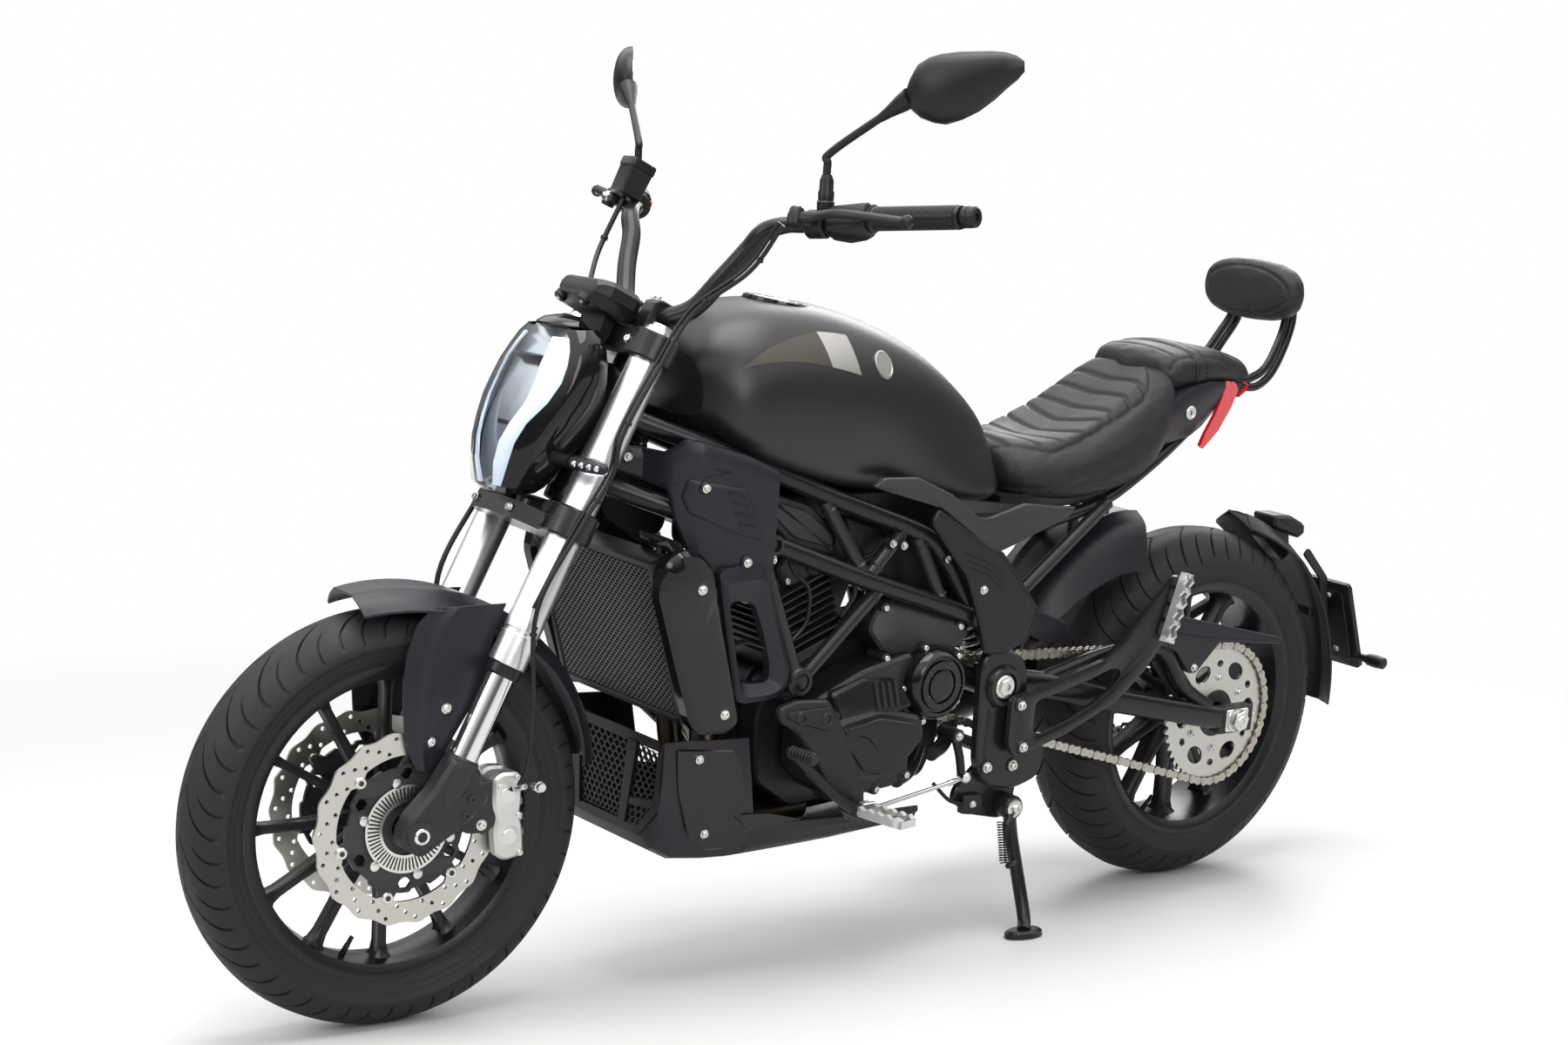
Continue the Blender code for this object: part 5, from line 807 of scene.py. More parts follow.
# Inside the lamp: two white light guides, a silvered bowl, three projectors in rings, a
# cross rail with two brows, and four small lamps in each indicator.
bm = bmesh.new()
for side in (1, -1):
    rows = []
    for row in lamp_shape[1:-1]:
        reach = lens_reach[row[0]] - 0.02
        wide = 0.24 + 0.12 * min(1.0, abs(row[0] - 0.872) / 0.07)
        rows.append([lamp_face(row, side * (reach - wide * k / 4), 0.006 + 0.0015 * (k in (0, 4)))
                     for k in range(5)] + [lamp_face(row, side * (reach - wide * (4 - k) / 4), 0.011)
                                           for k in range(5)])
    skin_rows(bm, rows, look=0)
across = [k / 6 - 1 for k in range(13)]
bowl = [[lamp_face(row, s * lens_reach[row[0]] * 0.98, 0.012 + 0.016 * (1 - s * s)) for s in across]
        + [(row[4] + 0.01, -row[1] * 0.3 * s, row[0]) for s in (-1, 1)][::-1] for row in lamp_shape]
skin_rows(bm, bowl, look=1)
for z, x, r, y in ((0.912, 1.3965, 0.033, 0.0), (0.797, 1.426, 0.015, 0.02), (0.797, 1.426, 0.015, -0.02)):
    way = Vector((0.97, 0, 0.1)).normalized()
    spot = Vector((x - 0.014, y, z))
    rod_along(bm, spot - way * 0.03, spot + way * 0.004, [(0, r * 0.7), (0.7, r * 1.04), (0.9, r * 1.12),
            (1, r * 1.08), (1, r * 0.9), (0.8, r * 0.88)], 40, 3)
    ball = [(math.cos(k * math.pi / 14), math.sin(k * math.pi / 14)) for k in range(7, -1, -1)]
    rod_along(bm, spot - way * 0.004, spot - way * 0.004 + way * r * 0.42,
              [(a, max(r * 0.86 * b, 0.0004)) for a, b in ball], 36, 0 if r > 0.02 else 2)
fence = []
for row in ((0.852, 0.08, 1.44, 1.403, 1.33), (0.858, 0.0815, 1.4385, 1.401, 1.33)):
    fence.append([lamp_face(row, s * 0.72 * 0.62, 0.008) for s in across]
                 + [lamp_face(row, -s * 0.72 * 0.62, 0.02) for s in across])
skin_rows(bm, fence, look=4)
for z in (0.874, 0.945):
    brow = [(x, y, z) for x, y in ((1.372, -0.05), (1.402, -0.03), (1.402, 0.03), (1.372, 0.05))]
    skin_rows(bm, [brow, [(x, y, zz + 0.006) for x, y, zz in brow]], look=4)
for s in (1, -1):
    head, tip = Vector((1.386, s * 0.124, 0.812)), Vector((1.3585, s * 0.1755, 0.806))
    for k in range(4):
        spot = head + (tip - head) * (0.16 + 0.21 * k) + Vector((0.0078, s * 0.0035, 0.0))
        rod_along(bm, spot - Vector((0.002, 0, 0)), spot + Vector((0.0012, s * 0.0008, 0)),
                  [(0, 0.0045), (0.7, 0.0045), (1, 0.0034)], 16, 3)
hung("headlamp_inside", bm, STRAIGHT, opal, "steering", 35, (bowl_grey, glass_clear, mirror_silver,
        plain_black))

# Headlamp bracket: a black pressed steel plate with two spacers, screwed to the front of
# the lower clamp.
bm = bmesh.new()
bar = [(0.064, -0.092), (0.098, -0.06), (0.104, 0.0), (0.098, 0.06), (0.064, 0.092), (0.052, 0.06),
       (0.052, -0.06)]
skin_rows(bm, [[(u, v, w) for u, v in bar] for w in (0.452, 0.456)]
          + [[(u - 0.002, v, w) for u, v in bar] for w in (0.474, 0.478)])
for v in (-0.052, 0.052):
    bolt(bm, (0.1, v, 0.465), (1, 0, 0), 0.005, 1)
    rod_along(bm, (0.08, v, 0.478), (0.08, v, 0.486), [(0, 0.009), (1, 0.008)], 20)
hung("headlamp_bracket", bm, FORK, frame_paint, "steering", 32, (zinc_bolt,))

# Dash: an angular black instrument box with a dark glass face, screwed to a plate bracket
# on the upper clamp.
bm = bmesh.new()
to_local = UNSTEERED.inverted()
dash_a, dash_b = to_local @ Vector((1.31, 0, 1.062)), to_local @ Vector((1.24, 0, 1.028))
way = (dash_b - dash_a).normalized()
over = Vector((-way.z, 0, way.x))
over = over if over.z > 0 else -over
rows = []
for share, half, up_by, thick in ((-0.02, 0.044, -0.01, 0.018), (0.0, 0.052, -0.004, 0.03),
                                  (0.1, 0.058, 0.001, 0.038), (0.25, 0.066, 0.003, 0.042),
                                  (0.78, 0.067, 0.003, 0.043), (0.95, 0.058, 0.001, 0.038),
                                  (1.0, 0.05, -0.003, 0.03)):
    at = dash_a + (dash_b - dash_a) * share + over * up_by
    rows.append([at + Vector((0, -half + 0.007, 0)), at + Vector((0, half - 0.007, 0)),
                 at - over * 0.007 + Vector((0, half, 0)), at - over * (thick * 0.55)
                 + Vector((0, half, 0)), at - over * (thick * 0.62) + Vector((0, half - 0.003, 0)),
                 at - over * thick + Vector((0, half * 0.86, 0)),
                 at - over * thick + Vector((0, -half * 0.86, 0)),
                 at - over * (thick * 0.62) + Vector((0, -half + 0.003, 0)),
                 at - over * (thick * 0.55) + Vector((0, -half, 0)),
                 at - over * 0.007 + Vector((0, -half, 0))])
skin_rows(bm, rows)
face = []
for share, half in ((0.22, 0.052), (0.9, 0.05)):
    at = dash_a + (dash_b - dash_a) * share + over * 0.0024
    face.append([at + Vector((0, -half, 0)), at + Vector((0, half, 0)),
                 at + over * 0.0006 + Vector((0, half - 0.002, 0)),
                 at + over * 0.0006 + Vector((0, -half + 0.002, 0))])
skin_rows(bm, face, look=2)
rows = []
for share, half, drop in ((-0.1, 0.03, 0.024), (0.05, 0.048, 0.03), (0.55, 0.056, 0.034), (0.8, 0.05, 0.038)):
    at = dash_a + (dash_b - dash_a) * share - over * drop
    rows.append([at + Vector((0, -half, 0)), at + Vector((0, half, 0)),
                 at - over * 0.006 + Vector((0, half, 0)), at - over * 0.006 + Vector((0, -half, 0))])
skin_rows(bm, rows)
for v in (-0.034, 0.034):
    spot = dash_a + (dash_b - dash_a) * 0.02 - over * 0.03 + Vector((0, v, 0))
    rod_along(bm, spot, spot - over * 0.01 - way * 0.004, [(0, 0.01), (0.8, 0.0095), (1, 0.008), (1, 0.005),
            (0.6, 0.005)], 24)
    bolt(bm, spot - over * 0.008 - way * 0.003, -over - way * 0.4, 0.0042, 1, washer=False)
    rod_along(bm, spot + over * 0.008, spot - over * 0.002, [(0, 0.007), (1, 0.007)], 18)
arm = ((0.0605, 0.74), (0.0605, 0.8), (0.074, 0.815), (0.084, 0.8), (0.076, 0.74))
skin_rows(bm, [[(u, v, w) for u, w in arm] for v in (-0.034, -0.032, 0.032, 0.034)])
made = hung("dash_box", bm, FORK, plain_black, "steering", 30, (zinc_bolt, gloss_black))
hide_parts("dash")

# Handlebar: one bent black steel tube, thinner at the grips, held on the upper clamp by two
# risers with screwed caps.
bar_half = [to_local @ Vector(p) for p in ((1.21, 0.05, 1.006), (1.184, 0.096, 1.022),
                                           (1.161, 0.135, 1.068), (1.138, 0.165, 1.111),
                                           (1.128, 0.188, 1.137), (1.11, 0.212, 1.149),
                                           (1.085, 0.242, 1.152), (1.042, 0.33, 1.166),
                                           (0.982, 0.462, 1.177))]
bm = bmesh.new()
whole = [Vector((p.x, -p.y, p.z)) for p in reversed(bar_half)] + bar_half
pts = curve_through(whole, 6)
rows, across = [], None
for k, p in enumerate(pts):
    way = (pts[min(k + 1, len(pts) - 1)] - pts[max(k - 1, 0)]).normalized()
    across = way.cross(Vector((0.1, 0.2, 0.97))).normalized() if across is None else (across
            - way * across.dot(way)).normalized()
    over = way.cross(across)
    size = 0.014 - 0.0028 * min(1.0, max(0.0, (abs(p.y) - 0.19) / 0.03))
    rows.append([p + (across * math.cos(a) + over * math.sin(a)) * size for a in full_turn(24)])
skin_rows(bm, rows)
mid = bar_half[0]
for s in (1, -1):
    hold = rounded_outline([(mid.x - 0.023, 0.7705), (mid.x + 0.023, 0.7705),
                            (mid.x + 0.023, mid.z + 0.016), (mid.x + 0.012, mid.z + 0.0225),
                            (mid.x - 0.012, mid.z + 0.0225), (mid.x - 0.023, mid.z + 0.016)], 0.004)
    cast_plate(bm, hold, s * 0.045, 0.031, 0.002)
    for u in (-0.0165, 0.0165):
        for v in (-0.008, 0.008):
            bolt(bm, (mid.x + u, s * 0.045 + v, mid.z + 0.0225), (0, 0, 1), 0.004, 1, washer=False)
made = hung("handlebar_bent", bm, FORK, frame_paint, "steering", 36, (zinc_bolt,))
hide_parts("handlebar")

# Bar controls: moulded switch boxes, ribbed rubber grips, cast levers and folding mirrors, the
# right one with a brake fluid cup; each box is clamped round the bar.
switch_red = coating("switch_red", (0.55, 0.01, 0.012), 0.3, relief=0.0, sheen=0.4)
bar_up = Vector((0, 0, 1))


def on_bar(share):
    """A spot along the bar's outer part: 0 to 1 up to the grip, 1 to 2 along the grip."""
    a, b, end = bar_half[-3:]
    return a + (b - a) * share if share <= 1 else b + (end - b) * (share - 1)


def bar_controls(side, name):
    """Switch box, grip, lever and mirror; the right side (side -1) also has the brake fluid cup."""
    bm = bmesh.new()
    inner, outer = on_bar(0.35), on_bar(0.98)
    over = (on_bar(2.0) - on_bar(0.97)).normalized()
    fore = over.cross(bar_up).normalized()
    fore = fore if fore.x > 0 else -fore
    rise = over.cross(fore).normalized()
    rise = rise if rise.z > 0 else -rise
    rows = []
    for t, w, h, drop in ((0, 0.016, 0.017, 0), (0.05, 0.021, 0.022, 0.001), (0.45, 0.0235, 0.0245, 0.004),
                          (0.8, 0.0235, 0.0235, 0.003), (0.96, 0.0215, 0.0215, 0.001),
                          (1, 0.018, 0.018, 0)):
        at = inner + (outer - inner) * t - rise * drop
        rows.append([at + fore * w * math.copysign(abs(math.cos(a)) ** 0.6, math.cos(a))
                     + rise * h * math.copysign(abs(math.sin(a)) ** 0.6, math.sin(a)) for a in full_turn(28)])
    skin_rows(bm, rows)
    for t, look, size in ((0.3, 2, 0.0045), (0.55, 0, 0.006), (0.8, 2 if side < 0 else 0, 0.0048)):
        at = inner + (outer - inner) * t - fore * 0.0215 + rise * 0.004
        rod_along(bm, at, at - fore * 0.0045 + rise * 0.001,
                  [(0, size * 1.3), (0.5, size * 1.25), (1, size)], 20, look)
    grip_a, grip_b = on_bar(0.985), on_bar(2.0) - over * 0.006
    steps = [(0, 0.015), (0.004, 0.0195), (0.025, 0.02), (0.035, 0.017)]
    for k in range(30):
        t = 0.05 + 0.9 * k / 30
        steps += [(t, 0.016), (t + 0.006, 0.017), (t + 0.02, 0.017), (t + 0.026, 0.016)]
    steps += [(0.97, 0.0172), (1, 0.016)]
    rod_along(bm, grip_a, grip_b, steps, 28, 3)
    rod_along(bm, on_bar(2.0) - over * 0.006, on_bar(2.0) + over * 0.018,
              [(0, 0.012), (0.2, 0.0152), (0.45, 0.0152), (0.5, 0.014), (0.55, 0.0152), (0.9, 0.0146),
               (1, 0.012), (1, 0.006), (0.8, 0.005)], 28)
    perch = on_bar(0.1)
    rod_along(bm, perch - over * 0.013, perch + over * 0.017,
              [(0, 0.0185), (0.08, 0.0205), (0.92, 0.0205), (1, 0.0185)], 28)
    root = perch + Vector((0.042, 0.008, -0.01))
    pipe(bm, [perch + Vector((0.008, 0, 0)), perch + Vector((0.026, 0.003, -0.005)), root], (0.0125, 0.01),
         20)
    rod_along(bm, root + rise * 0.013, root - rise * 0.013, [(0, 0.0095), (0.1, 0.0105), (0.9, 0.0105),
            (1, 0.0095)], 24)
    bolt(bm, root + rise * 0.0125, rise, 0.005, 1, washer=False)
    mid_l, end_l = on_bar(1.05) + Vector((0.058, 0, -0.022)), on_bar(1.72) + Vector((0.046, 0, -0.03))
    line = curve_through([root - over * 0.01, root + over * 0.03, mid_l, end_l], 8)
    rows = []
    for k, p in enumerate(line):
        t = k / (len(line) - 1)
        w = 0.0088 - 0.003 * min(1.0, t * 1.6)
        rows.append([p + fore * w * 0.72 * math.cos(a) + rise * w * 1.15 * math.sin(a)
                     for a in full_turn(16)])
    skin_rows(bm, rows)
    rod_along(bm, end_l - over * 0.008, end_l + over * 0.01,
              [(0, 0.0035), (0.12, 0.0065), (0.35, 0.0092), (0.6, 0.0096), (0.85, 0.007), (1, 0.002)], 24)
    foot = on_bar(0.22) + Vector((0.006, 0.0, 0.012))
    up_way = (to_local.to_3x3() @ Vector((0, 0, 1))).normalized()
    top = foot + up_way * 0.082
    rod_along(bm, foot, foot + up_way * 0.054, [(0, 0.0125), (0.1, 0.012), (0.3, 0.0124), (0.34, 0.011),
            (0.55, 0.0114), (0.6, 0.01), (0.85, 0.0098), (1, 0.0068)], 24, 3)
    arm_end = top + to_local.to_3x3() @ Vector((1.036 - 1.078, 0.108, 1.322 - 1.249))
    pipe(bm, [foot + up_way * 0.02, top - up_way * 0.014, top + (arm_end - top) * 0.06, arm_end], 0.0058,
         16, 0, 7)
    cone = arm_end + (arm_end - top).normalized() * 0.018
    rod_along(bm, top + (arm_end - top) * 0.72, cone, [(0, 0.006), (0.3, 0.0082), (0.7, 0.0125),
            (1, 0.0145)], 24)
    out = (to_local.to_3x3() @ Vector((-0.086, 0.155, 0.02))).normalized()
    lift = (up_way - out * up_way.dot(out)).normalized()
    ahead_way = out.cross(lift)
    ahead_way = ahead_way if ahead_way.x > 0 else -ahead_way
    rows, glass = [], []
    sizes = ((0.0, -0.01, 0.012, 0.01), (0.05, -0.02, 0.028, 0.018), (0.12, -0.03, 0.044, 0.024),
             (0.22, -0.037, 0.052, 0.028), (0.32, -0.04, 0.0551, 0.03), (0.46, -0.035, 0.056, 0.029),
             (0.6, -0.026, 0.0546, 0.026), (0.74, -0.012, 0.053, 0.021), (0.85, 0.002, 0.05, 0.016),
             (0.94, 0.012, 0.044, 0.011), (1.0, 0.022, 0.036, 0.005))
    for share, low, high, deep in sizes:
        base = cone + out * (share * 0.172 - 0.006)
        centre, half = (low + high) / 2, (high - low) / 2
        arc = [(centre - half * math.cos(a), deep * math.sin(a) ** 0.75)
               for a in [math.pi * q / 14 for q in range(15)]]
        rows.append([base + lift * h + ahead_way * (d - 0.006) for h, d in arc])
        glass.append([base + lift * (centre - half * 0.86), base + lift * (centre + half * 0.86)])
    skin_rows(bm, rows)
    pane = [[p - ahead_way * 0.0064 for p in line_] + [p - ahead_way * 0.0072 for p in reversed(line_)]
            for line_ in glass[1:-1]]
    skin_rows(bm, pane, look=4)
    if side < 0:
        cup = perch + Vector((0.04, -0.026, 0.022))
        box = rounded_outline([(-0.022, -0.02), (0.022, -0.02), (0.022, 0.02), (-0.022, 0.02)], 0.007)
        rows = [[(cup.x + a * k, cup.y + b * k, cup.z + h) for a, b in box] for k,
                h in ((0.7, -0.028), (0.92, -0.024), (0.97, 0.016), (1.0, 0.018), (1.04, 0.019),
                      (1.04, 0.029), (0.99, 0.032))]
        skin_rows(bm, rows)
        for k in range(5):
            rod_along(bm, (cup.x - 0.012 + 0.006 * k, cup.y - 0.012, cup.z + 0.0325),
                      (cup.x - 0.012 + 0.006 * k, cup.y + 0.012, cup.z + 0.0325),
                      [(0, 0.0016), (1, 0.0016)], 8, 1)
        for a, b in ((-0.016, -0.015), (0.016, 0.015)):
            bolt(bm, (cup.x + a, cup.y + b, cup.z + 0.0315), (0, 0, 1), 0.003, 1, washer=False)
        nut = cup + Vector((0.01, 0.02, -0.032))
        rod_along(bm, nut, nut + Vector((0.012, 0.003, -0.006)),
                  [(0, 0.008), (0.6, 0.008), (0.7, 0.0062), (1, 0.006)], 6, 1)
        bm.transform(Matrix.Diagonal((1, -1, 1, 1)))
    made = hung(name, bm, FORK, plain_black, "steering", 34,
                (zinc_bolt, switch_red, hose_rubber, mirror_silver))
    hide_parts("controls_left" if side > 0 else "controls_right")


bar_controls(1, "controls_left_set")
bar_controls(-1, "controls_right_set")

# Brake hoses and the clutch cable: black rubber lines along the bar and fork, held by
# ties and guides all the way to the front calipers.
hose_line = ((1.165, 0.215, 1.085), (1.22, 0.157, 1.02), (1.28, 0.157, 0.93), (1.326, 0.158, 0.85),
             (1.34, 0.158, 0.795), (1.388, 0.156, 0.72), (1.448, 0.154, 0.61), (1.446, 0.15, 0.48),
             (1.446, 0.142, 0.4), (1.452, 0.126, 0.358), (1.456, 0.1125, 0.35))
perch = on_bar(0.1)
hose_start = {1: perch + Vector((0.052, 0.004, -0.028)), -1: perch + Vector((0.04, -0.026, -0.0068))}
for side, name, node, size in ((-1, "brake_hose_right_laid", "brake_hose_right", 0.004),
                               (1, "cable_bundle_left_laid", "cable_bundle_left", 0.0034)):
    bm = bmesh.new()
    line = [hose_start[side]] + [to_local @ Vector(p) for p in hose_line]
    pipe(bm, [(p.x, side * p.y, p.z) for p in line], size, 14, 0, 8)
    if side > 0:
        pipe(bm, [(p.x + 0.004, p.y - 0.006, p.z + 0.002) for p in line[:8]], 0.0026, 12, 0, 8)
    smooth = curve_through([(p.x, side * p.y, p.z) for p in line], 8)
    for at in (6, 14, 30, 44, 58):
        p, q = Vector(smooth[at]), Vector(smooth[at + 1])
        way = (q - p).normalized()
        rod_along(bm, p - way * 0.0022, p + way * 0.0022, [(0, size + 0.002), (1, size + 0.002)], 16, 1)
        rod_along(bm, p + Vector((0, 0, size + 0.001)), p + Vector((0, 0.002, size + 0.008)),
                  [(0, 0.0022), (1, 0.0014)], 8, 1)
    end = Vector(smooth[-1])
    way = (end - Vector(smooth[-3])).normalized()
    rod_along(bm, end - way * 0.03, end - way * 0.006, [(0, size + 0.0004), (0.1, size + 0.0016),
            (0.9, size + 0.0018), (1, size + 0.0004)], 16, 2)
    made = hung(name, bm, FORK, hose_rubber, "steering", 40, (plain_black, zinc_bolt))
    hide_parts(node)

# Tank: pressed steel under satin black paint, a broad shoulder over two knee dents, with a
# screwed filler ring and a locking cap.
tank_satin = coating("tank_satin", (0.0125, 0.012, 0.0125), 0.33, metal=0.1, grain=4000, relief=0.1,
                     patch=3.0, spread=0.04, tint=(0.015, 0.0142, 0.0138), sheen=0.4)


def blend(t):
    """The four weights of a cubic spline at a share t of its span."""
    return ((1 - t) ** 3 / 6, (3 * t ** 3 - 6 * t * t + 4) / 6, (-3 * t ** 3 + 3 * t * t + 3 * t + 1) / 6,
            t ** 3 / 6)


def spline_sheet(rows, u, v):
    """A smooth closed surface over rows of control points: u along the rows, v around them."""
    i, j = min(int(u), len(rows) - 2), int(v) % len(rows[0])
    spot = Vector((0, 0, 0))
    for a, wu in enumerate(blend(u - i)):
        row = rows[min(max(i + a - 1, 0), len(rows) - 1)]
        for b, wv in enumerate(blend(v - int(v))):
            spot += wu * wv * Vector(row[(j + b - 1) % len(row)])
    return spot


tank_half = (
    (1.16, ((0.04, 0.955), (0.07, 0.94), (0.092, 0.905), (0.086, 0.872), (0.066, 0.866))),
    (1.152, ((0.046, 0.97), (0.08, 0.955), (0.106, 0.905), (0.098, 0.868), (0.07, 0.862))),
    (1.124, ((0.058, 1.008), (0.098, 0.98), (0.15, 0.915), (0.146, 0.834), (0.104, 0.816))),
    (1.05, ((0.064, 1.031), (0.11, 1.006), (0.164, 0.93), (0.152, 0.806), (0.108, 0.794))),
    (0.94, ((0.064, 1.031), (0.11, 1.0), (0.163, 0.908), (0.152, 0.77), (0.108, 0.758))),
    (0.85, ((0.06, 1.011), (0.106, 0.974), (0.146, 0.884), (0.142, 0.762), (0.1, 0.744))),
    (0.74, ((0.052, 0.975), (0.095, 0.928), (0.112, 0.85), (0.132, 0.756), (0.094, 0.726))),
    (0.64, ((0.044, 0.917), (0.083, 0.864), (0.103, 0.79), (0.129, 0.712), (0.09, 0.698))),
    (0.56, ((0.034, 0.85), (0.067, 0.816), (0.094, 0.762), (0.112, 0.727), (0.081, 0.718))),
    (0.552, ((0.02, 0.81), (0.044, 0.795), (0.062, 0.765), (0.078, 0.742), (0.06, 0.735))))
tank_rows = [[(x, y, z) for y, z in half] + [(x, -y, z) for y, z in reversed(half)] for x, half in tank_half]
TANK_U, TANK_V = 72, 100
bm = bmesh.new()
skin_rows(bm, [[spline_sheet(tank_rows, 9 * a / TANK_U, 10 * b / TANK_V) for b in range(TANK_V)]
               for a in range(TANK_U + 1)])
# The filler: a gloss collar and lid, a zinc ring with six screws, and the key flap.
lid = Vector((-0.195, 0, 0.981)).normalized()
centre = Vector((0.9605, 0, 1.009))
r = 0.0585
rod_along(bm, centre - lid * 0.012, centre + lid * 0.0185, [(0, r), (0.72, r), (0.74, r * 0.965),
        (0.88, r * 0.955), (0.9, r * 0.8), (0.86, r * 0.79), (0.86, r * 0.74), (0.97, r * 0.72),
        (1, r * 0.66)], 64, 1)
rod_along(bm, centre + lid * 0.013, centre + lid * 0.0172, [(0, r * 0.9), (1, r * 0.885), (1, r * 0.835),
        (0.6, r * 0.83)], 64, 2)
for k in range(6):
    a = math.radians(60 * k + 20)
    out = Vector((0.981 * math.cos(a), math.sin(a), 0.195 * math.cos(a)))
    bolt(bm, centre + lid * 0.015 + out * r * 0.86, lid, 0.0027, 2, washer=False)
flap = centre + lid * 0.0175
rod_along(bm, flap, flap + lid * 0.0022, [(0, 0.015), (0.8, 0.015), (1, 0.0138)], 32, 2)
rod_along(bm, flap + lid * 0.0018, flap + lid * 0.003, [(0, 0.006), (1, 0.0055)], 20, 1)
made = hung("tank_pressed", bm, MACHINE, tank_satin, "frame", 35, (gloss_black, zinc_bolt))
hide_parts("tank")

# Tank decals: a grey panel and a silver band of thin printed film, laid by hand under the
# lacquer on each side.
def laid_patch(bm, edge_front, edge_rear, low, high, side, look, lift=0.0004):
    """A film on the tank between two slanted edges, each (u at the bottom, u at the top)."""
    rows, steps = [], 16
    for a in range(steps + 1):
        row = []
        for b in range(steps + 1):
            t, s = a / steps, b / steps
            u0 = edge_front[0] + (edge_front[1] - edge_front[0]) * s
            u1 = edge_rear[0] + (edge_rear[1] - edge_rear[0]) * s
            u = u0 + (u1 - u0) * t
            v0, v1 = low[0] + (low[1] - low[0]) * t, high[0] + (high[1] - high[0]) * t
            v = v0 + (v1 - v0) * s
            here = spline_sheet(tank_rows, u, v)
            along = spline_sheet(tank_rows, u + 0.02, v) - here
            across = spline_sheet(tank_rows, u, v + 0.02) - here
            out = along.cross(across).normalized()
            out = out if out.y > 0 else -out
            here = here + out * lift
            row.append((here.x, here.y * side, here.z))
        rows.append(row)
    skin_rows(bm, rows, around=False, ends=False, look=look)


panel_grey = coating("panel_grey", (0.06, 0.056, 0.047), 0.34, metal=0.35, grain=4000, relief=0.06,
                     spread=0.05)
band_silver = coating("band_silver", (0.36, 0.35, 0.33), 0.3, metal=0.7, grain=4000, relief=0.06, spread=0.05)
bm = bmesh.new()
for side in (1, -1):
    laid_patch(bm, (2.05, 2.1), (3.84, 3.72), (1.56, 1.6), (1.52, 0.96), side, 0)
    laid_patch(bm, (3.84, 3.72), (4.46, 4.34), (1.6, 1.61), (0.96, 0.9), side, 1, 0.0005)
hung("tank_film", bm, MACHINE, panel_grey, "frame", 60, (band_silver,))

# Tank roundels: plain turned metal discs with a raised rim and a dark middle, one glued to
# each side; they bear no sign.
ROUNDEL_U, ROUNDEL_V = 5.08, 1.26
bm = bmesh.new()
for side in (1, -1):
    here = spline_sheet(tank_rows, ROUNDEL_U, ROUNDEL_V)
    along = (spline_sheet(tank_rows, ROUNDEL_U + 0.02, ROUNDEL_V) - here).normalized()
    out = along.cross(spline_sheet(tank_rows, ROUNDEL_U, ROUNDEL_V + 0.02) - here).normalized()
    out = out if out.y > 0 else -out
    here, out = Vector((here.x, here.y * side, here.z)), Vector((out.x, out.y * side, out.z))
    rod_along(bm, here - out * 0.004, here + out * 0.0024, [(0, 0.0225), (0.85, 0.0225), (1, 0.0212),
            (1, 0.0192), (0.86, 0.0186)], 48)
    rod_along(bm, here - out * 0.003, here + out * 0.0014, [(0, 0.0186), (1, 0.018)], 48, 1)
hung("tank_roundels", bm, MACHINE, band_silver, "frame", 40, (panel_grey,))

# Seats and back pad: grained black leather drawn over foam and sewn along their borders; the
# covers take their fullness from a cloth simulation under pressure.
seat_leather = coating("seat_leather", (0.0125, 0.0125, 0.0125 * 1.03), 0.44, relief=0.0, patch=26,
                       spread=0.12)
tree = seat_leather.node_tree
spot_node = next(n for n in tree.nodes if n.bl_idname == "ShaderNodeTexCoord")
cells = tree.nodes.new("ShaderNodeTexVoronoi")
cells.feature = "DISTANCE_TO_EDGE"
cells.inputs["Scale"].default_value = 420.0
tree.links.new(spot_node.outputs["Object"], cells.inputs["Vector"])
edge = tree.nodes.new("ShaderNodeMapRange")
edge.inputs["From Max"].default_value = 0.22
tree.links.new(cells.outputs["Distance"], edge.inputs["Value"])
bump = tree.nodes.new("ShaderNodeBump")
bump.inputs["Strength"].default_value = 0.42
bump.inputs["Distance"].default_value = 0.0006
tree.links.new(edge.outputs["Result"], bump.inputs["Height"])
tree.links.new(bump.outputs["Normal"], tree.nodes["Principled BSDF"].inputs["Normal"])


def evaluated(piece, modifiers):
    """Apply modifiers, given as (kind, settings), to a mesh object."""
    for kind, settings in modifiers:
        modifier = piece.modifiers.new(kind.lower(), kind)
        for key, value in settings.items():
            setattr(modifier, key, value)
    baked = bpy.data.meshes.new_from_object(piece.evaluated_get(bpy.context.evaluated_depsgraph_get()))
    piece.modifiers.clear()
    piece.data = baked


CLOTH_STEPS = 20


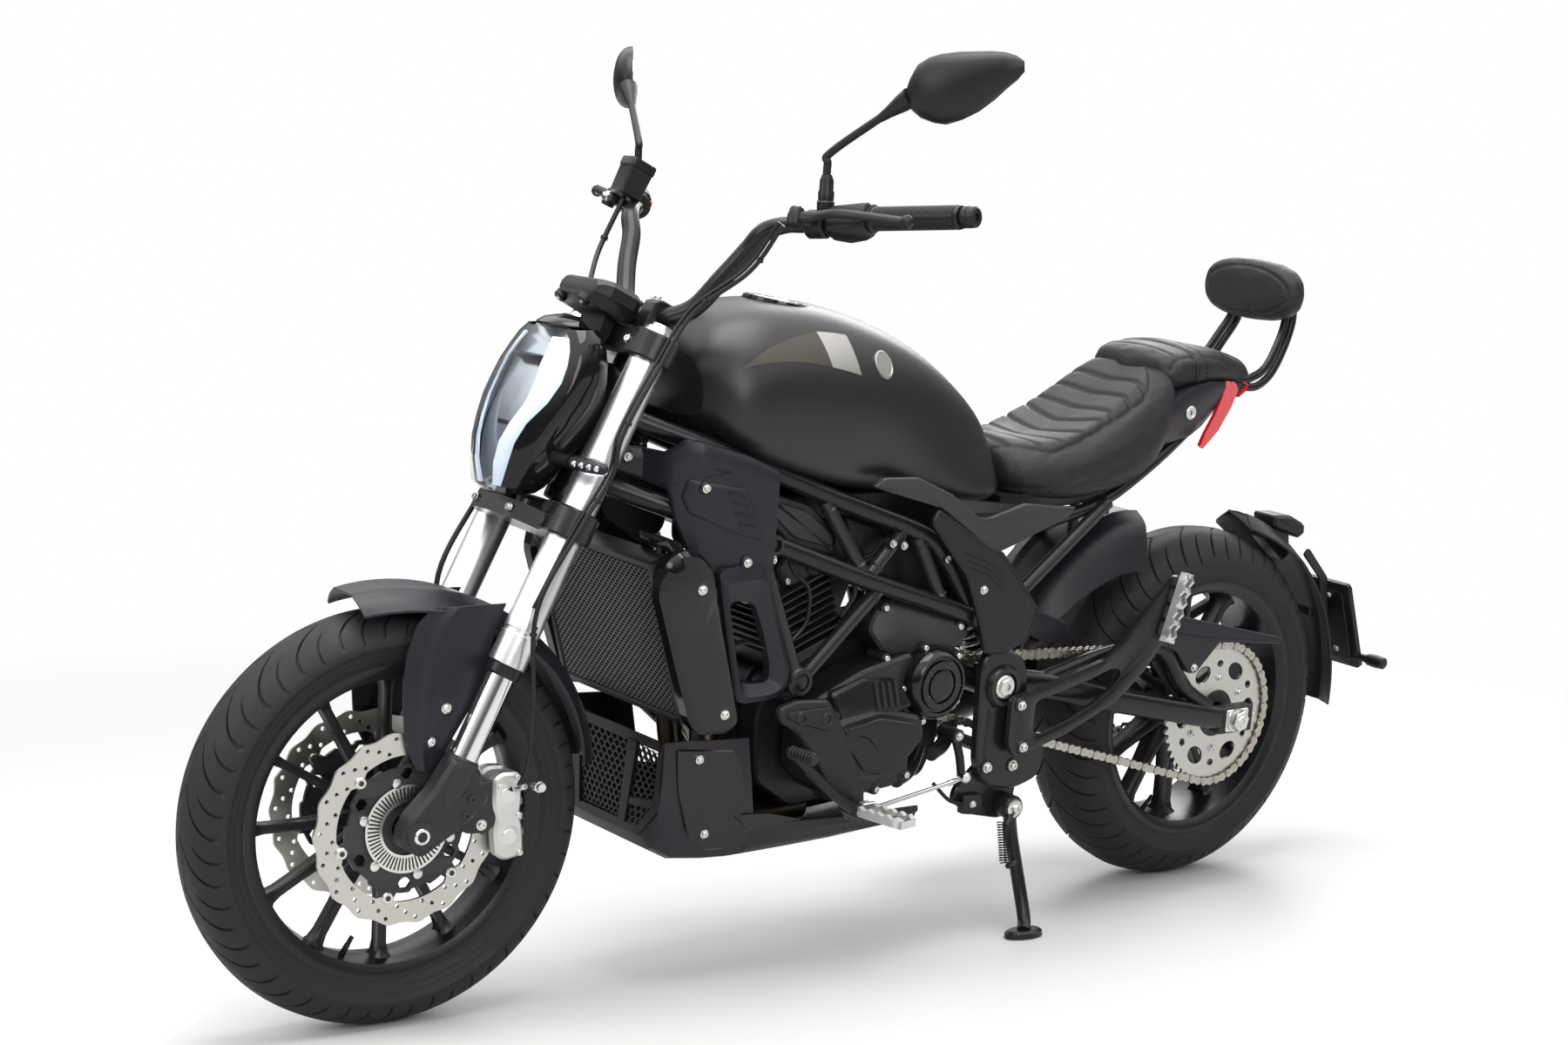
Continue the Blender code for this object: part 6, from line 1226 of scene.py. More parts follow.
def cushion(name, node, voxel, swell, held, relief, moved=None):
    """A simulated cover over a node's solid: moved(spot) shapes the blank, swell caps its growth
    under pressure, held(spot) pins it, and relief(spot, out) is the depth sewn in."""
    mesh = nodes[node].data.copy()
    middle = sum((v.co for v in mesh.vertices), Vector()) / len(mesh.vertices)
    for v in mesh.vertices:
        v.co = middle + (v.co - middle) * 0.985
    piece = bpy.data.objects.new(name, mesh)
    bpy.context.scene.collection.objects.link(piece)
    evaluated(piece, [("REMESH", {"mode": "VOXEL", "voxel_size": voxel}),
                      ("SMOOTH", {"factor": 0.5, "iterations": 14})])
    if moved:
        for v in piece.data.vertices:
            v.co = moved(v.co)
    start = [v.co.copy() for v in piece.data.vertices]
    pins = piece.vertex_groups.new(name="held")
    pins.add([k for k, co in enumerate(start) if held(to_bike @ co)], 1.0, "REPLACE")
    cloth = piece.modifiers.new("cloth", "CLOTH")
    cloth.settings.quality = 5
    cloth.settings.mass = 0.35
    cloth.settings.tension_stiffness = 22
    cloth.settings.compression_stiffness = 22
    cloth.settings.bending_stiffness = 2.0
    cloth.settings.use_pressure = True
    cloth.settings.uniform_pressure_force = 4.0
    cloth.settings.effector_weights.gravity = 0.0
    cloth.settings.vertex_group_mass = "held"
    cloth.point_cache.frame_start, cloth.point_cache.frame_end = 1, CLOTH_STEPS
    for step in range(1, CLOTH_STEPS + 1):
        bpy.context.scene.frame_set(step)
    full = bpy.data.meshes.new_from_object(piece.evaluated_get(bpy.context.evaluated_depsgraph_get()))
    piece.modifiers.clear()
    for v, co, grown in zip(piece.data.vertices, start, full.vertices):
        move = grown.co - co
        v.co = co + move * min(1.0, swell / max(move.length, 1e-6))
    bpy.context.scene.frame_set(1)
    evaluated(piece, [("SUBSURF", {"levels": 1, "render_levels": 1})])
    normals = [v.normal.copy() for v in piece.data.vertices]
    for v, out in zip(piece.data.vertices, normals):
        v.co += out * relief(to_bike @ v.co, to_bike.to_3x3() @ out)
    piece.data.materials.clear()
    piece.data.materials.append(seat_leather)
    piece.data.shade_smooth()
    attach(piece, "frame")
    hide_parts(node)
    return piece


def groove(away, width):
    """A seam's depth, as a share, at a distance from its line."""
    return math.exp(-(away / width) ** 2)


# Rider seat: a long saddle with eight cross ribs between its border seams, drawn back a little
# over the tail so that it meets the passenger pad.
seat_ribs = (0.52, 0.478, 0.436, 0.394, 0.352, 0.312, 0.274, 0.24)


def rider_drawn(spot):
    near = min(1.0, max(0.0, (0.38 - (to_bike @ spot).x) / 0.16))
    return spot - ahead * 0.034 * near * near * (3 - 2 * near)


def seat_sewing(spot, out):
    if out.z < 0.15:
        return -0.0015 * groove(spot.z - (0.734 + 0.1 * max(0, 0.36 - spot.x)), 0.004)
    along = (0.545 - spot.x) / 0.335
    reach = 0.098 - 0.07 * max(0.0, (0.3 - along) / 0.3) ** 1.6 - 0.04 * max(0.0, (along - 0.86) / 0.14) ** 2
    border = abs(spot.y) - reach
    deep = -0.0026 * groove(border, 0.0034) if 0.0 < along < 1.0 else 0.0
    if border < 0:
        bow = 0.55 * spot.y * spot.y / 0.1
        for x in seat_ribs:
            deep -= 0.0044 * groove(spot.x - x + bow * (0.3 if x > 0.34 else -0.1), 0.0042)
        deep += 0.0016
    return deep


cushion("rider_seat_sewn", "rider_seat", 0.0055, 0.007, lambda p: p.z < 0.722 + 0.3 * max(0.0, 0.3 - p.x),
        seat_sewing, rider_drawn)


# Passenger pad: a short thick pad with one cross seam, its underside filled out to the tail.
def pillion_drawn(spot):
    x, y, z = to_bike @ spot
    near = min(1.0, max(0.0, (x - 0.05) / 0.13))
    return MACHINE @ Vector((x + 0.022 * near * near * (3 - 2 * near), y * 1.04,
                             z - 0.7 * max(0.0, 0.926 - z)))


def pillion_sewing(spot, out):
    deep = 0.0
    if out.z > 0.2:
        deep -= 0.0022 * groove(abs(spot.y) - (0.088 - 0.2 * max(0, 0.02 - spot.x)), 0.0034)
        deep -= 0.0022 * groove(spot.x - 0.172, 0.0034)
    return deep


pillion = cushion("passenger_seat_sewn", "passenger_seat", 0.005, 0.006, lambda p: p.z < 0.886,
                  pillion_sewing, pillion_drawn)


# Back pad: an oval foam pad on the backrest arms, its leather sewn with one seam round the
# face.
def back_sewing(spot, out):
    ring = math.hypot(spot.y / 0.094, (spot.z - 1.038) / 0.04)
    return -0.0018 * groove((ring - 1.0) * 0.06, 0.003) if abs(out.x) > 0.4 else 0.0


cushion("back_pad_sewn", "backrest_pad", 0.0045, 0.006, lambda p: p.x < -0.112, back_sewing)

# Passenger strap: a stitched leather band drawn tight over the pad, its ends tucked under
# the tail panels.
hide = BVHTree.FromPolygons([v.co.copy() for v in pillion.data.vertices],
                            [p.vertices[:] for p in pillion.data.polygons])


def on_pad(x, angle, lift):
    """A spot over the pad's cover at a station x, seen at an angle from its middle."""
    heart = MACHINE @ Vector((x, 0, 0.9))
    way = (MACHINE.to_3x3() @ Vector((0, math.cos(angle), math.sin(angle)))).normalized()
    hit = hide.ray_cast(heart + way * 0.3, -way)[0]
    return to_bike @ (hit + way * lift)


bm = bmesh.new()
rows = []
for k in range(49):
    a = math.pi * (k - 4) / 40
    rows.append([on_pad(x, a, lift) for x, lift in ((0.104, -0.002), (0.104, 0.0012), (0.107, 0.0026),
            (0.119, 0.003), (0.131, 0.0026), (0.134, 0.0012), (0.134, -0.002))])
skin_rows(bm, rows)
hung("passenger_strap", bm, MACHINE, seat_leather, "frame", 50)

# Strap thread: two rows of dark stitches along the strap's edges, sewn through its two
# layers.
bm = bmesh.new()
for x in (0.1085, 0.1295):
    for k in range(44):
        a0, a1 = math.pi * (k + 0.15) / 44, math.pi * (k + 0.72) / 44
        rod_along(bm, on_pad(x, a0, 0.003), on_pad(x, a1, 0.003),
                  [(0, 0.0004), (0.2, 0.0007), (0.8, 0.0007), (1, 0.0004)], 6)
hung("strap_thread", bm, MACHINE, hose_rubber, "frame")

# Steering-head fairings: moulded in violet-black plastic over the top rail on each side,
# with a raised sub-panel, cap screws and an air scoop with a vane.
def crowned(bm, outline, y_at, thick, look=0, side=1, edge=0.0015, centre=None, rings=(1.0, 0.82, 0.6, 0.35)):
    """A panel over an outline in x and z whose face follows y_at, with an eased edge."""
    cx = centre[0] if centre else sum(p[0] for p in outline) / len(outline)
    cz = centre[1] if centre else sum(p[1] for p in outline) / len(outline)
    drawn = inset(outline, edge)
    shapes = [[(cx + (x - cx) * k, cz + (z - cz) * k) for x, z in drawn] for k in rings]
    rows = [[(x, side * (y_at(x, z) - thick), z) for x, z in line] for line in reversed(shapes)]
    rows.append([(x, side * (y_at(x, z) - thick + edge), z) for x, z in outline])
    rows.append([(x, side * (y_at(x, z) - edge), z) for x, z in outline])
    rows += [[(x, side * y_at(x, z), z) for x, z in line] for line in shapes]
    skin_rows(bm, rows, look=look)


def line_on(bm, points, y_at, side, size=0.0011, look=0, closed=False):
    """A thin moulded line that lies half sunk in a face."""
    pts = [Vector((x, side * y_at(x, z), z)) for x, z in points]
    for a, b in zip(pts, pts[1:] + (pts[:1] if closed else [])):
        rod_along(bm, a, b, [(0, size), (1, size)], 6, look)


def between(table, x):
    """Read a value from a table of (x, value) that runs down in x."""
    for (x0, a), (x1, b) in zip(table, table[1:]):
        if x >= x1:
            return a + (b - a) * min(1.0, max(0.0, (x0 - x) / (x0 - x1)))
    return table[-1][1]


# Along the fairing: how far out its face lies, and its upper and lower edges.
fairing_y = ((1.272, 0.05), (1.24, 0.07), (1.226, 0.116), (1.216, 0.1258), (1.19, 0.145), (1.12, 0.168),
             (1.07, 0.172))
fairing_top = ((1.272, 0.824), (1.226, 0.822), (1.205, 0.842), (1.19, 0.842), (1.12, 0.822), (1.07, 0.8))
fairing_foot = ((1.272, 0.788), (1.24, 0.778), (1.226, 0.77), (1.216, 0.722), (1.19, 0.655), (1.12, 0.64),
                (1.07, 0.652))


def on_fairing(x, z):
    """How far out the fairing's face lies, the same at every height z."""
    return between(fairing_y, x)


def fairing_panel(side, name):
    """The main shell, its raised sub-panel with four ribs, three screws, and the scoop with its vane."""
    bm = bmesh.new()
    rows = []
    for k in range(41):
        x = 1.272 - 0.202 * k / 40
        y, top, foot = between(fairing_y, x), between(fairing_top, x), between(fairing_foot, x)
        line = [(x, side * (y - 0.017), top + 0.001), (x, side * (y - 0.006), top - 0.001)]
        for q in range(13):
            z = top - 0.012 + (foot + 0.003 - top + 0.012) * q / 12
            crease = 0.0035 * max(0.0, 1 - abs(z - 0.745 - 0.25 * (x - 1.16)) / 0.012) if x < 1.21 else 0.0
            line.append((x, side * (y + crease * 0.6), z))
        line += [(x, side * (y - 0.004), foot - 0.001), (x, side * (y - 0.0075), foot + 0.001),
                 (x, side * (y - 0.0075), top - 0.016)]
        rows.append(line)
    skin_rows(bm, rows)
    sub = rounded_outline([(1.208, 0.788), (1.128, 0.776), (1.092, 0.7), (1.124, 0.706), (1.204, 0.738),
                           (1.214, 0.762)], 0.006)
    crowned(bm, sub, lambda x, z: on_fairing(x, z) + 0.0042, 0.006, 0, side, centre=(1.16, 0.75))
    face = lambda x, z: on_fairing(x, z) + 0.0043
    for k in range(4):
        x, z = 1.128 - 0.006 * k, 0.7655 - 0.015 * k
        line_on(bm, [(x, z), (x + 0.013, z + 0.003), (x + 0.026, z + 0.0055)], face, side, 0.0017)
    for x, z in ((1.186, 0.7765), (1.118, 0.668), (1.262, 0.81)):
        spot = (x, side * (on_fairing(x, z) + 0.0035), z)
        rod_along(bm, (x, side * (on_fairing(x, z) - 0.002), z), spot,
                  [(0, 0.01), (0.7, 0.01), (1, 0.0085)], 24)
        bolt(bm, spot, (0.05, side, 0), 0.0052, 1)
    line_on(bm, [(1.236, 0.812), (1.172, 0.803), (1.148, 0.8), (1.186, 0.792), (1.222, 0.779)],
            lambda x, z: on_fairing(x, z) + 0.0002, side, 0.0009, 2)
    outer = rounded_outline([(1.168, 0.66), (1.078, 0.668), (1.05, 0.575), (1.022, 0.5), (1.026, 0.468),
                             (1.052, 0.457), (1.11, 0.455), (1.123, 0.47)], 0.016, 6)
    opening = rounded_outline([(1.143, 0.612), (1.094, 0.606), (1.074, 0.562), (1.056, 0.51),
                               (1.056, 0.486), (1.066, 0.482), (1.104, 0.484), (1.112, 0.494)], 0.012, 6)
    rows = []
    for loop, y, near in ((outer, 0.1585, 0), (outer, 0.1695, 0), (None, 0.1775, 0.4), (opening, 0.164, 1),
                          (opening, 0.149, 1), (None, 0.156, 0.5)):
        if loop is None:
            loop = [(a[0] * (1 - near) + b[0] * near, a[1] * (1 - near) + b[1] * near) for a,
                    b in zip(outer, opening)]
        rows.append([(x, side * y, z) for x, z in loop])
    skin_rows(bm, rows, loop=True)
    rows = [[(x, side * (0.151 + dy), z + dz) for dy, dz in ((0, -0.003), (0.012, -0.001), (0.012, 0.001),
            (0, 0.003))] for x, z in ((1.128, 0.541), (1.1, 0.545), (1.066, 0.534))]
    skin_rows(bm, rows)
    made = hung(name, bm, MACHINE, violet_black, "frame", 32, (zinc_bolt, hose_rubber))
    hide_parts("fairing_left" if side > 0 else "fairing_right")


fairing_panel(1, "fairing_left_moulded")
fairing_panel(-1, "fairing_right_moulded")

# Radiator: an aluminium core with upright fins in a black frame, tilted back behind the
# front wheel and hung from the frame.
def mesh_field(bm, corners, out, cols, rows_n, share, deep):
    """Staggered six-sided holes over a quadrilateral, given as four corners in order."""
    c0, c1, c2, c3 = [Vector(c) for c in corners]
    ring = [(-1, -0.42), (0, -1.58), (1, -0.42), (1, 0.42), (0, 1.58), (-1, 0.42)]

    def place(u, v):
        u = min(1.0, max(0.0, u))
        return (c0 * (1 - u) + c1 * u) * (1 - v) + (c3 * (1 - u) + c2 * u) * v

    for r in range(rows_n):
        for c in range(cols + (r % 2)):
            u0 = (c + (0.5 if r % 2 == 0 else 0.0)) / cols
            v0 = (r + 0.5) / rows_n
            du, dv = 0.5 / cols, 0.5 / rows_n
            outer = [place(u0 + a * du, min(1, max(0, v0 + b * dv))) for a, b in ring]
            middle = sum(outer, Vector()) / 6
            inner = [middle + (p - middle) * share for p in outer]
            ov = [bm.verts.new(p) for p in outer]
            iv = [bm.verts.new(p) for p in inner]
            bv = [bm.verts.new(p - out * deep) for p in inner]
            for k in range(6):
                n = (k + 1) % 6
                for quad in ((ov[k], ov[n], iv[n], iv[k]), (iv[k], iv[n], bv[n], bv[k])):
                    bm.faces.new(quad)


RAD_TILT = math.radians(17.6)
RAD = MACHINE @ Matrix.Translation((1.236, 0, 0.552)) @ Matrix.Rotation(RAD_TILT, 4, "Y")
bar_shape = ((0.001, -0.006), (0.0045, -0.004), (0.0045, 0.004), (0.001, 0.006), (-0.03, 0.006),
             (-0.03, -0.006))
bm = bmesh.new()
for y in (-0.1475, 0.1475):
    skin_rows(bm, [[(x, y + d, z) for x, d in bar_shape] for z in (-0.127, 0.127)])
for z in (-0.123, 0.123):
    skin_rows(bm, [[(x, y, z + d) for x, d in bar_shape] for y in (-0.15, 0.15)])
skin_rows(bm, [[(x, -0.146, z), (x, 0.146, z)] for x, z in ((-0.036, -0.12), (-0.036, 0.12), (-0.016, 0.12),
        (-0.016, -0.12))], loop=True, around=False, look=1)
for k in range(58):
    y = -0.1425 + 0.005 * k
    skin_rows(bm, [[(-0.0155, y, z), (-0.0125, y, z)] for z in (-0.118, 0.118)], around=False, ends=False,
              look=1)
core_fins = coating("core_fins", (0.05, 0.05, 0.05), 0.5, metal=0.6)
made = hung("radiator_core", bm, RAD, plain_black, "frame", 40, (core_fins,))
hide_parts("radiator")

# Radiator mesh: a thin pressed grille of staggered six-sided holes, clipped into the frame
# in front of the core.
grille_paint = coating("grille_paint", (0.05, 0.05, 0.051), 0.34, metal=0.3, relief=0.05)
bm = bmesh.new()
mesh_field(bm, ((0.0025, 0.142, 0.117), (0.0025, -0.142, 0.117), (0.0025, -0.142, -0.117),
                (0.0025, 0.142, -0.117)), Vector((1, 0, 0)), 26, 46, 0.7, 0.003)
hung("radiator_mesh", bm, RAD, grille_paint, "frame", 60)


# Radiator shrouds: gloss black mouldings with domed shoulders, screwed to the frame through a
# tab at the top.
def shroud_y(x, z):
    """How far out a shroud's face lies."""
    along = (x - 1.143 - (z - 0.44) * 0.34)
    dome = max(0.0, 1 - ((x - 1.218) ** 2 + (z - 0.64) ** 2) / 0.052 ** 2)
    return 0.1795 + 0.0055 * dome ** 0.5 - 0.1 * max(0.0, abs(along - 0.03) - 0.03)


for side, name in ((1, "radiator_shroud_left"), (-1, "radiator_shroud_right")):
    bm = bmesh.new()
    edge = rounded_outline([(1.268, 0.678), (1.24, 0.694), (1.206, 0.688), (1.18, 0.662), (1.172, 0.628),
                            (1.126, 0.48), (1.112, 0.428), (1.132, 0.416), (1.182, 0.416), (1.204, 0.434),
                            (1.236, 0.52), (1.276, 0.632)], 0.012)
    crowned(bm, edge, shroud_y, 0.03, 0, side, edge=0.006, centre=(1.195, 0.56),
            rings=(1.0, 0.86, 0.7, 0.5, 0.25))
    for x, z in ((1.207, 0.637), (1.146, 0.446)):
        spot = Vector((x, side * (shroud_y(x, z) + 0.0005), z))
        rod_along(bm, spot - Vector((0, side * 0.003, 0)), spot, [(0, 0.0105), (0.6, 0.0105), (1, 0.009)], 24)
        bolt(bm, spot, (0.1, side, 0), 0.0056, 1)
    for x, z in ((1.246, 0.694), (1.228, 0.699)):
        rod_along(bm, (x, side * 0.13, z - 0.012), (x, side * 0.13, z), [(0, 0.007), (1, 0.006)], 16)
    tab = rounded_outline([(1.254, 0.7), (1.226, 0.692), (1.216, 0.678), (1.23, 0.666), (1.25, 0.68)], 0.003)
    rows = [[(x, side * y, z + dz) for x, z in tab] for y, dz in ((0.086, 0.006), (0.088, 0.01),
            (0.15, 0.008), (0.166, -0.004))]
    skin_rows(bm, rows)
    for x, y in ((1.246, 0.106), (1.24, 0.14)):
        bolt(bm, (x, side * y, 0.7085 - (1.292 - x) * 0.25), (-0.2, 0, 1), 0.0048, 1)
    hung(name, bm, MACHINE, gloss_black, "frame", 34, (zinc_bolt,))

# Belly pan: a thin moulded tray under the engine, open at the top, with gloss flanks
# screwed to its sides.
PAN_THICK = 0.004
bm = bmesh.new()
pan_rows = []
pan_shape = ((1.2255, 0.402, 0.25, 0.146, 0.1), (1.215, 0.402, 0.23, 0.148, 0.108),
             (1.18, 0.402, 0.212, 0.15, 0.112), (1.12, 0.398, 0.205, 0.1515, 0.115),
             (1.075, 0.396, 0.202, 0.152, 0.116), (1.062, 0.33, 0.202, 0.15, 0.116),
             (1.05, 0.262, 0.202, 0.148, 0.116), (0.96, 0.252, 0.202, 0.145, 0.114),
             (0.88, 0.246, 0.203, 0.14, 0.112), (0.79, 0.243, 0.205, 0.135, 0.106),
             (0.705, 0.24, 0.208, 0.13, 0.1))
for x, top, low, wide, foot in pan_shape:
    knee = low + min(0.045, (top - low) * 0.5)
    outer = [(wide, top), (wide + 0.0012, (top + knee) / 2), (wide - 0.0035, knee + 0.004),
             (wide - 0.0085, knee - 0.008), (foot + 0.008, low + 0.005), (foot - 0.004, low)]
    inner = [(y - PAN_THICK, z + (0.0 if z > knee else PAN_THICK * 0.8)) for y, z in outer]
    pan_rows.append([(x, y, z) for y, z in outer] + [(x, -y, z) for y, z in reversed(outer)]
                    + [(x, -y, z) for y, z in inner] + [(x, y, z) for y, z in reversed(inner)])
skin_rows(bm, pan_rows)


def flank_y(x, z):
    """How far out a flank's face lies."""
    return 0.1535 - max(0.0, 0.262 - z) * 0.42 - max(0, 1.06 - x) * 0.062


for side in (1, -1):
    flank = rounded_outline([(1.206, 0.392), (1.15, 0.386), (1.098, 0.38), (1.084, 0.352), (1.078, 0.27),
                             (1.06, 0.252), (0.88, 0.236), (0.884, 0.226), (1.06, 0.222), (1.13, 0.226),
                             (1.176, 0.26), (1.2, 0.33)], 0.008)
    crowned(bm, flank, flank_y, 0.004, 1, side,
            centre=(1.12, 0.3), rings=(1.0, 0.9, 0.7, 0.4))
    for x, z in ((1.166, 0.374), (1.146, 0.258), (0.905, 0.2375)):
        spot = Vector((x, side * (flank_y(x, z) + 0.0005), z))
        rod_along(bm, spot - Vector((0, side * 0.004, 0)), spot, [(0, 0.01), (0.7, 0.01), (1, 0.0086)], 24, 1)
        bolt(bm, spot, (0, side, -0.1), 0.0052, 2)
made = hung("belly_pan_moulded", bm, MACHINE, violet_black, "frame", 30, (gloss_black, zinc_bolt))
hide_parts("belly_pan")

# Belly pan grille: the nose is pierced by six-sided slots in a middle field and two on
# each side, behind a frame with two bars.
nose_x = 1.2262
front = Vector((1, 0, 0))
bm = bmesh.new()
for side in (1, -1):
    mesh_field(bm, ((nose_x, side * 0.136, 0.384), (nose_x, side * 0.082, 0.388), (nose_x, side * 0.066, 0.3),
                    (nose_x, side * 0.13, 0.312)), front, 4, 9, 0.74, 0.004)
    mesh_field(bm, ((nose_x, side * 0.122, 0.3), (nose_x, side * 0.058, 0.292), (nose_x, side * 0.05, 0.264),
                    (nose_x, side * 0.098, 0.264)), front, 4, 3, 0.72, 0.004)
mesh_field(bm, ((nose_x, 0.064, 0.388), (nose_x, -0.064, 0.388), (nose_x, -0.044, 0.266),
                (nose_x, 0.044, 0.266)), front, 8, 13, 0.74, 0.004)
hung("belly_pan_grille", bm, MACHINE, plain_black, "frame", 60)
bm = bmesh.new()
skin_rows(bm, [[(nose_x + dx, y, z) for dx, z in ((0.0015, 0.402), (0.0015, 0.3875), (-0.003, 0.3875),
        (-0.003, 0.402))] for y in (-0.1445, 0.1445)])
for side in (1, -1):
    rim = ((0.1445, 0.402), (0.1425, 0.3), (0.1, 0.252), (0.0, 0.25), (0.0, 0.264), (0.096, 0.264),
           (0.131, 0.306), (0.1355, 0.402))
    skin_rows(bm, [[(nose_x + dx, side * y, z) for y, z in rim] for dx in (-0.003, 0.0015)])
    bar = ((0.084, 0.39), (0.062, 0.39), (0.05, 0.262), (0.066, 0.262))
    skin_rows(bm, [[(nose_x + dx, side * y, z) for y, z in bar] for dx in (-0.003, 0.0035)])
    shelf = ((0.136, 0.312), (0.064, 0.302), (0.063, 0.291), (0.128, 0.3))
    skin_rows(bm, [[(nose_x + dx, side * y, z) for y, z in shelf] for dx in (-0.003, 0.0022)])
hung("belly_pan_nose", bm, MACHINE, plain_black, "frame", 40)

# Trellis frame: round steel tubes mitred and welded into two rails with braces, machined
# bosses and a bored steering head, all under satin black paint.
def weld(bm, spot, way, radius):
    """A rippled bead round a tube's end."""
    spot, way = Vector(spot), Vector(way).normalized()
    across = way.cross(Vector((0.13, 0.31, 0.94))).normalized()
    over = way.cross(across)
    ring = []
    for k, a in enumerate(full_turn(40)):
        out = across * math.cos(a) + over * math.sin(a)
        size = 0.0024 if k % 2 else 0.003
        ring.append([spot + out * radius + (out * math.cos(t) + way * math.sin(t)) * size
                     for t in (0, math.pi / 2, math.pi, 3 * math.pi / 2)])
    skin_rows(bm, ring, loop=True)


def both(route):
    """A route on the left side and its mirror image."""
    return (route, [(x, -y, z) for x, y, z in route])


BRACE_R = 0.0112
rails = (([(1.262, 0.02, 0.868), (1.18, 0.072, 0.838), (1.104, 0.108, 0.812), (0.916, 0.122, 0.741),
           (0.745, 0.126, 0.68), (0.704, 0.127, 0.65), (0.672, 0.129, 0.61), (0.64, 0.132, 0.56)], 0.015),
         ([(1.308, 0.02, 0.776), (1.25, 0.07, 0.754), (1.2, 0.104, 0.736), (1.098, 0.14, 0.702),
           (0.98, 0.144, 0.66), (0.86, 0.144, 0.617), (0.64, 0.138, 0.545), (0.585, 0.136, 0.512)], 0.015),
         ([(0.708, 0.124, 0.65), (0.58, 0.117, 0.664), (0.45, 0.11, 0.68), (0.33, 0.102, 0.7042),
           (0.2, 0.088, 0.764), (0.08, 0.066, 0.828)], 0.0105))
braces = ([(1.13, 0.096, 0.815), (1.085, 0.14, 0.697)], [(1.076, 0.14, 0.69), (0.99, 0.146, 0.478)],
          [(0.838, 0.142, 0.6), (0.985, 0.146, 0.47)], [(0.94, 0.122, 0.74), (0.872, 0.142, 0.63)],
          [(0.782, 0.125, 0.686), (0.858, 0.142, 0.626)], [(0.752, 0.126, 0.675), (0.702, 0.139, 0.57)],
          [(0.6, 0.136, 0.52), (0.33, 0.114, 0.7042)])
bm = bmesh.new()
for route, radius in rails:
    for line in both(route):
        pipe(bm, line, radius, steps=4)
for brace in braces:
    for a, b in both(brace):
        pipe(bm, (a, b), BRACE_R)
        for end, way in ((a, Vector(b) - Vector(a)), (b, Vector(a) - Vector(b))):
            weld(bm, Vector(end) + way.normalized() * 0.015, way, BRACE_R)
for a, b, r in (((0.662, -0.129, 0.549), (0.662, 0.129, 0.549), BRACE_R),
                ((0.33, -0.106, 0.7042), (0.33, 0.106, 0.7042), 0.0105),
                ((0.545, -0.131, 0.556), (0.545, 0.131, 0.556), BRACE_R),
                ((1.04, -0.14, 0.68), (1.04, 0.14, 0.68), BRACE_R)):
    pipe(bm, (a, b), r)
head_way = Vector((-math.sin(RAKE), 0, math.cos(RAKE)))
rod_along(bm, HEAD_BASE + head_way * 0.508, HEAD_BASE + head_way * 0.72,
          [(0, 0.0178), (0.0, 0.0262), (0.02, 0.0275), (0.1, 0.0275), (0.12, 0.025), (0.88, 0.025),
           (0.9, 0.0275), (0.98, 0.0275), (1.0, 0.0262), (1.0, 0.0178)], 40)
for s in (1, -1):
    for x, z, r, y0, y1 in ((0.988, 0.474, 0.0225, 0.126, 0.16), (0.585, 0.515, 0.0245, 0.122, 0.15)):
        rod_along(bm, (x, s * y0, z), (x, s * y1, z), [(0, r), (0.9, r), (1, r - 0.0025), (1, r * 0.62),
                (0.9, r * 0.58)], 32)
        rod_along(bm, (x, s * (y1 - 0.006), z), (x, s * (y1 - 0.001), z),
                  [(0, r * 0.55), (0.8, r * 0.55), (1, r * 0.45)], 28)
    boss = Vector((1.062, s * 0.14, 0.688))
    rod_along(bm, boss, boss + Vector((0, s * 0.026, 0)), [(0, 0.0165), (0.85, 0.0165), (1, 0.0145),
            (1, 0.0095), (0.8, 0.009)], 28)
    bolt(bm, (1.056, s * 0.152, 0.664), (0, s, -0.2), 0.0052, 1)
    bolt(bm, (1.036, s * 0.158, 0.466), (0, s, 0), 0.005, 2)
    for x, y, z in ((0.818, 0.148, 0.672), (0.797, 0.15, 0.668), (0.7, 0.146, 0.64), (0.742, 0.15, 0.58),
                    (0.72, 0.15, 0.573)):
        rod_along(bm, (x, s * (y - 0.018), z), (x, s * (y - 0.002), z), [(0, 0.0075), (1, 0.007)], 16)
        bolt(bm, (x, s * (y - 0.002), z), (0, s, 0.1), 0.0046, 1)
made = hung("frame_welded", bm, MACHINE, frame_paint, "frame", 36, (zinc_bolt, hose_rubber))
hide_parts("frame")

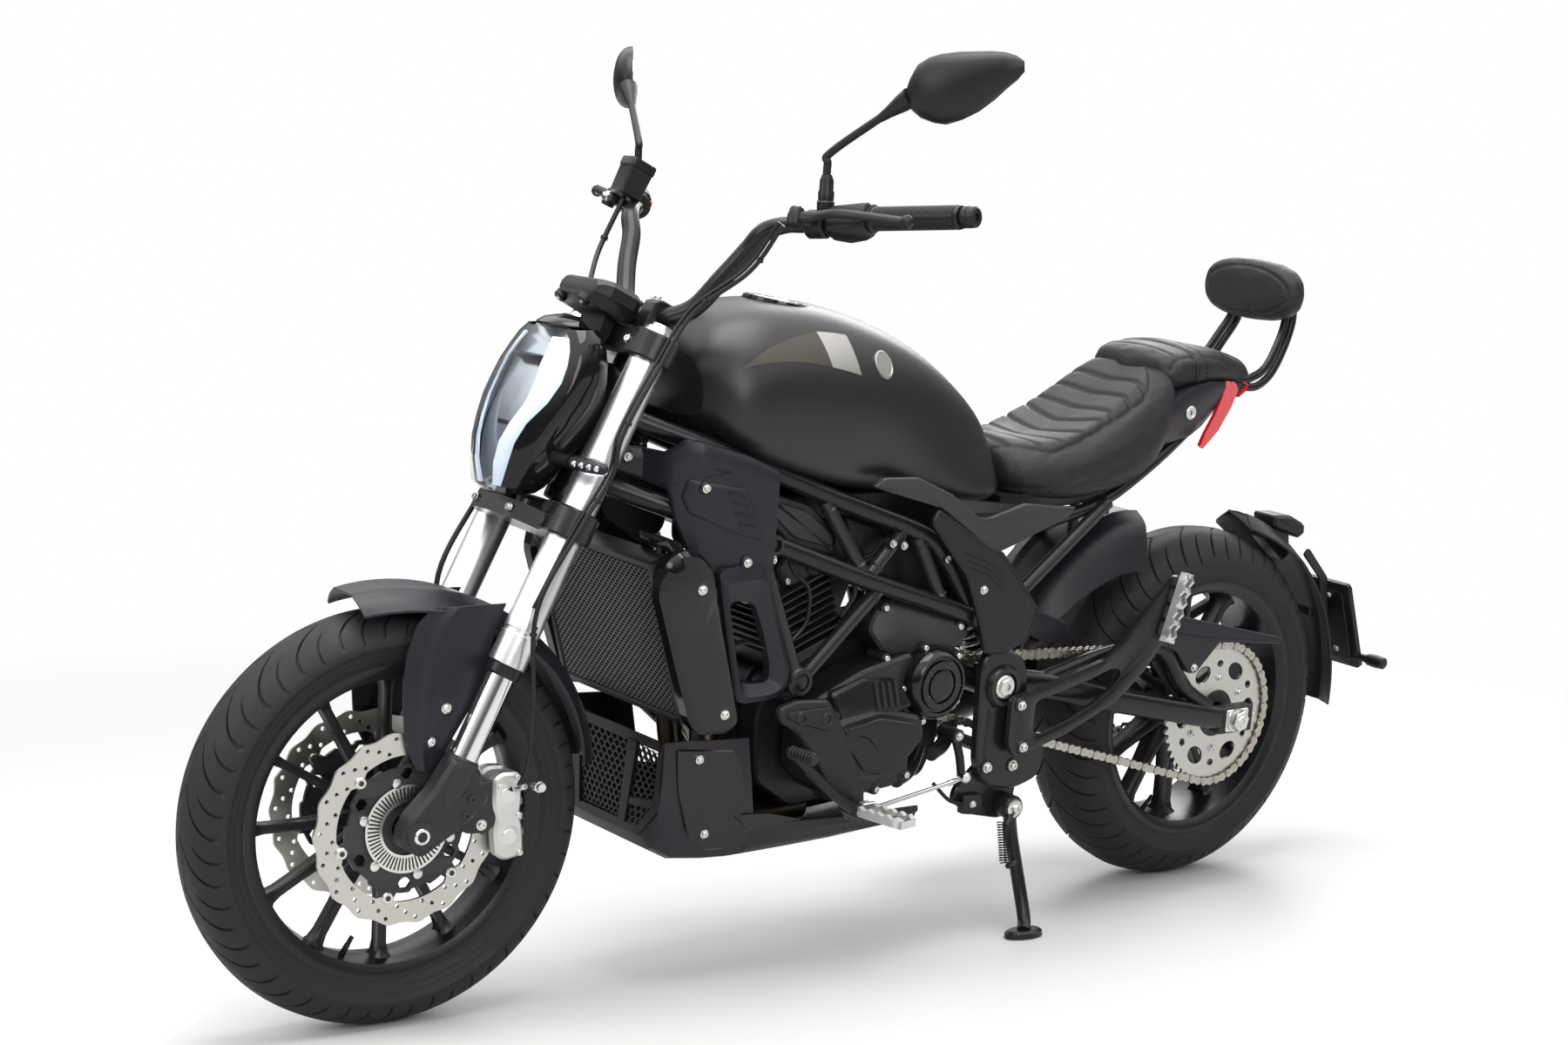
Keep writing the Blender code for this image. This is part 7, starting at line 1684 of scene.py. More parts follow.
# Pivot plates: forged black plates that hold the swingarm bolt, drilled for the peg and
# stand bolts, with a zinc nut sunk in a turned ring on each side.
PIVOT = Vector((0.571, 0, 0.428))
bm = bmesh.new()
plate_head = [(0.618, 0.466), (0.6, 0.4898), (0.57, 0.4898), (0.522, 0.468), (0.512, 0.415), (0.528, 0.352),
              (0.466, 0.336)]
for s, foot in ((1, [(0.466, 0.27), (0.51, 0.256), (0.534, 0.254), (0.585, 0.264), (0.612, 0.3)]),
                (-1, [(0.466, 0.272), (0.516, 0.272), (0.53, 0.304), (0.612, 0.306)])):
    cast_plate(bm, rounded_outline(plate_head + foot, 0.022, 5), s * 0.148, 0.018, 0.003)
    middle = rounded_outline([(0.596, 0.398), (0.548, 0.396), (0.556, 0.33), (0.574, 0.292),
                              (0.598, 0.312)], 0.008, 3)
    crowned(bm, middle, lambda x, z: 0.1595, 0.004, 0, s, edge=0.0022)
    rod_along(bm, (PIVOT.x, s * 0.15, PIVOT.z), (PIVOT.x, s * 0.166, PIVOT.z),
              [(0, 0.036), (0.55, 0.035), (0.75, 0.0325), (1, 0.0305), (1, 0.0235), (0.62, 0.0225)], 48)
    rod_along(bm, (PIVOT.x, s * 0.158, PIVOT.z), (PIVOT.x, s * 0.1655, PIVOT.z),
              [(0, 0.0195), (0.8, 0.0195), (1, 0.018)], 36, 1)
    rod_along(bm, (PIVOT.x, s * 0.16, PIVOT.z), (PIVOT.x, s * 0.169, PIVOT.z),
              [(0, 0.015), (0.85, 0.015), (1, 0.0135), (1, 0.008), (0.3, 0.0075)], 6, 1)
    for x, z in ((0.59, 0.297), (0.534, 0.294)):
        rod_along(bm, (x, s * 0.156, z), (x, s * 0.1595, z), [(0, 0.0125), (1, 0.0115)], 30)
        bolt(bm, (x, s * 0.159, z), (0, s, 0), 0.0066, 1)
rod_along(bm, (0.495, -0.148, 0.29), (0.495, 0.148, 0.29), [(0, 0.011), (1, 0.011)], 20)
rod_along(bm, (PIVOT.x, -0.148, PIVOT.z), (PIVOT.x, 0.148, PIVOT.z), [(0, 0.01), (1, 0.01)], 20)
cast_plate(bm, rounded_outline([(0.59, 0.3), (0.5, 0.29), (0.508, 0.212), (0.534, 0.2), (0.6, 0.215),
                                (0.64, 0.24), (0.636, 0.262)], 0.01), 0.134, 0.012, 0.002)
made = hung("pivot_plates_forged", bm, MACHINE, frame_paint, "frame", 34, (zinc_bolt,))
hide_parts("pivot_plates")

# Engine: a cast black crankcase; the left side carries a faceted alternator cover, a
# woven-look upper cover and a round sprocket cover, the right side the clutch cover.
weave = coating("weave", (0.012, 0.012, 0.0125), 0.36, relief=0.0, sheen=0.45)
tree = weave.node_tree
spot_node = next(n for n in tree.nodes if n.bl_idname == "ShaderNodeTexCoord")
twill = tree.nodes.new("ShaderNodeTexWave")
twill.bands_direction = "DIAGONAL"
twill.inputs["Scale"].default_value = 150.0
twill.inputs["Distortion"].default_value = 0.0
tree.links.new(spot_node.outputs["Object"], twill.inputs["Vector"])
ridge = tree.nodes.new("ShaderNodeBump")
ridge.inputs["Strength"].default_value = 0.65
ridge.inputs["Distance"].default_value = 0.0012
tree.links.new(twill.outputs["Fac"], ridge.inputs["Height"])
tree.links.new(ridge.outputs["Normal"], tree.nodes["Principled BSDF"].inputs["Normal"])

bm = bmesh.new()
cast_plate(bm, rounded_outline([(0.632, 0.33), (0.66, 0.272), (0.93, 0.252), (1.0, 0.3), (1.01, 0.4),
                                (0.985, 0.46), (0.88, 0.507), (0.66, 0.52), (0.632, 0.46)], 0.014), 0.0,
           0.168, 0.004)
for y in (-0.03, 0.03):
    cast_plate(bm, rounded_outline([(0.64, 0.34), (0.668, 0.266), (0.93, 0.246), (1.006, 0.298),
                                    (1.016, 0.402), (0.99, 0.464), (0.884, 0.512), (0.66, 0.524)], 0.014),
               y, 0.01, 0.002)
lower = rounded_outline([(0.752, 0.29), (0.9, 0.278), (0.965, 0.33), (0.958, 0.44), (0.862, 0.48),
                         (0.76, 0.5)], 0.016)
cast_plate(bm, lower, 0.122, 0.066, 0.005)
for side in (1, -1):
    rod_along(bm, (0.986, side * 0.078, 0.45), (0.986, side * 0.1276, 0.45),
              [(0, 0.015), (0.9, 0.013), (1, 0.0115)], 24)
for x, z in ((0.958, 0.346), (0.95, 0.432), (0.906, 0.288), (0.82, 0.288), (0.76, 0.304), (0.752, 0.47)):
    rod_along(bm, (x, 0.12, z), (x, 0.156, z), [(0, 0.0105), (0.9, 0.0095), (1, 0.0085)], 20)
    bolt(bm, (x, 0.1555, z), (0, 1, 0), 0.0052, 1, washer=False)
neck = rounded_outline([(0.932, 0.452), (0.862, 0.47), (0.79, 0.452), (0.774, 0.42), (0.838, 0.404),
                        (0.918, 0.404)], 0.008)
crowned(bm, neck, lambda x, z: 0.176 - max(0.0, z - 0.424) * 0.35, 0.026, 0, 1, edge=0.004)
for k in range(4):
    x = 0.846 - 0.013 * k
    skin_rows(bm, [[(x - 0.004, 0.15, z), (x + 0.004, 0.15, z), (x + 0.003, 0.1785 - (z - 0.424) * 0.35, z),
                    (x - 0.003, 0.1785 - (z - 0.424) * 0.35, z)] for z in (0.424, 0.462)])
shield = rounded_outline([(0.93, 0.412), (0.846, 0.424), (0.764, 0.406), (0.752, 0.372), (0.79, 0.33),
                          (0.842, 0.31), (0.88, 0.318), (0.932, 0.376)], 0.01)
crowned(bm, shield, lambda x, z: 0.1865 - 0.4 * max(0.0, z - 0.405) - 0.2 * max(0.0, 0.345 - z)
        - 0.1 * max(0.0, x - 0.91), 0.03, 0, 1, edge=0.006, rings=(1.0, 0.93, 0.8, 0.55, 0.3))
inner_shield = inset(shield, 0.012)
crowned(bm, inner_shield, lambda x, z: 0.188 - 0.1 * max(0.0, z - 0.395) - 0.05 * max(0.0, 0.345 - z),
        0.004, 0, 1, edge=0.0025)
upper_cover = rounded_outline([(0.82, 0.584), (0.792, 0.59), (0.662, 0.544), (0.64, 0.522), (0.66, 0.502),
                               (0.7, 0.474), (0.742, 0.462), (0.808, 0.496), (0.846, 0.536),
                               (0.838, 0.562)], 0.01)


def cover_y(x, z):
    """How far out the upper cover's facets lie."""
    facet = 0.62 * max(0.0, (z - 0.548 - 0.3 * (x - 0.74))) + 0.55 * max(0.0, 0.502 - z + 0.25 * (x - 0.74))
    return 0.148 - facet - 0.25 * max(0.0, x - 0.81)


crowned(bm, upper_cover, cover_y, 0.06, 2, 1, edge=0.004, rings=(1.0, 0.88, 0.76, 0.6, 0.42, 0.2))
for x, z in ((0.822, 0.572), (0.664, 0.53), (0.812, 0.492)):
    rod_along(bm, (x, 0.11, z), (x, 0.146, z), [(0, 0.01), (0.9, 0.0092), (1, 0.008)], 20)
    bolt(bm, (x, 0.1455, z), (0, 1, 0.1), 0.005, 1, washer=False)
centre = Vector((0.7215, 0, 0.448))
rod_along(bm, centre + Vector((0, 0.1, 0)), centre + Vector((0, 0.179, 0)),
          [(0, 0.06), (0.74, 0.059), (0.84, 0.056), (0.93, 0.053), (0.99, 0.048), (1.0, 0.044),
           (0.95, 0.0425), (0.95, 0.04), (1.0, 0.0388), (1.0, 0.0285), (0.95, 0.0272), (0.95, 0.025),
           (1.0, 0.0238), (1.01, 0.012), (1.01, 0.004)], 64, 3)
for k in range(5):
    a = math.radians(72 * k + 40)
    out = Vector((math.cos(a), 0, math.sin(a)))
    rod_along(bm, centre + out * 0.0275 + Vector((0, 0.1788, 0)),
              centre + out * 0.0395 + Vector((0, 0.1788, 0)), [(0, 0.0016), (1, 0.0016)], 8, 2)
    tip = centre + Vector((math.cos(a + 0.5), 0, math.sin(a + 0.5))) * 0.062
    rod_along(bm, tip + Vector((0, 0.1, 0)), tip + Vector((0, 0.158, 0)),
              [(0, 0.0095), (0.9, 0.009), (1, 0.0075)], 18)
    bolt(bm, tip + Vector((0, 0.1575, 0)), (0, 1, 0), 0.0046, 1, washer=False)
rod_along(bm, (0.76, -0.084, 0.385), (0.76, -0.19, 0.385), [(0, 0.104), (0.35, 0.104), (0.75, 0.098),
        (0.8, 0.088), (0.97, 0.064), (1, 0.058), (1, 0.04), (0.97, 0.038), (0.97, 0.01)], 64)
for k in range(8):
    a = math.radians(45 * k + 12)
    tip = Vector((0.76 + 0.104 * math.cos(a), 0, 0.385 + 0.104 * math.sin(a)))
    rod_along(bm, tip - Vector((0, 0.09, 0)), tip - Vector((0, 0.155, 0)),
              [(0, 0.01), (0.9, 0.0095), (1, 0.008)], 18)
    bolt(bm, tip - Vector((0, 0.1545, 0)), (0, -1, 0), 0.0048, 1, washer=False)
cast_plate(bm, rounded_outline([(0.7, 0.29), (0.94, 0.282), (0.975, 0.34), (0.972, 0.44), (0.86, 0.505),
                                (0.68, 0.5)], 0.014), -0.118, 0.074, 0.005)
rod_along(bm, (0.622, 0.06, 0.452), (0.622, 0.112, 0.452), [(0, 0.0135), (1, 0.013)], 24, 1)
for x, z, r in ((0.775, 0.296, 0.013), (0.706, 0.33, 0.012)):
    pipe(bm, [(x, 0.15, z), (x - 0.045, 0.128, z + 0.006), (x - 0.085, 0.1, z + 0.03)], r, 16)
made = hung("engine_cast", bm, MACHINE, alloy_black, "frame", 30, (zinc_bolt, weave, gloss_black))
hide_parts("engine")

# Cylinder and head: cast in black alloy, with nine thin fins round the barrel and a screwed
# cover on each side of the head.
def add_part(bm, other, place):
    """Move a bmesh of its own to its place and add it to bm."""
    other.transform(place)
    extra = bpy.data.meshes.new("extra")
    other.to_mesh(extra)
    other.free()
    bm.from_mesh(extra)
    bpy.data.meshes.remove(extra)


bm = bmesh.new()
cast_plate(bm, rounded_outline([(0.893, 0.5018), (0.972, 0.4665), (1.03, 0.64), (1.018, 0.662),
                                (0.86, 0.69), (0.838, 0.64)], 0.012), 0.0, 0.196, 0.005)
LEAN = Matrix.Rotation(math.radians(21), 4, "Y")
for k in range(9):
    at = Vector((0.932, 0, 0.516)) + Vector((0.36, 0, 0.93)) * 0.0125 * k
    fin = bmesh.new()
    cast_plate(fin, rounded_outline([(0.057, -0.117), (0.057, 0.117), (-0.061, 0.117), (-0.061, -0.117)],
                                    0.014), 0.0, 0.0036, 0.001)
    add_part(bm, fin, Matrix.Translation(at) @ LEAN @ Matrix(((1, 0, 0, 0), (0, 0, 1, 0), (0, 1, 0, 0),
            (0, 0, 0, 1))))
for side in (1, -1):
    cover = rounded_outline([(0.992, 0.664), (0.884, 0.684), (0.862, 0.65), (0.88, 0.622), (0.99, 0.606),
                             (1.01, 0.636)], 0.01)
    crowned(bm, cover, lambda x, z: 0.108, 0.016, 0, side, edge=0.004)
    for x, z in ((0.985, 0.652), (0.886, 0.67), (0.888, 0.632), (0.99, 0.618)):
        bolt(bm, (x, side * 0.1075, z), (0, side, 0), 0.005, 1, washer=False)
    rod_along(bm, (0.935, side * 0.1, 0.64), (0.935, side * 0.113, 0.64),
              [(0, 0.02), (0.8, 0.019), (1, 0.016)], 28)
made = hung("cylinder_finned", bm, MACHINE, alloy_black, "frame", 30, (zinc_bolt,))
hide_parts("cylinder_head")

# Airbox and the covers between the rails: ribbed black mouldings, one with a woven inlay,
# clipped to the trellis; a wire runs down beside the cylinder.
bm = bmesh.new()
cast_plate(bm, rounded_outline([(1.01, 0.704), (1.01, 0.7446), (0.74, 0.7446), (0.74, 0.704)], 0.01), 0.0,
           0.188, 0.004)
for side in (1, -1):
    block = rounded_outline([(1.058, 0.762), (0.965, 0.736), (0.903, 0.69), (0.906, 0.652), (0.996, 0.676),
                             (1.042, 0.716)], 0.012)
    crowned(bm, block, lambda x, z: 0.116, 0.02, 0, side, edge=0.003)
    crowned(bm, inset(block, 0.011), lambda x, z: 0.1185, 0.006, 1, side, edge=0.0015)
    fan = rounded_outline([(0.886, 0.712), (0.776, 0.676), (0.806, 0.634), (0.842, 0.624), (0.872, 0.668)],
                          0.008)
    crowned(bm, fan, lambda x, z: 0.108, 0.014, 0, side, edge=0.003)
    for k in range(4):
        line_on(bm, [(cx * (1 - 0.16 * k) + 0.838 * 0.16 * k, cz * (1 - 0.16 * k) + 0.668 * 0.16 * k)
                     for cx, cz in inset(fan, 0.004)[::3]], lambda x, z: 0.1082, side, 0.0012, 0, closed=True)
    skin_rows(bm, [[(x, side * y, z) for x, z in ((0.9, 0.735), (0.88, 0.735), (0.88, 0.715), (0.9, 0.715))]
                   for y in (0.1063, 0.09)])
    wall = rounded_outline([(0.905, 0.745), (0.76, 0.742), (0.64, 0.7), (0.596, 0.65), (0.56, 0.56),
                            (0.64, 0.52), (0.7, 0.56), (0.76, 0.6), (0.905, 0.65)], 0.012)
    crowned(bm, wall, lambda x, z: 0.088, 0.004, 0, side, edge=0.002)
    duct = rounded_outline([(1.2, 0.775), (1.11, 0.79), (1.07, 0.77), (1.078, 0.668), (1.11, 0.64),
                            (1.196, 0.69)], 0.012)
    crowned(bm, duct, lambda x, z: 0.092, 0.006, 0, side, edge=0.002)
    pipe(bm, [(1.012, side * 0.128, 0.676), (1.0, side * 0.134, 0.64), (0.968, side * 0.134, 0.61),
              (0.962, side * 0.128, 0.56), (0.985, side * 0.124, 0.53)], 0.0034, 10, 2)
    pipe(bm, [(0.9, side * 0.13, 0.64), (0.876, side * 0.134, 0.6), (0.896, side * 0.13, 0.56)], 0.0042, 10,
         2)
cast_plate(bm, rounded_outline([(1.14, 0.905), (1.13, 0.858), (0.9, 0.768), (0.76, 0.73), (0.6, 0.706),
                                (0.59, 0.74), (0.78, 0.79), (0.95, 0.85)], 0.01), 0.0, 0.18, 0.004)
pan_rows = []
for x, half, low, high in ((0.552, 0.094, 0.69, 0.722), (0.45, 0.112, 0.7, 0.728),
                           (0.35, 0.112, 0.704, 0.738), (0.28, 0.106, 0.712, 0.764),
                           (0.22, 0.098, 0.74, 0.806)):
    pan_rows.append([(x, half, high), (x, -half, high), (x, -half * 0.92, low), (x, half * 0.92, low)])
skin_rows(bm, pan_rows)
made = hung("airbox_moulded", bm, MACHINE, plain_black, "frame", 34, (weave, hose_rubber))
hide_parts("airbox")

# Side covers: a woven-look trim strip that follows the tank's edge, and a matt plate with
# pressed ridges behind the frame, screwed once.
def side_cover(side, name):
    bm = bmesh.new()
    strip = [(0.878, 0.764), (0.86, 0.778), (0.792, 0.776), (0.724, 0.748), (0.662, 0.708), (0.64, 0.706),
             (0.556, 0.722), (0.48, 0.712), (0.43, 0.708), (0.45, 0.69), (0.52, 0.672), (0.606, 0.65),
             (0.64, 0.66), (0.7, 0.7), (0.76, 0.738), (0.8, 0.752)]
    crowned(bm, rounded_outline(strip, 0.006, 3), lambda x, z: 0.1605 + 0.006 * max(0.0,
            1 - abs(x - 0.7) / 0.2) - 0.09 * max(0, 0.6 - x), 0.009, 1, side, edge=0.002,
            centre=(0.655, 0.686), rings=(1.0, 0.9))
    flat = rounded_outline([(0.76, 0.704), (0.748, 0.726), (0.704, 0.702), (0.64, 0.664), (0.604, 0.65),
                            (0.514, 0.552), (0.532, 0.5), (0.578, 0.484), (0.622, 0.486), (0.642, 0.54),
                            (0.676, 0.614)], 0.008)
    crowned(bm, flat, lambda x, z: 0.1675, 0.012, 0, side, edge=0.003, centre=(0.622, 0.596))
    for k in range(3):
        x, z = 0.664 - 0.007 * k, 0.64 - 0.012 * k
        line_on(bm, [(x + 0.02, z + 0.012), (x - 0.02, z - 0.002), (x - 0.06 + 0.006 * k, z - 0.026)],
                lambda x, z: 0.1678, side, 0.0013)
    line_on(bm, inset(flat, 0.006)[6:34], lambda x, z: 0.1676, side, 0.0009)
    bolt(bm, (0.641, side * 0.1675, 0.592), (0, side, 0), 0.0054, 2)
    rod_along(bm, (0.641, side * 0.1546, 0.542), (0.641, side * 0.162, 0.542), [(0, 0.01), (1, 0.01)], 18)
    made = hung(name, bm, MACHINE, plain_black, "frame", 32, (weave, zinc_bolt))
    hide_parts("side_cover_left" if side > 0 else "side_cover_right")


side_cover(1, "side_cover_left_moulded")
side_cover(-1, "side_cover_right_moulded")

# Swingarm: a black steel fork from a cross tube at the pivot, with a bent upper brace,
# and silver slotted blocks at its ends that clamp the rear axle and tension the chain.
ARM_Y = 0.136
bm = bmesh.new()
rod_along(bm, PIVOT - Vector((0, 0.1385, 0)), PIVOT + Vector((0, 0.1385, 0)),
          [(0, 0.0225), (0.02, 0.024), (0.98, 0.024), (1, 0.0225)], 32)
pipe(bm, ((0.46, -0.104, 0.41), (0.46, 0.104, 0.41)), 0.018)
for s in (1, -1):
    legs = curve_through([(0.559, s * 0.108, 0.426), (0.44, s * 0.12, 0.408), (0.314, s * ARM_Y, 0.378),
                          (0.18, s * ARM_Y, 0.348), (0.034, s * ARM_Y, 0.316)], 6)
    rows = []
    for k, p in enumerate(legs):
        t = k / (len(legs) - 1)
        h, w = 0.0215 - 0.002 * t, 0.019 - 0.004 * max(0.0, t - 0.8) / 0.2
        rows.append([(p.x - 0.22 * math.sin(a) * h, p.y + w * math.copysign(abs(math.cos(a)) ** 0.75,
                math.cos(a)), p.z + h * math.copysign(abs(math.sin(a)) ** 0.75, math.sin(a)))
                     for a in full_turn(24)])
    skin_rows(bm, rows)
    pipe(bm, [(0.47, s * 0.116, 0.412), (0.3, s * 0.126, 0.452), (0.196, s * ARM_Y, 0.452),
              (0.132, s * ARM_Y, 0.384), (0.06, s * ARM_Y, 0.338)], 0.0125)
    pipe(bm, ((0.232, s * 0.134, 0.45), (0.286, s * 0.135, 0.374)), 0.0115)
    block = rounded_outline([(0.036, 0.288), (0.036, 0.334), (-0.046, 0.334), (-0.046, 0.288)], 0.004)
    cast_plate(bm, block, s * ARM_Y, 0.0236, 0.0015)
    cast_plate(bm, rounded_outline([(0.024, 0.292), (0.024, 0.331), (-0.03, 0.331), (-0.03, 0.292)], 0.005),
               s * 0.1495, 0.005, 0.001, 1)
    rod_along(bm, (-0.047, s * ARM_Y, REAR_AXLE_Z), (-0.06, s * ARM_Y, REAR_AXLE_Z),
              [(0, 0.0038), (1, 0.0038)], 12, 1)
    rod_along(bm, (-0.047, s * ARM_Y, REAR_AXLE_Z), (-0.053, s * ARM_Y, REAR_AXLE_Z),
              [(0, 0.007), (1, 0.007)], 6, 1)
made = hung("swingarm_welded", bm, MACHINE, frame_paint, "frame", 34, (zinc_bolt,))
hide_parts("swingarm")

# Rear axle: a hollow steel bolt through the swingarm's blocks, with a washer and a large nut
# at each end.
bm = bmesh.new()
rod_along(bm, (0, -0.168, REAR_AXLE_Z), (0, 0.168, REAR_AXLE_Z),
          [(0, 0.009), (0.01, 0.0118), (0.99, 0.0118), (1, 0.009), (1, 0.005), (0.99, 0.004)], 28)
for s in (1, -1):
    rod_along(bm, (0, s * 0.1515, REAR_AXLE_Z), (0, s * 0.1545, REAR_AXLE_Z),
              [(0, 0.0205), (0.8, 0.0205), (1, 0.019)], 36)
    rod_along(bm, (0, s * 0.1545, REAR_AXLE_Z), (0, s * 0.166, REAR_AXLE_Z),
              [(0, 0.018), (0.1, 0.0188), (0.85, 0.0188), (1, 0.017)], 6)
made = hung("rear_axle_turned", bm, MACHINE, zinc_bolt, "frame", 34)
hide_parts("rear_axle")

# Rear sprocket: cut from steel plate, with 48 teeth and oval windows, screwed to a black
# carrier on the wheel.
CHAIN_Y, PITCH, REAR_TEETH, DRIVE_TEETH = 0.1, 0.015875, 48, 16
big, small = [PITCH / (2 * math.sin(math.pi / n)) for n in (REAR_TEETH, DRIVE_TEETH)]
bm = bmesh.new()
outline = []
for k in range(REAR_TEETH):
    for share, r in ((0.0, -0.0052), (0.16, -0.0052), (0.36, 0.0012), (0.44, 0.0024), (0.56, 0.0024),
                     (0.64, 0.0012), (0.84, -0.0052)):
        a = 2 * math.pi * (k + share) / REAR_TEETH
        outline.append(((big + r) * math.cos(a), (big + r) * math.sin(a)))
windows = []
for k in range(6):
    a = math.radians(60 * k)
    for da, r, wide, high in ((0.0, 0.082, 0.015, 0.0195), (math.radians(30), 0.0885, 0.0062, 0.0075)):
        middle = Vector((r * math.cos(a + da), r * math.sin(a + da)))
        out, over = Vector((math.cos(a + da), math.sin(a + da))), Vector((-math.sin(a + da),
                math.cos(a + da)))
        windows.append([tuple(middle + out * wide * math.cos(t) + over * high * math.sin(t))
                        for t in full_turn(20)])
windows.append([(0.039 * math.cos(t), 0.039 * math.sin(t)) for t in full_turn(40)])
pressed(bm, outline, windows, CHAIN_Y, 0.0058)
rod_along(bm, (0, 0.0785, 0), (0, CHAIN_Y + 0.004, 0), [(0, 0.046), (0.8, 0.046), (0.82, 0.06),
        (0.93, 0.06), (0.94, 0.042), (1, 0.04), (1, 0.0205), (0, 0.0205)], 48, 1)
for k in range(6):
    a = math.radians(60 * k + 30)
    bolt(bm, (0.064 * math.cos(a), CHAIN_Y + 0.003, 0.064 * math.sin(a)), (0, 1, 0), 0.0052, 2)
made = hung("rear_sprocket_toothed", bm, REAR_WHEEL, disc_steel, "rear_wheel", 30, (carrier_black, zinc_bolt))
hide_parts("rear_sprocket")

# Chain: a steel roller chain whose inner and outer links alternate round the rear sprocket
# and the gearbox sprocket, its pins one pitch apart.
chain_metal = coating("chain_metal", (0.42, 0.4, 0.36), 0.36, metal=1.0, grain=900, relief=0.08)
hub_a, hub_b = Vector((0, REAR_AXLE_Z)), Vector((0.69, 0.428))
tilt = math.asin((big - small) / (hub_b - hub_a).length)
base = math.atan2(hub_b.y - hub_a.y, hub_b.x - hub_a.x)
step = 2 * math.pi / REAR_TEETH
first, last = math.ceil((base + math.pi / 2 - tilt) / step), math.floor((base + 3 * math.pi / 2 + tilt)
        / step)
pins = [hub_a + big * Vector((math.cos(k * step), math.sin(k * step))) for k in range(first, last + 1)]
turn = math.pi - 2 * tilt
count = round(turn * small / PITCH)
drive = [hub_b + small * Vector((math.cos(a), math.sin(a))) for a in
         [base - math.pi / 2 + tilt + turn * k / count for k in range(count + 1)]]
runs = []
for start, end in ((pins[-1], drive[0]), (drive[-1], pins[0])):
    count = round((end - start).length / PITCH)
    runs.append([start + (end - start) * k / count for k in range(1, count)])
pins += runs[0] + drive + runs[1]
links = len(pins)
LINK_R = 0.0072
bm = bmesh.new()
for k, p in enumerate(pins):
    q = pins[(k + 1) % links]
    way = (q - p).normalized()
    over = Vector((-way.y, way.x))
    shape = []
    for centre, facing, rising in ((q, way, over), (p, -way, -over)):
        for a in range(-90, 91, 30):
            t = math.radians(a)
            shape.append(centre + facing * LINK_R * math.cos(t) + rising * LINK_R * math.sin(t))
    waist_a, waist_b = (p + q) / 2 + over * 0.005, (p + q) / 2 - over * 0.005
    loop = shape[:7] + [waist_a] + shape[7:] + [waist_b]
    reach = (0.007, 0.0088) if k % 2 else (0.0046, 0.0064)
    for s in (1, -1):
        skin_rows(bm, [[(x, CHAIN_Y + s * reach[0], z) for x, z in loop],
                       [(x, CHAIN_Y + s * reach[1], z) for x, z in loop]])
    rod_along(bm, (p.x, CHAIN_Y - 0.0044, p.y), (p.x, CHAIN_Y + 0.0044, p.y), [(0, 0.0048), (1, 0.0048)], 10)
    rod_along(bm, (p.x, CHAIN_Y + 0.0086, p.y), (p.x, CHAIN_Y + 0.0096, p.y),
              [(0, 0.0027), (0.7, 0.0027), (1, 0.0016)], 10)
made = hung("chain_roller", bm, MACHINE, chain_metal, "frame", 30)
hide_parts("chain")

# Chain guard: a thin black moulding with a raised line and a gusset, screwed to the
# swingarm.
bm = bmesh.new()
guard = rounded_outline([(0.16, 0.506), (0.02, 0.474), (-0.118, 0.4435), (-0.134, 0.437), (-0.128, 0.43),
                         (-0.02, 0.441), (0.034, 0.446), (0.086, 0.398), (0.106, 0.398), (0.14, 0.4378),
                         (0.23, 0.475), (0.236, 0.498)], 0.005)
crowned(bm, guard, lambda x, z: 0.1275 - 0.25 * max(0.0, z - 0.478 - 0.22 * (x - 0.1)), 0.004,
        centre=(0.1, 0.455), rings=(1.0, 0.88))
line_on(bm, [(0.2, 0.482), (0.06, 0.456), (-0.09, 0.4375)], lambda x, z: 0.1277, 1, 0.0012)
bolt(bm, (0.095, 0.1275, 0.408), (0, 1, 0), 0.0052, 1)
gusset = rounded_outline([(0.168, 0.448), (0.11, 0.398), (0.086, 0.372), (0.1, 0.352), (0.13, 0.356),
                          (0.196, 0.424)], 0.006)
crowned(bm, gusset, lambda x, z: 0.124, 0.004)
made = hung("chain_guard_moulded", bm, MACHINE, violet_black, "frame", 32, (zinc_bolt,))
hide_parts("chain_guard")

# Inner mudguard: a fluted moulding over the front of the tyre, on two stays, with a shield
# on each side of the shock. Each station gives x, z and half the width.
bm = bmesh.new()
rows = []
stations = ((0.43, 0.512, 0.074), (0.404, 0.556, 0.08), (0.372, 0.59, 0.086), (0.338, 0.618, 0.091),
            (0.3, 0.64, 0.094), (0.268, 0.654, 0.095), (0.238, 0.662, 0.094), (0.205, 0.664, 0.091),
            (0.176, 0.662, 0.086))
for x, z, half in stations:
    top = []
    for k in range(25):
        s = k / 12 - 1
        fluting = 0.0045 * max(0.0, 1 - abs(abs(s) - 0.4) / 0.12) + 0.003 * max(0.0,
                1 - abs(abs(s) - 0.74) / 0.08)
        top.append((x + 0.022 * abs(s) ** 5, half * (s + 0.06 * s * abs(s) ** 6),
                    z + 0.003 - 0.086 * abs(s) ** 5 + fluting))
    rows.append(top + [(px, py * 0.97, pz - 0.0045) for px, py, pz in reversed(top)])
skin_rows(bm, rows)
for s in (1, -1):
    rod_along(bm, (0.33, s * 0.04, 0.612), (0.33, s * 0.04, 0.694), [(0, 0.0095), (1, 0.008)], 20)
    shell = rounded_outline([(0.548, 0.508), (0.52, 0.532), (0.452, 0.53), (0.372, 0.5), (0.352, 0.47),
                             (0.42, 0.47), (0.47, 0.492), (0.53, 0.486)], 0.01)
    crowned(bm, shell, lambda x, z: 0.094 - 0.35 * max(0.0, z - 0.508), 0.004, 0, s, centre=(0.46, 0.506),
            rings=(1.0, 0.8, 0.5))
made = hung("mudguard_fluted", bm, MACHINE, violet_black, "frame", 28, (zinc_bolt,))
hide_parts("inner_mudguard")

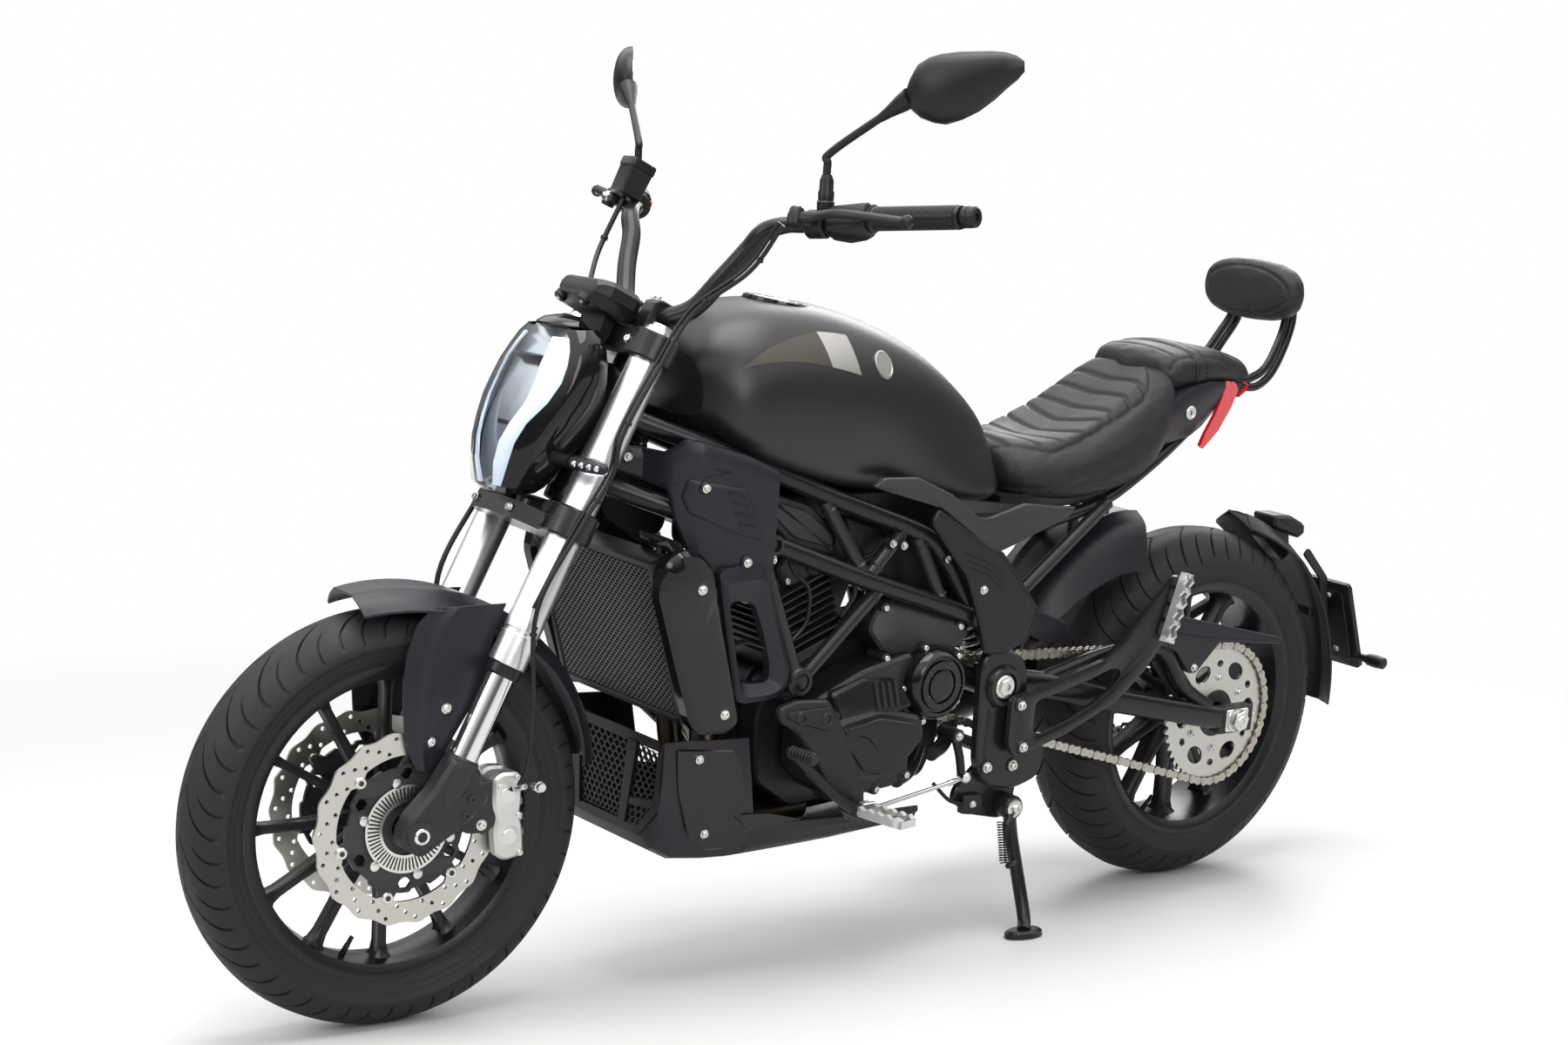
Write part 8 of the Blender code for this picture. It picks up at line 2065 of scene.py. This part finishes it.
# Rear plate arm: a narrow fender behind the tyre on a single arm from the right axle
# bracket, with a lamp on top, a bare plate holder, a reflector and two indicators.
tail_red = coating("tail_red", (0.6, 0.004, 0.012), 0.12, relief=0.0, gloss_coat=0.5)
bm = bmesh.new()
rows = []
for k in range(37):
    a = math.radians(184 - 74 * k / 36)
    edge = []
    for q in range(17):
        s = q / 8 - 1
        r = 0.352 - 0.024 * abs(s) ** 2.6 + 0.0035 * max(0.0, 1 - abs(abs(s) - 0.5) / 0.15)
        edge.append((r, 0.083 * s * (0.5 + 0.5 * min(1.0, (36 - k) / 11) ** 0.6)))
    edge += [(r - 0.0035, y * 0.985) for r, y in reversed(edge)]
    rows.append([(r * math.cos(a), y, REAR_AXLE_Z + r * math.sin(a)) for r, y in edge])
skin_rows(bm, rows)
pipe(bm, [(0.03, -0.17, 0.35), (-0.06, -0.17, 0.36), (-0.18, -0.14, 0.42), (-0.262, -0.07, 0.5),
          (-0.29, -0.04, 0.516)], 0.011)
rod_along(bm, (0.022, -0.1484, 0.345), (0.022, -0.179, 0.345), [(0, 0.016), (0.9, 0.016), (1, 0.014)], 28)
bolt(bm, (0.022, -0.179, 0.345), (0, -1, 0), 0.0065, 1)
plate_turn = Matrix.Translation((-0.374, 0, 0.43)) @ Matrix.Rotation(math.radians(20.5), 4, "Y")
slab = bmesh.new()
for x0, x1, half, look in ((-0.007, 0.003, 0.085, 0), (0.003, 0.007, 0.07, 0)):
    loop = rounded_outline([(half, half), (-half, half), (-half, -half), (half, -half)], 0.01)
    skin_rows(slab, [[(x, y * k, z * k) for y, z in loop] for x,
                     k in ((x0, 0.985), (x0 + 0.001, 1.0), (x1 - 0.001, 1.0), (x1, 0.985))])
for y, z in ((-0.04, 0.06), (0.04, 0.06), (-0.04, -0.05), (0.04, -0.05)):
    bolt(slab, (0.007, y, z), (1, 0, 0), 0.0045, 1)
    rod_along(slab, (-0.0085, y, z), (-0.006, y, z), [(0, 0.0065), (1, 0.007)], 18)
skin_rows(slab, [[(-0.009, -0.04, z), (-0.009, 0.04, z), (-0.006, 0.04, z), (-0.006, -0.04, z)]
                 for z in (-0.083, -0.066)], look=2)
add_part(bm, slab, plate_turn)
stem = rounded_outline([(-0.316, 0.47), (-0.316, 0.44), (-0.366, 0.436), (-0.372, 0.47)], 0.006)
cast_plate(bm, stem, 0.0, 0.052, 0.003)
hood = rounded_outline([(-0.19, 0.636), (-0.192, 0.612), (-0.262, 0.59), (-0.276, 0.598), (-0.272, 0.616),
                        (-0.232, 0.634)], 0.006)
cast_plate(bm, hood, 0.0, 0.056, 0.005)
cast_plate(bm, rounded_outline([(-0.196, 0.62), (-0.176, 0.596), (-0.236, 0.548), (-0.252, 0.56),
                                (-0.244, 0.61)], 0.006), 0.0, 0.034, 0.003)
skin_rows(bm, [[(-0.2775, y, z) for y in (-0.022, 0.022)] + [(-0.272, y, z) for y in (0.022, -0.022)]
               for z in (0.5985, 0.612)], look=3)
for s in (1, -1):
    rod_along(bm, (-0.4, s * 0.073, 0.372), (-0.4, s * 0.104, 0.372),
              [(0, 0.008), (0.5, 0.0068), (1, 0.0085)], 20)
    rod_along(bm, (-0.4, s * 0.1, 0.372), (-0.4, s * 0.142, 0.372),
              [(0, 0.007), (0.1, 0.011), (0.5, 0.012), (0.9, 0.0105), (1, 0.005)], 24, 0)
    ribs = rounded_outline([(-0.3, 0.52), (-0.25, 0.566), (-0.262, 0.578), (-0.322, 0.52), (-0.336, 0.44),
                            (-0.32, 0.44)], 0.006)
    crowned(bm, ribs, lambda x, z: 0.052, 0.005, 0, s, edge=0.001, centre=(-0.292, 0.515), rings=(1.0,))
reflector_red = coating("reflector_red", (0.35, 0.01, 0.01), 0.3, relief=0.0)
made = hung("plate_arm_set", bm, MACHINE, plain_black, "frame", 34, (zinc_bolt, reflector_red, tail_red))
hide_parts("rear_plate_arm")

# Rear shock: a coil spring over a damper body, between an eye on the swingarm and one on
# the frame.
bm = bmesh.new()
low_eye, high_eye = Vector((0.4687, 0, 0.4268)), Vector((0.5388, 0, 0.5455))
way = (high_eye - low_eye).normalized()
rod_along(bm, low_eye, high_eye, [(0, 0.012), (0.05, 0.02), (0.12, 0.02), (0.13, 0.031), (0.16, 0.031),
                                  (0.17, 0.018), (0.84, 0.018), (0.85, 0.031), (0.88, 0.031), (0.89, 0.02),
                                  (0.96, 0.02), (1, 0.012)], 32, 1)
coil = []
side_way = Vector((0, 1, 0))
cross_way = way.cross(side_way)
for k in range(6 * 20 + 1):
    a = 2 * math.pi * k / 20
    at = low_eye + way * (0.02 + 0.095 * k / 120)
    coil.append(at + side_way * 0.0262 * math.cos(a) + cross_way * 0.0262 * math.sin(a))
pipe(bm, coil, 0.0042, 10, 0, 1)
made = hung("shock_with_spring", bm, MACHINE, zinc_bolt, "frame", 40, (plain_black,))
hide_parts("rear_shock")

# Exhaust: two bent steel header pipes that run into one, welded to a black round silencer
# low on the right side.
heat_metal = coating("heat_metal", (0.16, 0.13, 0.11), 0.38, metal=1.0, grain=600, relief=0.05)
bm = bmesh.new()
for s in (1, -1):
    pipe(bm, [(1.0217, s * 0.045, 0.6013), (1.07, s * 0.046, 0.57), (1.085, s * 0.046, 0.48),
              (1.07, s * 0.04, 0.33), (1.02, s * 0.034, 0.238), (0.96, s * 0.03, 0.2305),
              (0.86, s * 0.022, 0.2305)], 0.0188, 28, 0, 8)
    flange_at, flange_way = Vector((1.03, s * 0.045, 0.598)), Vector((0.84, 0, -0.54)).normalized()
    rod_along(bm, flange_at - flange_way * 0.004, flange_at + flange_way * 0.004, [(0, 0.028), (1, 0.028)],
              28)
pipe(bm, [(0.88, 0.0, 0.2325), (0.7, -0.02, 0.24), (0.62, -0.07, 0.25), (0.54, -0.176, 0.262),
          (0.47, -0.206, 0.28)], 0.0198, 28, 0, 8)
muffler = Matrix.Translation((0.285, -0.216, 0.318)) @ Matrix.Rotation(math.radians(12), 4,
        "Y") @ Matrix.Rotation(math.radians(90), 4, "Z")
can = bmesh.new()
turned_part(can, [(0.001, 0.186), (0.022, 0.186), (0.024, 0.2), (0.036, 0.2), (0.04, 0.188), (0.052, 0.16),
                  (0.056, 0.15), (0.0565, 0.146), (0.056, 0.142), (0.056, -0.142), (0.0565, -0.146),
                  (0.056, -0.15), (0.05, -0.17), (0.036, -0.2), (0.001, -0.2)], 48, 1, closed=False)
add_part(bm, can, muffler)
made = hung("exhaust_bent", bm, MACHINE, heat_metal, "frame", 34, (plain_black,))
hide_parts("exhaust")

# Rider pegs: cast hangers with serrated silver pegs; the left carries the rubber-tipped
# gear lever with its ball-jointed rod, the right the brake pedal.
cast_peg = coating("cast_peg", (0.62, 0.62, 0.61), 0.34, metal=0.9, grain=1200, relief=0.2)


def serrated_peg(bm, root, tip, up_way, look=3, half=0.019, thick=0.009):
    """A peg of two toothed side rails joined by five bars."""
    root, tip, up_way = Vector(root), Vector(tip), Vector(up_way).normalized()
    way = tip - root
    over = way.normalized().cross(up_way).normalized()
    for s in (1, -1):
        rows = []
        for k in range(13):
            t = k / 12
            tooth = 0.0045 if k % 2 else 0.0
            wide = half * (0.72 if k in (0, 12) else 1.0)
            at = root + way * t
            rows.append([at + over * s * (wide - 0.007) - up_way * thick,
                         at + over * s * wide - up_way * thick,
                         at + over * s * (wide + 0.0015) + up_way * (thick * 0.35 + tooth),
                         at + over * s * (wide - 0.007) + up_way * (thick * 0.35 + tooth)])
        skin_rows(bm, rows, look=look)
    for t in (0.02, 0.27, 0.52, 0.77, 0.98):
        at = root + way * t
        a, b = at - way.normalized() * 0.004, at + way.normalized() * 0.004
        skin_rows(bm, [[p - over * half * 0.9 - up_way * thick, p + over * half * 0.9 - up_way * thick,
                        p + over * half * 0.9 + up_way * 0.003, p - over * half * 0.9 + up_way * 0.003]
                       for p in (a, b)], look=look)


def rider_hanger(side, name):
    """Hanger, peg and pedal; the left side (side 1) also has the gear rod."""
    bm = bmesh.new()
    arm = rounded_outline([(1.062, 0.452), (1.03, 0.46), (0.968, 0.456), (0.94, 0.42), (0.915, 0.37),
                           (0.88, 0.306), (0.872, 0.262), (0.9, 0.256), (0.932, 0.3), (0.99, 0.372),
                           (1.028, 0.414), (1.058, 0.43)], 0.01)
    crowned(bm, arm, lambda x, z: 0.203 - 0.1 * max(0.0, 0.34 - z), 0.014, 0, 1, edge=0.003,
            centre=(0.96, 0.385), rings=(1.0, 0.86))
    well = rounded_outline([(1.046, 0.446), (0.962, 0.446), (0.95, 0.42), (0.968, 0.408), (1.022, 0.424),
                            (1.046, 0.434)], 0.006)
    crowned(bm, well, lambda x, z: 0.205, 0.003, 0, 1, edge=0.002)
    for x, z in ((1.02, 0.434), (0.971, 0.428)):
        rod_along(bm, (x, 0.198, z), (x, 0.2065, z), [(0, 0.011), (0.8, 0.0105), (1, 0.0095), (1, 0.0062),
                (0.5, 0.006)], 24)
        rod_along(bm, (x, 0.198, z), (x, 0.2045, z), [(0, 0.0058), (1, 0.0052)], 6, 4)
    for x, z in ((0.948, 0.424), (0.955, 0.352)):
        rod_along(bm, (x, 0.1555, z), (x, 0.194, z), [(0, 0.0115), (1, 0.01)], 20)
    serrated_peg(bm, (0.896, 0.196, 0.283), (0.878, 0.2985, 0.283), (0, 0, 1))
    rod_along(bm, (0.906, 0.206, 0.284), (0.866, 0.206, 0.284), [(0, 0.0045), (1, 0.0045)], 14, 1)
    pipe(bm, [(0.905, 0.213, 0.28), (0.944, 0.2155, 0.304), (0.986, 0.217, 0.338), (1.046, 0.217, 0.388)],
         (0.0085, 0.0068), 18)
    rod_along(bm, (0.905, 0.188, 0.28), (0.905, 0.2225, 0.28), [(0, 0.0125), (0.9, 0.0125), (1, 0.011)], 26)
    bolt(bm, (0.905, 0.2215, 0.28), (0, 1, 0), 0.0056, 1)
    steps = [(0, 0.008)]
    for k in range(7):
        steps += [(0.06 + 0.12 * k, 0.0085), (0.09 + 0.12 * k, 0.0102), (0.14 + 0.12 * k, 0.0102),
                  (0.17 + 0.12 * k, 0.0085)]
    rod_along(bm, (1.046, 0.212, 0.388), (1.038, 0.264, 0.388), steps + [(0.95, 0.01), (1, 0.007)], 22, 4)
    if side > 0:
        a, b = Vector((0.88, 0.196, 0.27)), Vector((0.636, 0.16, 0.286))
        way = (b - a).normalized()
        rod_along(bm, a + way * 0.012, b - way * 0.014, [(0, 0.003), (0.08, 0.0048), (0.12, 0.0048),
                (0.14, 0.0034), (0.86, 0.0034), (0.88, 0.0048), (0.94, 0.0048), (1, 0.0032)], 14, 1)
        for end in (a, b):
            rod_along(bm, end - Vector((0, 0.006, 0)), end + Vector((0, 0.006, 0)),
                      [(0, 0.006), (0.2, 0.0088), (0.8, 0.0088), (1, 0.0055)], 20, 1)
        pipe(bm, [(0.636, 0.15, 0.286), (0.64, 0.146, 0.318), (0.648, 0.14, 0.35)], 0.007, 16)
        rod_along(bm, (0.648, 0.11, 0.352), (0.648, 0.15, 0.352), [(0, 0.0115), (1, 0.011)], 22)
        bolt(bm, (0.648, 0.15, 0.352), (0, 1, 0), 0.005, 1)
    else:
        bm.transform(Matrix.Diagonal((1, -1, 1, 1)))
    made = hung(name, bm, MACHINE, alloy_black, "frame", 32, (zinc_bolt, plain_black, cast_peg, hose_rubber))
    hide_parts("rider_peg_left" if side > 0 else "rider_peg_right")


rider_hanger(1, "rider_peg_left_cast")
rider_hanger(-1, "rider_peg_right_cast")


# Passenger hangers: forked black castings from the pivot plates, their silver pegs folded
# up against the arm on a spring pin.
def passenger_hanger(side, name):
    bm = bmesh.new()
    outline = [(0.566, 0.412), (0.5, 0.424), (0.36, 0.458), (0.29, 0.52), (0.216, 0.588), (0.196, 0.582),
               (0.2, 0.548), (0.216, 0.492), (0.27, 0.43), (0.33, 0.384), (0.44, 0.34),
               (0.548, REAR_AXLE_Z), (0.566, 0.334)]
    hole = [(0.512, 0.402), (0.48, 0.408), (0.386, 0.428), (0.352, 0.44), (0.33, 0.44), (0.322, 0.43),
            (0.33, 0.42), (0.34, 0.41), (0.364, 0.394), (0.384, 0.384), (0.43, 0.366), (0.5, 0.346),
            (0.514, 0.352)]
    outline, hole = rounded_outline(outline, 0.012, 3), rounded_outline(hole, 0.01, 3)
    rows = []
    for loop, y, near in ((outline, 0.168, 0), (outline, 0.1775, 0), (None, 0.18, 0.3), (None, 0.179, 0.75),
                          (hole, 0.176, 1), (hole, 0.169, 1), (None, 0.167, 0.5)):
        pts = loop or [(a[0] * (1 - near) + b[0] * near, a[1] * (1 - near) + b[1] * near) for a,
                       b in zip(outline, hole)]
        rows.append([(x, y, z) for x, z in pts])
    skin_rows(bm, rows, loop=True)
    for x, z in ((0.548, 0.4), (0.536, 0.33)):
        rod_along(bm, (x, 0.1573, z), (x, 0.1815, z), [(0, 0.013), (0.9, 0.013), (1, 0.0115)], 26)
        bolt(bm, (x, 0.1812, z), (0, 1, 0), 0.006, 1)
    serrated_peg(bm, (0.236, 0.1905, 0.482), (0.202, 0.1905, 0.59), (-0.3, 0.9, 0), 2, 0.015, 0.008)
    rod_along(bm, (0.25, 0.182, 0.486), (0.214, 0.182, 0.476), [(0, 0.005), (1, 0.005)], 14, 1)
    if side < 0:
        bm.transform(Matrix.Diagonal((1, -1, 1, 1)))
    made = hung(name, bm, MACHINE, frame_paint, "frame", 32, (zinc_bolt, cast_peg))
    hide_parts("passenger_peg_left" if side > 0 else "passenger_peg_right")


passenger_hanger(1, "passenger_peg_left_cast")
passenger_hanger(-1, "passenger_peg_right_cast")

# Rear caliper: a small black casting over the right disc, screwed to a flat hanger round
# the axle.
bm = bmesh.new()
shell = rounded_outline([(0.036, 0.404), (0.064, 0.414), (0.066, 0.44), (0.04, 0.464), (-0.004, 0.462),
                         (-0.02, 0.44), (-0.016, 0.418), (0.004, 0.408)], 0.008)
for y0, y1 in ((-0.137, -0.111), (-0.091, -0.069)):
    cast_plate(bm, shell, (y0 + y1) / 2, y1 - y0, 0.003)
cast_plate(bm, rounded_outline([(0.062, 0.428), (0.052, 0.46), (-0.01, 0.464), (-0.018, 0.446),
                                (-0.004, 0.448), (0.04, 0.448)], 0.004), -0.104, 0.058, 0.002)
hanger = rounded_outline([(0.022, 0.29), (0.024, 0.345), (0.052, 0.392), (0.036, 0.42), (-0.006, 0.42),
                          (-0.026, 0.345), (-0.026, 0.29)], 0.012)
cast_plate(bm, hanger, -0.12, 0.0078, 0.0015)
for x, z in ((0.046, 0.452), (-0.006, 0.454), (0.026, 0.408)):
    bolt(bm, (x, -0.137, z), (0, -1, 0), 0.005, 1)
made = hung("rear_caliper_cast", bm, MACHINE, alloy_black, "frame", 32, (zinc_bolt,))
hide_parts("rear_caliper")

# Side stand: a bent steel leg with a flat welded foot, on a pivot screw, pulled by two coil
# springs side by side.
bm = bmesh.new()
stand_x, stand_z = 0.534, 0.226
floor_spot = MACHINE @ Vector((0.54, 0.228, 0.012))
foot_rows = []
for h, a, b in ((0.0006, 0.034, 0.022), (0.002, 0.036, 0.024), (0.009, 0.035, 0.023), (0.0125, 0.03, 0.018)):
    foot_rows.append([to_bike @ Vector((floor_spot.x + a * math.cos(t), floor_spot.y + b * math.sin(t), h))
                      for t in full_turn(28)])
skin_rows(bm, foot_rows)
sole = to_bike @ Vector((floor_spot.x, floor_spot.y, 0.01))
pipe(bm, [(stand_x, 0.162, stand_z - 0.01), (stand_x - 0.004, 0.168, 0.176), (0.524, 0.19, 0.1),
          (0.528, 0.212, 0.052), tuple(sole)], 0.0108, 22)
rod_along(bm, (stand_x, 0.1403, stand_z), (stand_x, 0.172, stand_z),
          [(0, 0.0185), (0.08, 0.02), (0.92, 0.02), (1, 0.0185)], 32)
rod_along(bm, (stand_x, 0.1705, stand_z), (stand_x, 0.1745, stand_z),
          [(0, 0.015), (0.8, 0.015), (1, 0.0135)], 32, 1)
bolt(bm, (stand_x, 0.1735, stand_z), (0, 1, 0), 0.0078, 1, washer=False)
for d in (0.0, 0.013):
    a, b = Vector((stand_x + 0.026, 0.17 + d, 0.206)), Vector((stand_x + 0.02, 0.178 + d, 0.14))
    way = (b - a).normalized()
    over = way.cross(Vector((0, 1, 0))).normalized()
    third = way.cross(over)
    coil = [a + (b - a) * k / 192 + (over * math.cos(2 * math.pi * k / 12)
                                     + third * math.sin(2 * math.pi * k / 12)) * 0.005 for k in range(193)]
    pipe(bm, coil, 0.0011, 6, 2, 1)
rod_along(bm, (stand_x, 0.168, stand_z - 0.008), (stand_x + 0.028, 0.184, 0.204),
          [(0, 0.0055), (1, 0.0045)], 14)
rod_along(bm, (0.524, 0.18, 0.14), (stand_x + 0.022, 0.192, 0.138), [(0, 0.0055), (1, 0.0045)], 14)
made = hung("side_stand_bent", bm, MACHINE, frame_paint, "side_stand", 34, (zinc_bolt, hose_rubber))
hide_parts("side_stand")

# Stand switch: a small moulded sensor beside the stand's pivot, held by one screw, with its
# wire.
bm = bmesh.new()
cast_plate(bm, rounded_outline([(0.626, 0.252), (0.586, 0.25), (0.584, 0.226), (0.604, 0.218),
                                (0.628, 0.222)], 0.004), 0.144, 0.014, 0.002)
bolt(bm, (0.606, 0.1505, 0.236), (0, 1, 0), 0.0045, 1)
pipe(bm, [(0.628, 0.146, 0.238), (0.65, 0.14, 0.246), (0.668, 0.12, 0.27)], 0.0032, 12, 0)
hung("stand_switch", bm, MACHINE, hose_rubber, "frame", 34, (zinc_bolt,))

# Tail cowl: a black moulding under the pads, with a key lock in its left side. Each row
# gives x, the upper edge, half the width and the lower edge.
bm = bmesh.new()
tail_rows = []
for x, top, half, low in ((0.4, 0.722, 0.106, 0.706), (0.35, 0.742, 0.114, 0.716),
                          (0.3, 0.774, 0.117, 0.734), (0.25, 0.818, 0.117, 0.76),
                          (0.205, 0.862, 0.115, 0.784), (0.16, 0.884, 0.112, 0.792),
                          (0.126, 0.892, 0.108, 0.798), (0.096, 0.895, 0.103, 0.812),
                          (0.06, 0.893, 0.096, 0.838), (0.02, 0.889, 0.086, 0.862),
                          (-0.02, 0.884, 0.074, 0.874)):
    mid_z = (top + low) / 2
    side_line = [(half * 0.97, top), (half, top - 0.008), (half * 0.99, mid_z + 0.01),
                 (half * 0.955, mid_z - 0.012), (half * 0.86, low + 0.006), (half * 0.76, low)]
    tail_rows.append([(x, y, z) for y, z in side_line] + [(x, -y, z) for y, z in reversed(side_line)])
skin_rows(bm, tail_rows)
for s in (1, -1):
    rod_along(bm, (0.15, s * 0.104, 0.846), (0.15, s * 0.113, 0.846),
              [(0, 0.0115), (0.9, 0.0115), (1, 0.0105), (1, 0.0078), (0.94, 0.0075)], 30, 1)
    if s > 0:
        # The key slot is a thin dark sheet on the lock's face: painted shade in place of the shadowed opening
        # of the keyway.
        painted_keyway_shade = ((-0.001, -0.004), (0.001, -0.004), (0.001, 0.004), (-0.001, 0.004))
        skin_rows(bm, [[(0.15 + dx, y, 0.846 + dz) for dx, dz in painted_keyway_shade] for y in (0.1128, 0.1132)], look=2)
made = hung("tail_moulded", bm, MACHINE, violet_black, "frame", 30, (zinc_bolt, hose_rubber))
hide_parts("tail_cowl")

# Tail lamp: red moulded plastic, a blade on each side of the cowl and a bar that joins them
# round the end.
bm = bmesh.new()
for s in (1, -1):
    blade = [(0.05, 0.894), (0.016, 0.89), (0.004, 0.876), (0.024, 0.846), (0.062, 0.808), (0.108, 0.782),
             (0.118, 0.788), (0.104, 0.808), (0.078, 0.836), (0.06, 0.864)]
    crowned(bm, rounded_outline(blade, 0.004, 2), lambda x, z: 0.0835 + 0.26 * (x - 0.01), 0.01, 0, s,
            edge=0.002, centre=(0.056, 0.85), rings=(1.0, 0.9))
skin_rows(bm, [[(x, half * (k / 6 - 1), z) for k in range(13)]
               + [(x + 0.012, half * 0.9 * (1 - k / 6), z) for k in range(13)] for x, half,
               z in ((-0.012, 0.08, 0.889), (-0.02, 0.081, 0.884), (-0.017, 0.08, 0.874),
                     (-0.004, 0.076, 0.862))])
made = hung("tail_lamp_red", bm, MACHINE, tail_red, "frame", 30)
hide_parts("tail_lamp")

# Backrest arms: two bent steel arms, each of two rods that part in the middle, screwed to a
# plate behind the back pad.
bm = bmesh.new()
for s in (1, -1):
    arm = curve_through([(0.02, s * 0.07, 0.893), (-0.03, s * 0.073, 0.886), (-0.07, s * 0.073, 0.902),
                         (-0.102, s * 0.069, 0.942), (-0.128, s * 0.061, 0.99), (-0.134, s * 0.058, 1.056)],
                        6)
    for shift in (-0.0095, 0.0095):
        rows = []
        for k, p in enumerate(arm):
            way = (arm[min(k + 1, len(arm) - 1)] - arm[max(k - 1, 0)]).normalized()
            over = Vector((-way.z, 0, way.x))
            t = k / (len(arm) - 1)
            off = shift * min(1.0, 4 * t, 4 * (1 - t) + 0.2)
            rows.append([p + over * (off + 0.0076 * math.cos(a)) + Vector((0, 1, 0)) * 0.0062 * math.sin(a)
                         for a in full_turn(14)])
        skin_rows(bm, rows)
back = rounded_outline([(-0.128, 1.072), (-0.1195, 1.07), (-0.1195, 1.0), (-0.128, 0.998)], 0.002)
cast_plate(bm, back, 0.0, 0.14, 0.002)
for y in (-0.058, 0.058):
    for z in (1.014, 1.052):
        bolt(bm, (-0.134, y, z), (-1, 0, 0), 0.0048, 1)
made = hung("backrest_arms", bm, MACHINE, frame_paint, "frame", 34, (zinc_bolt,))
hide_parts("backrest_bracket")
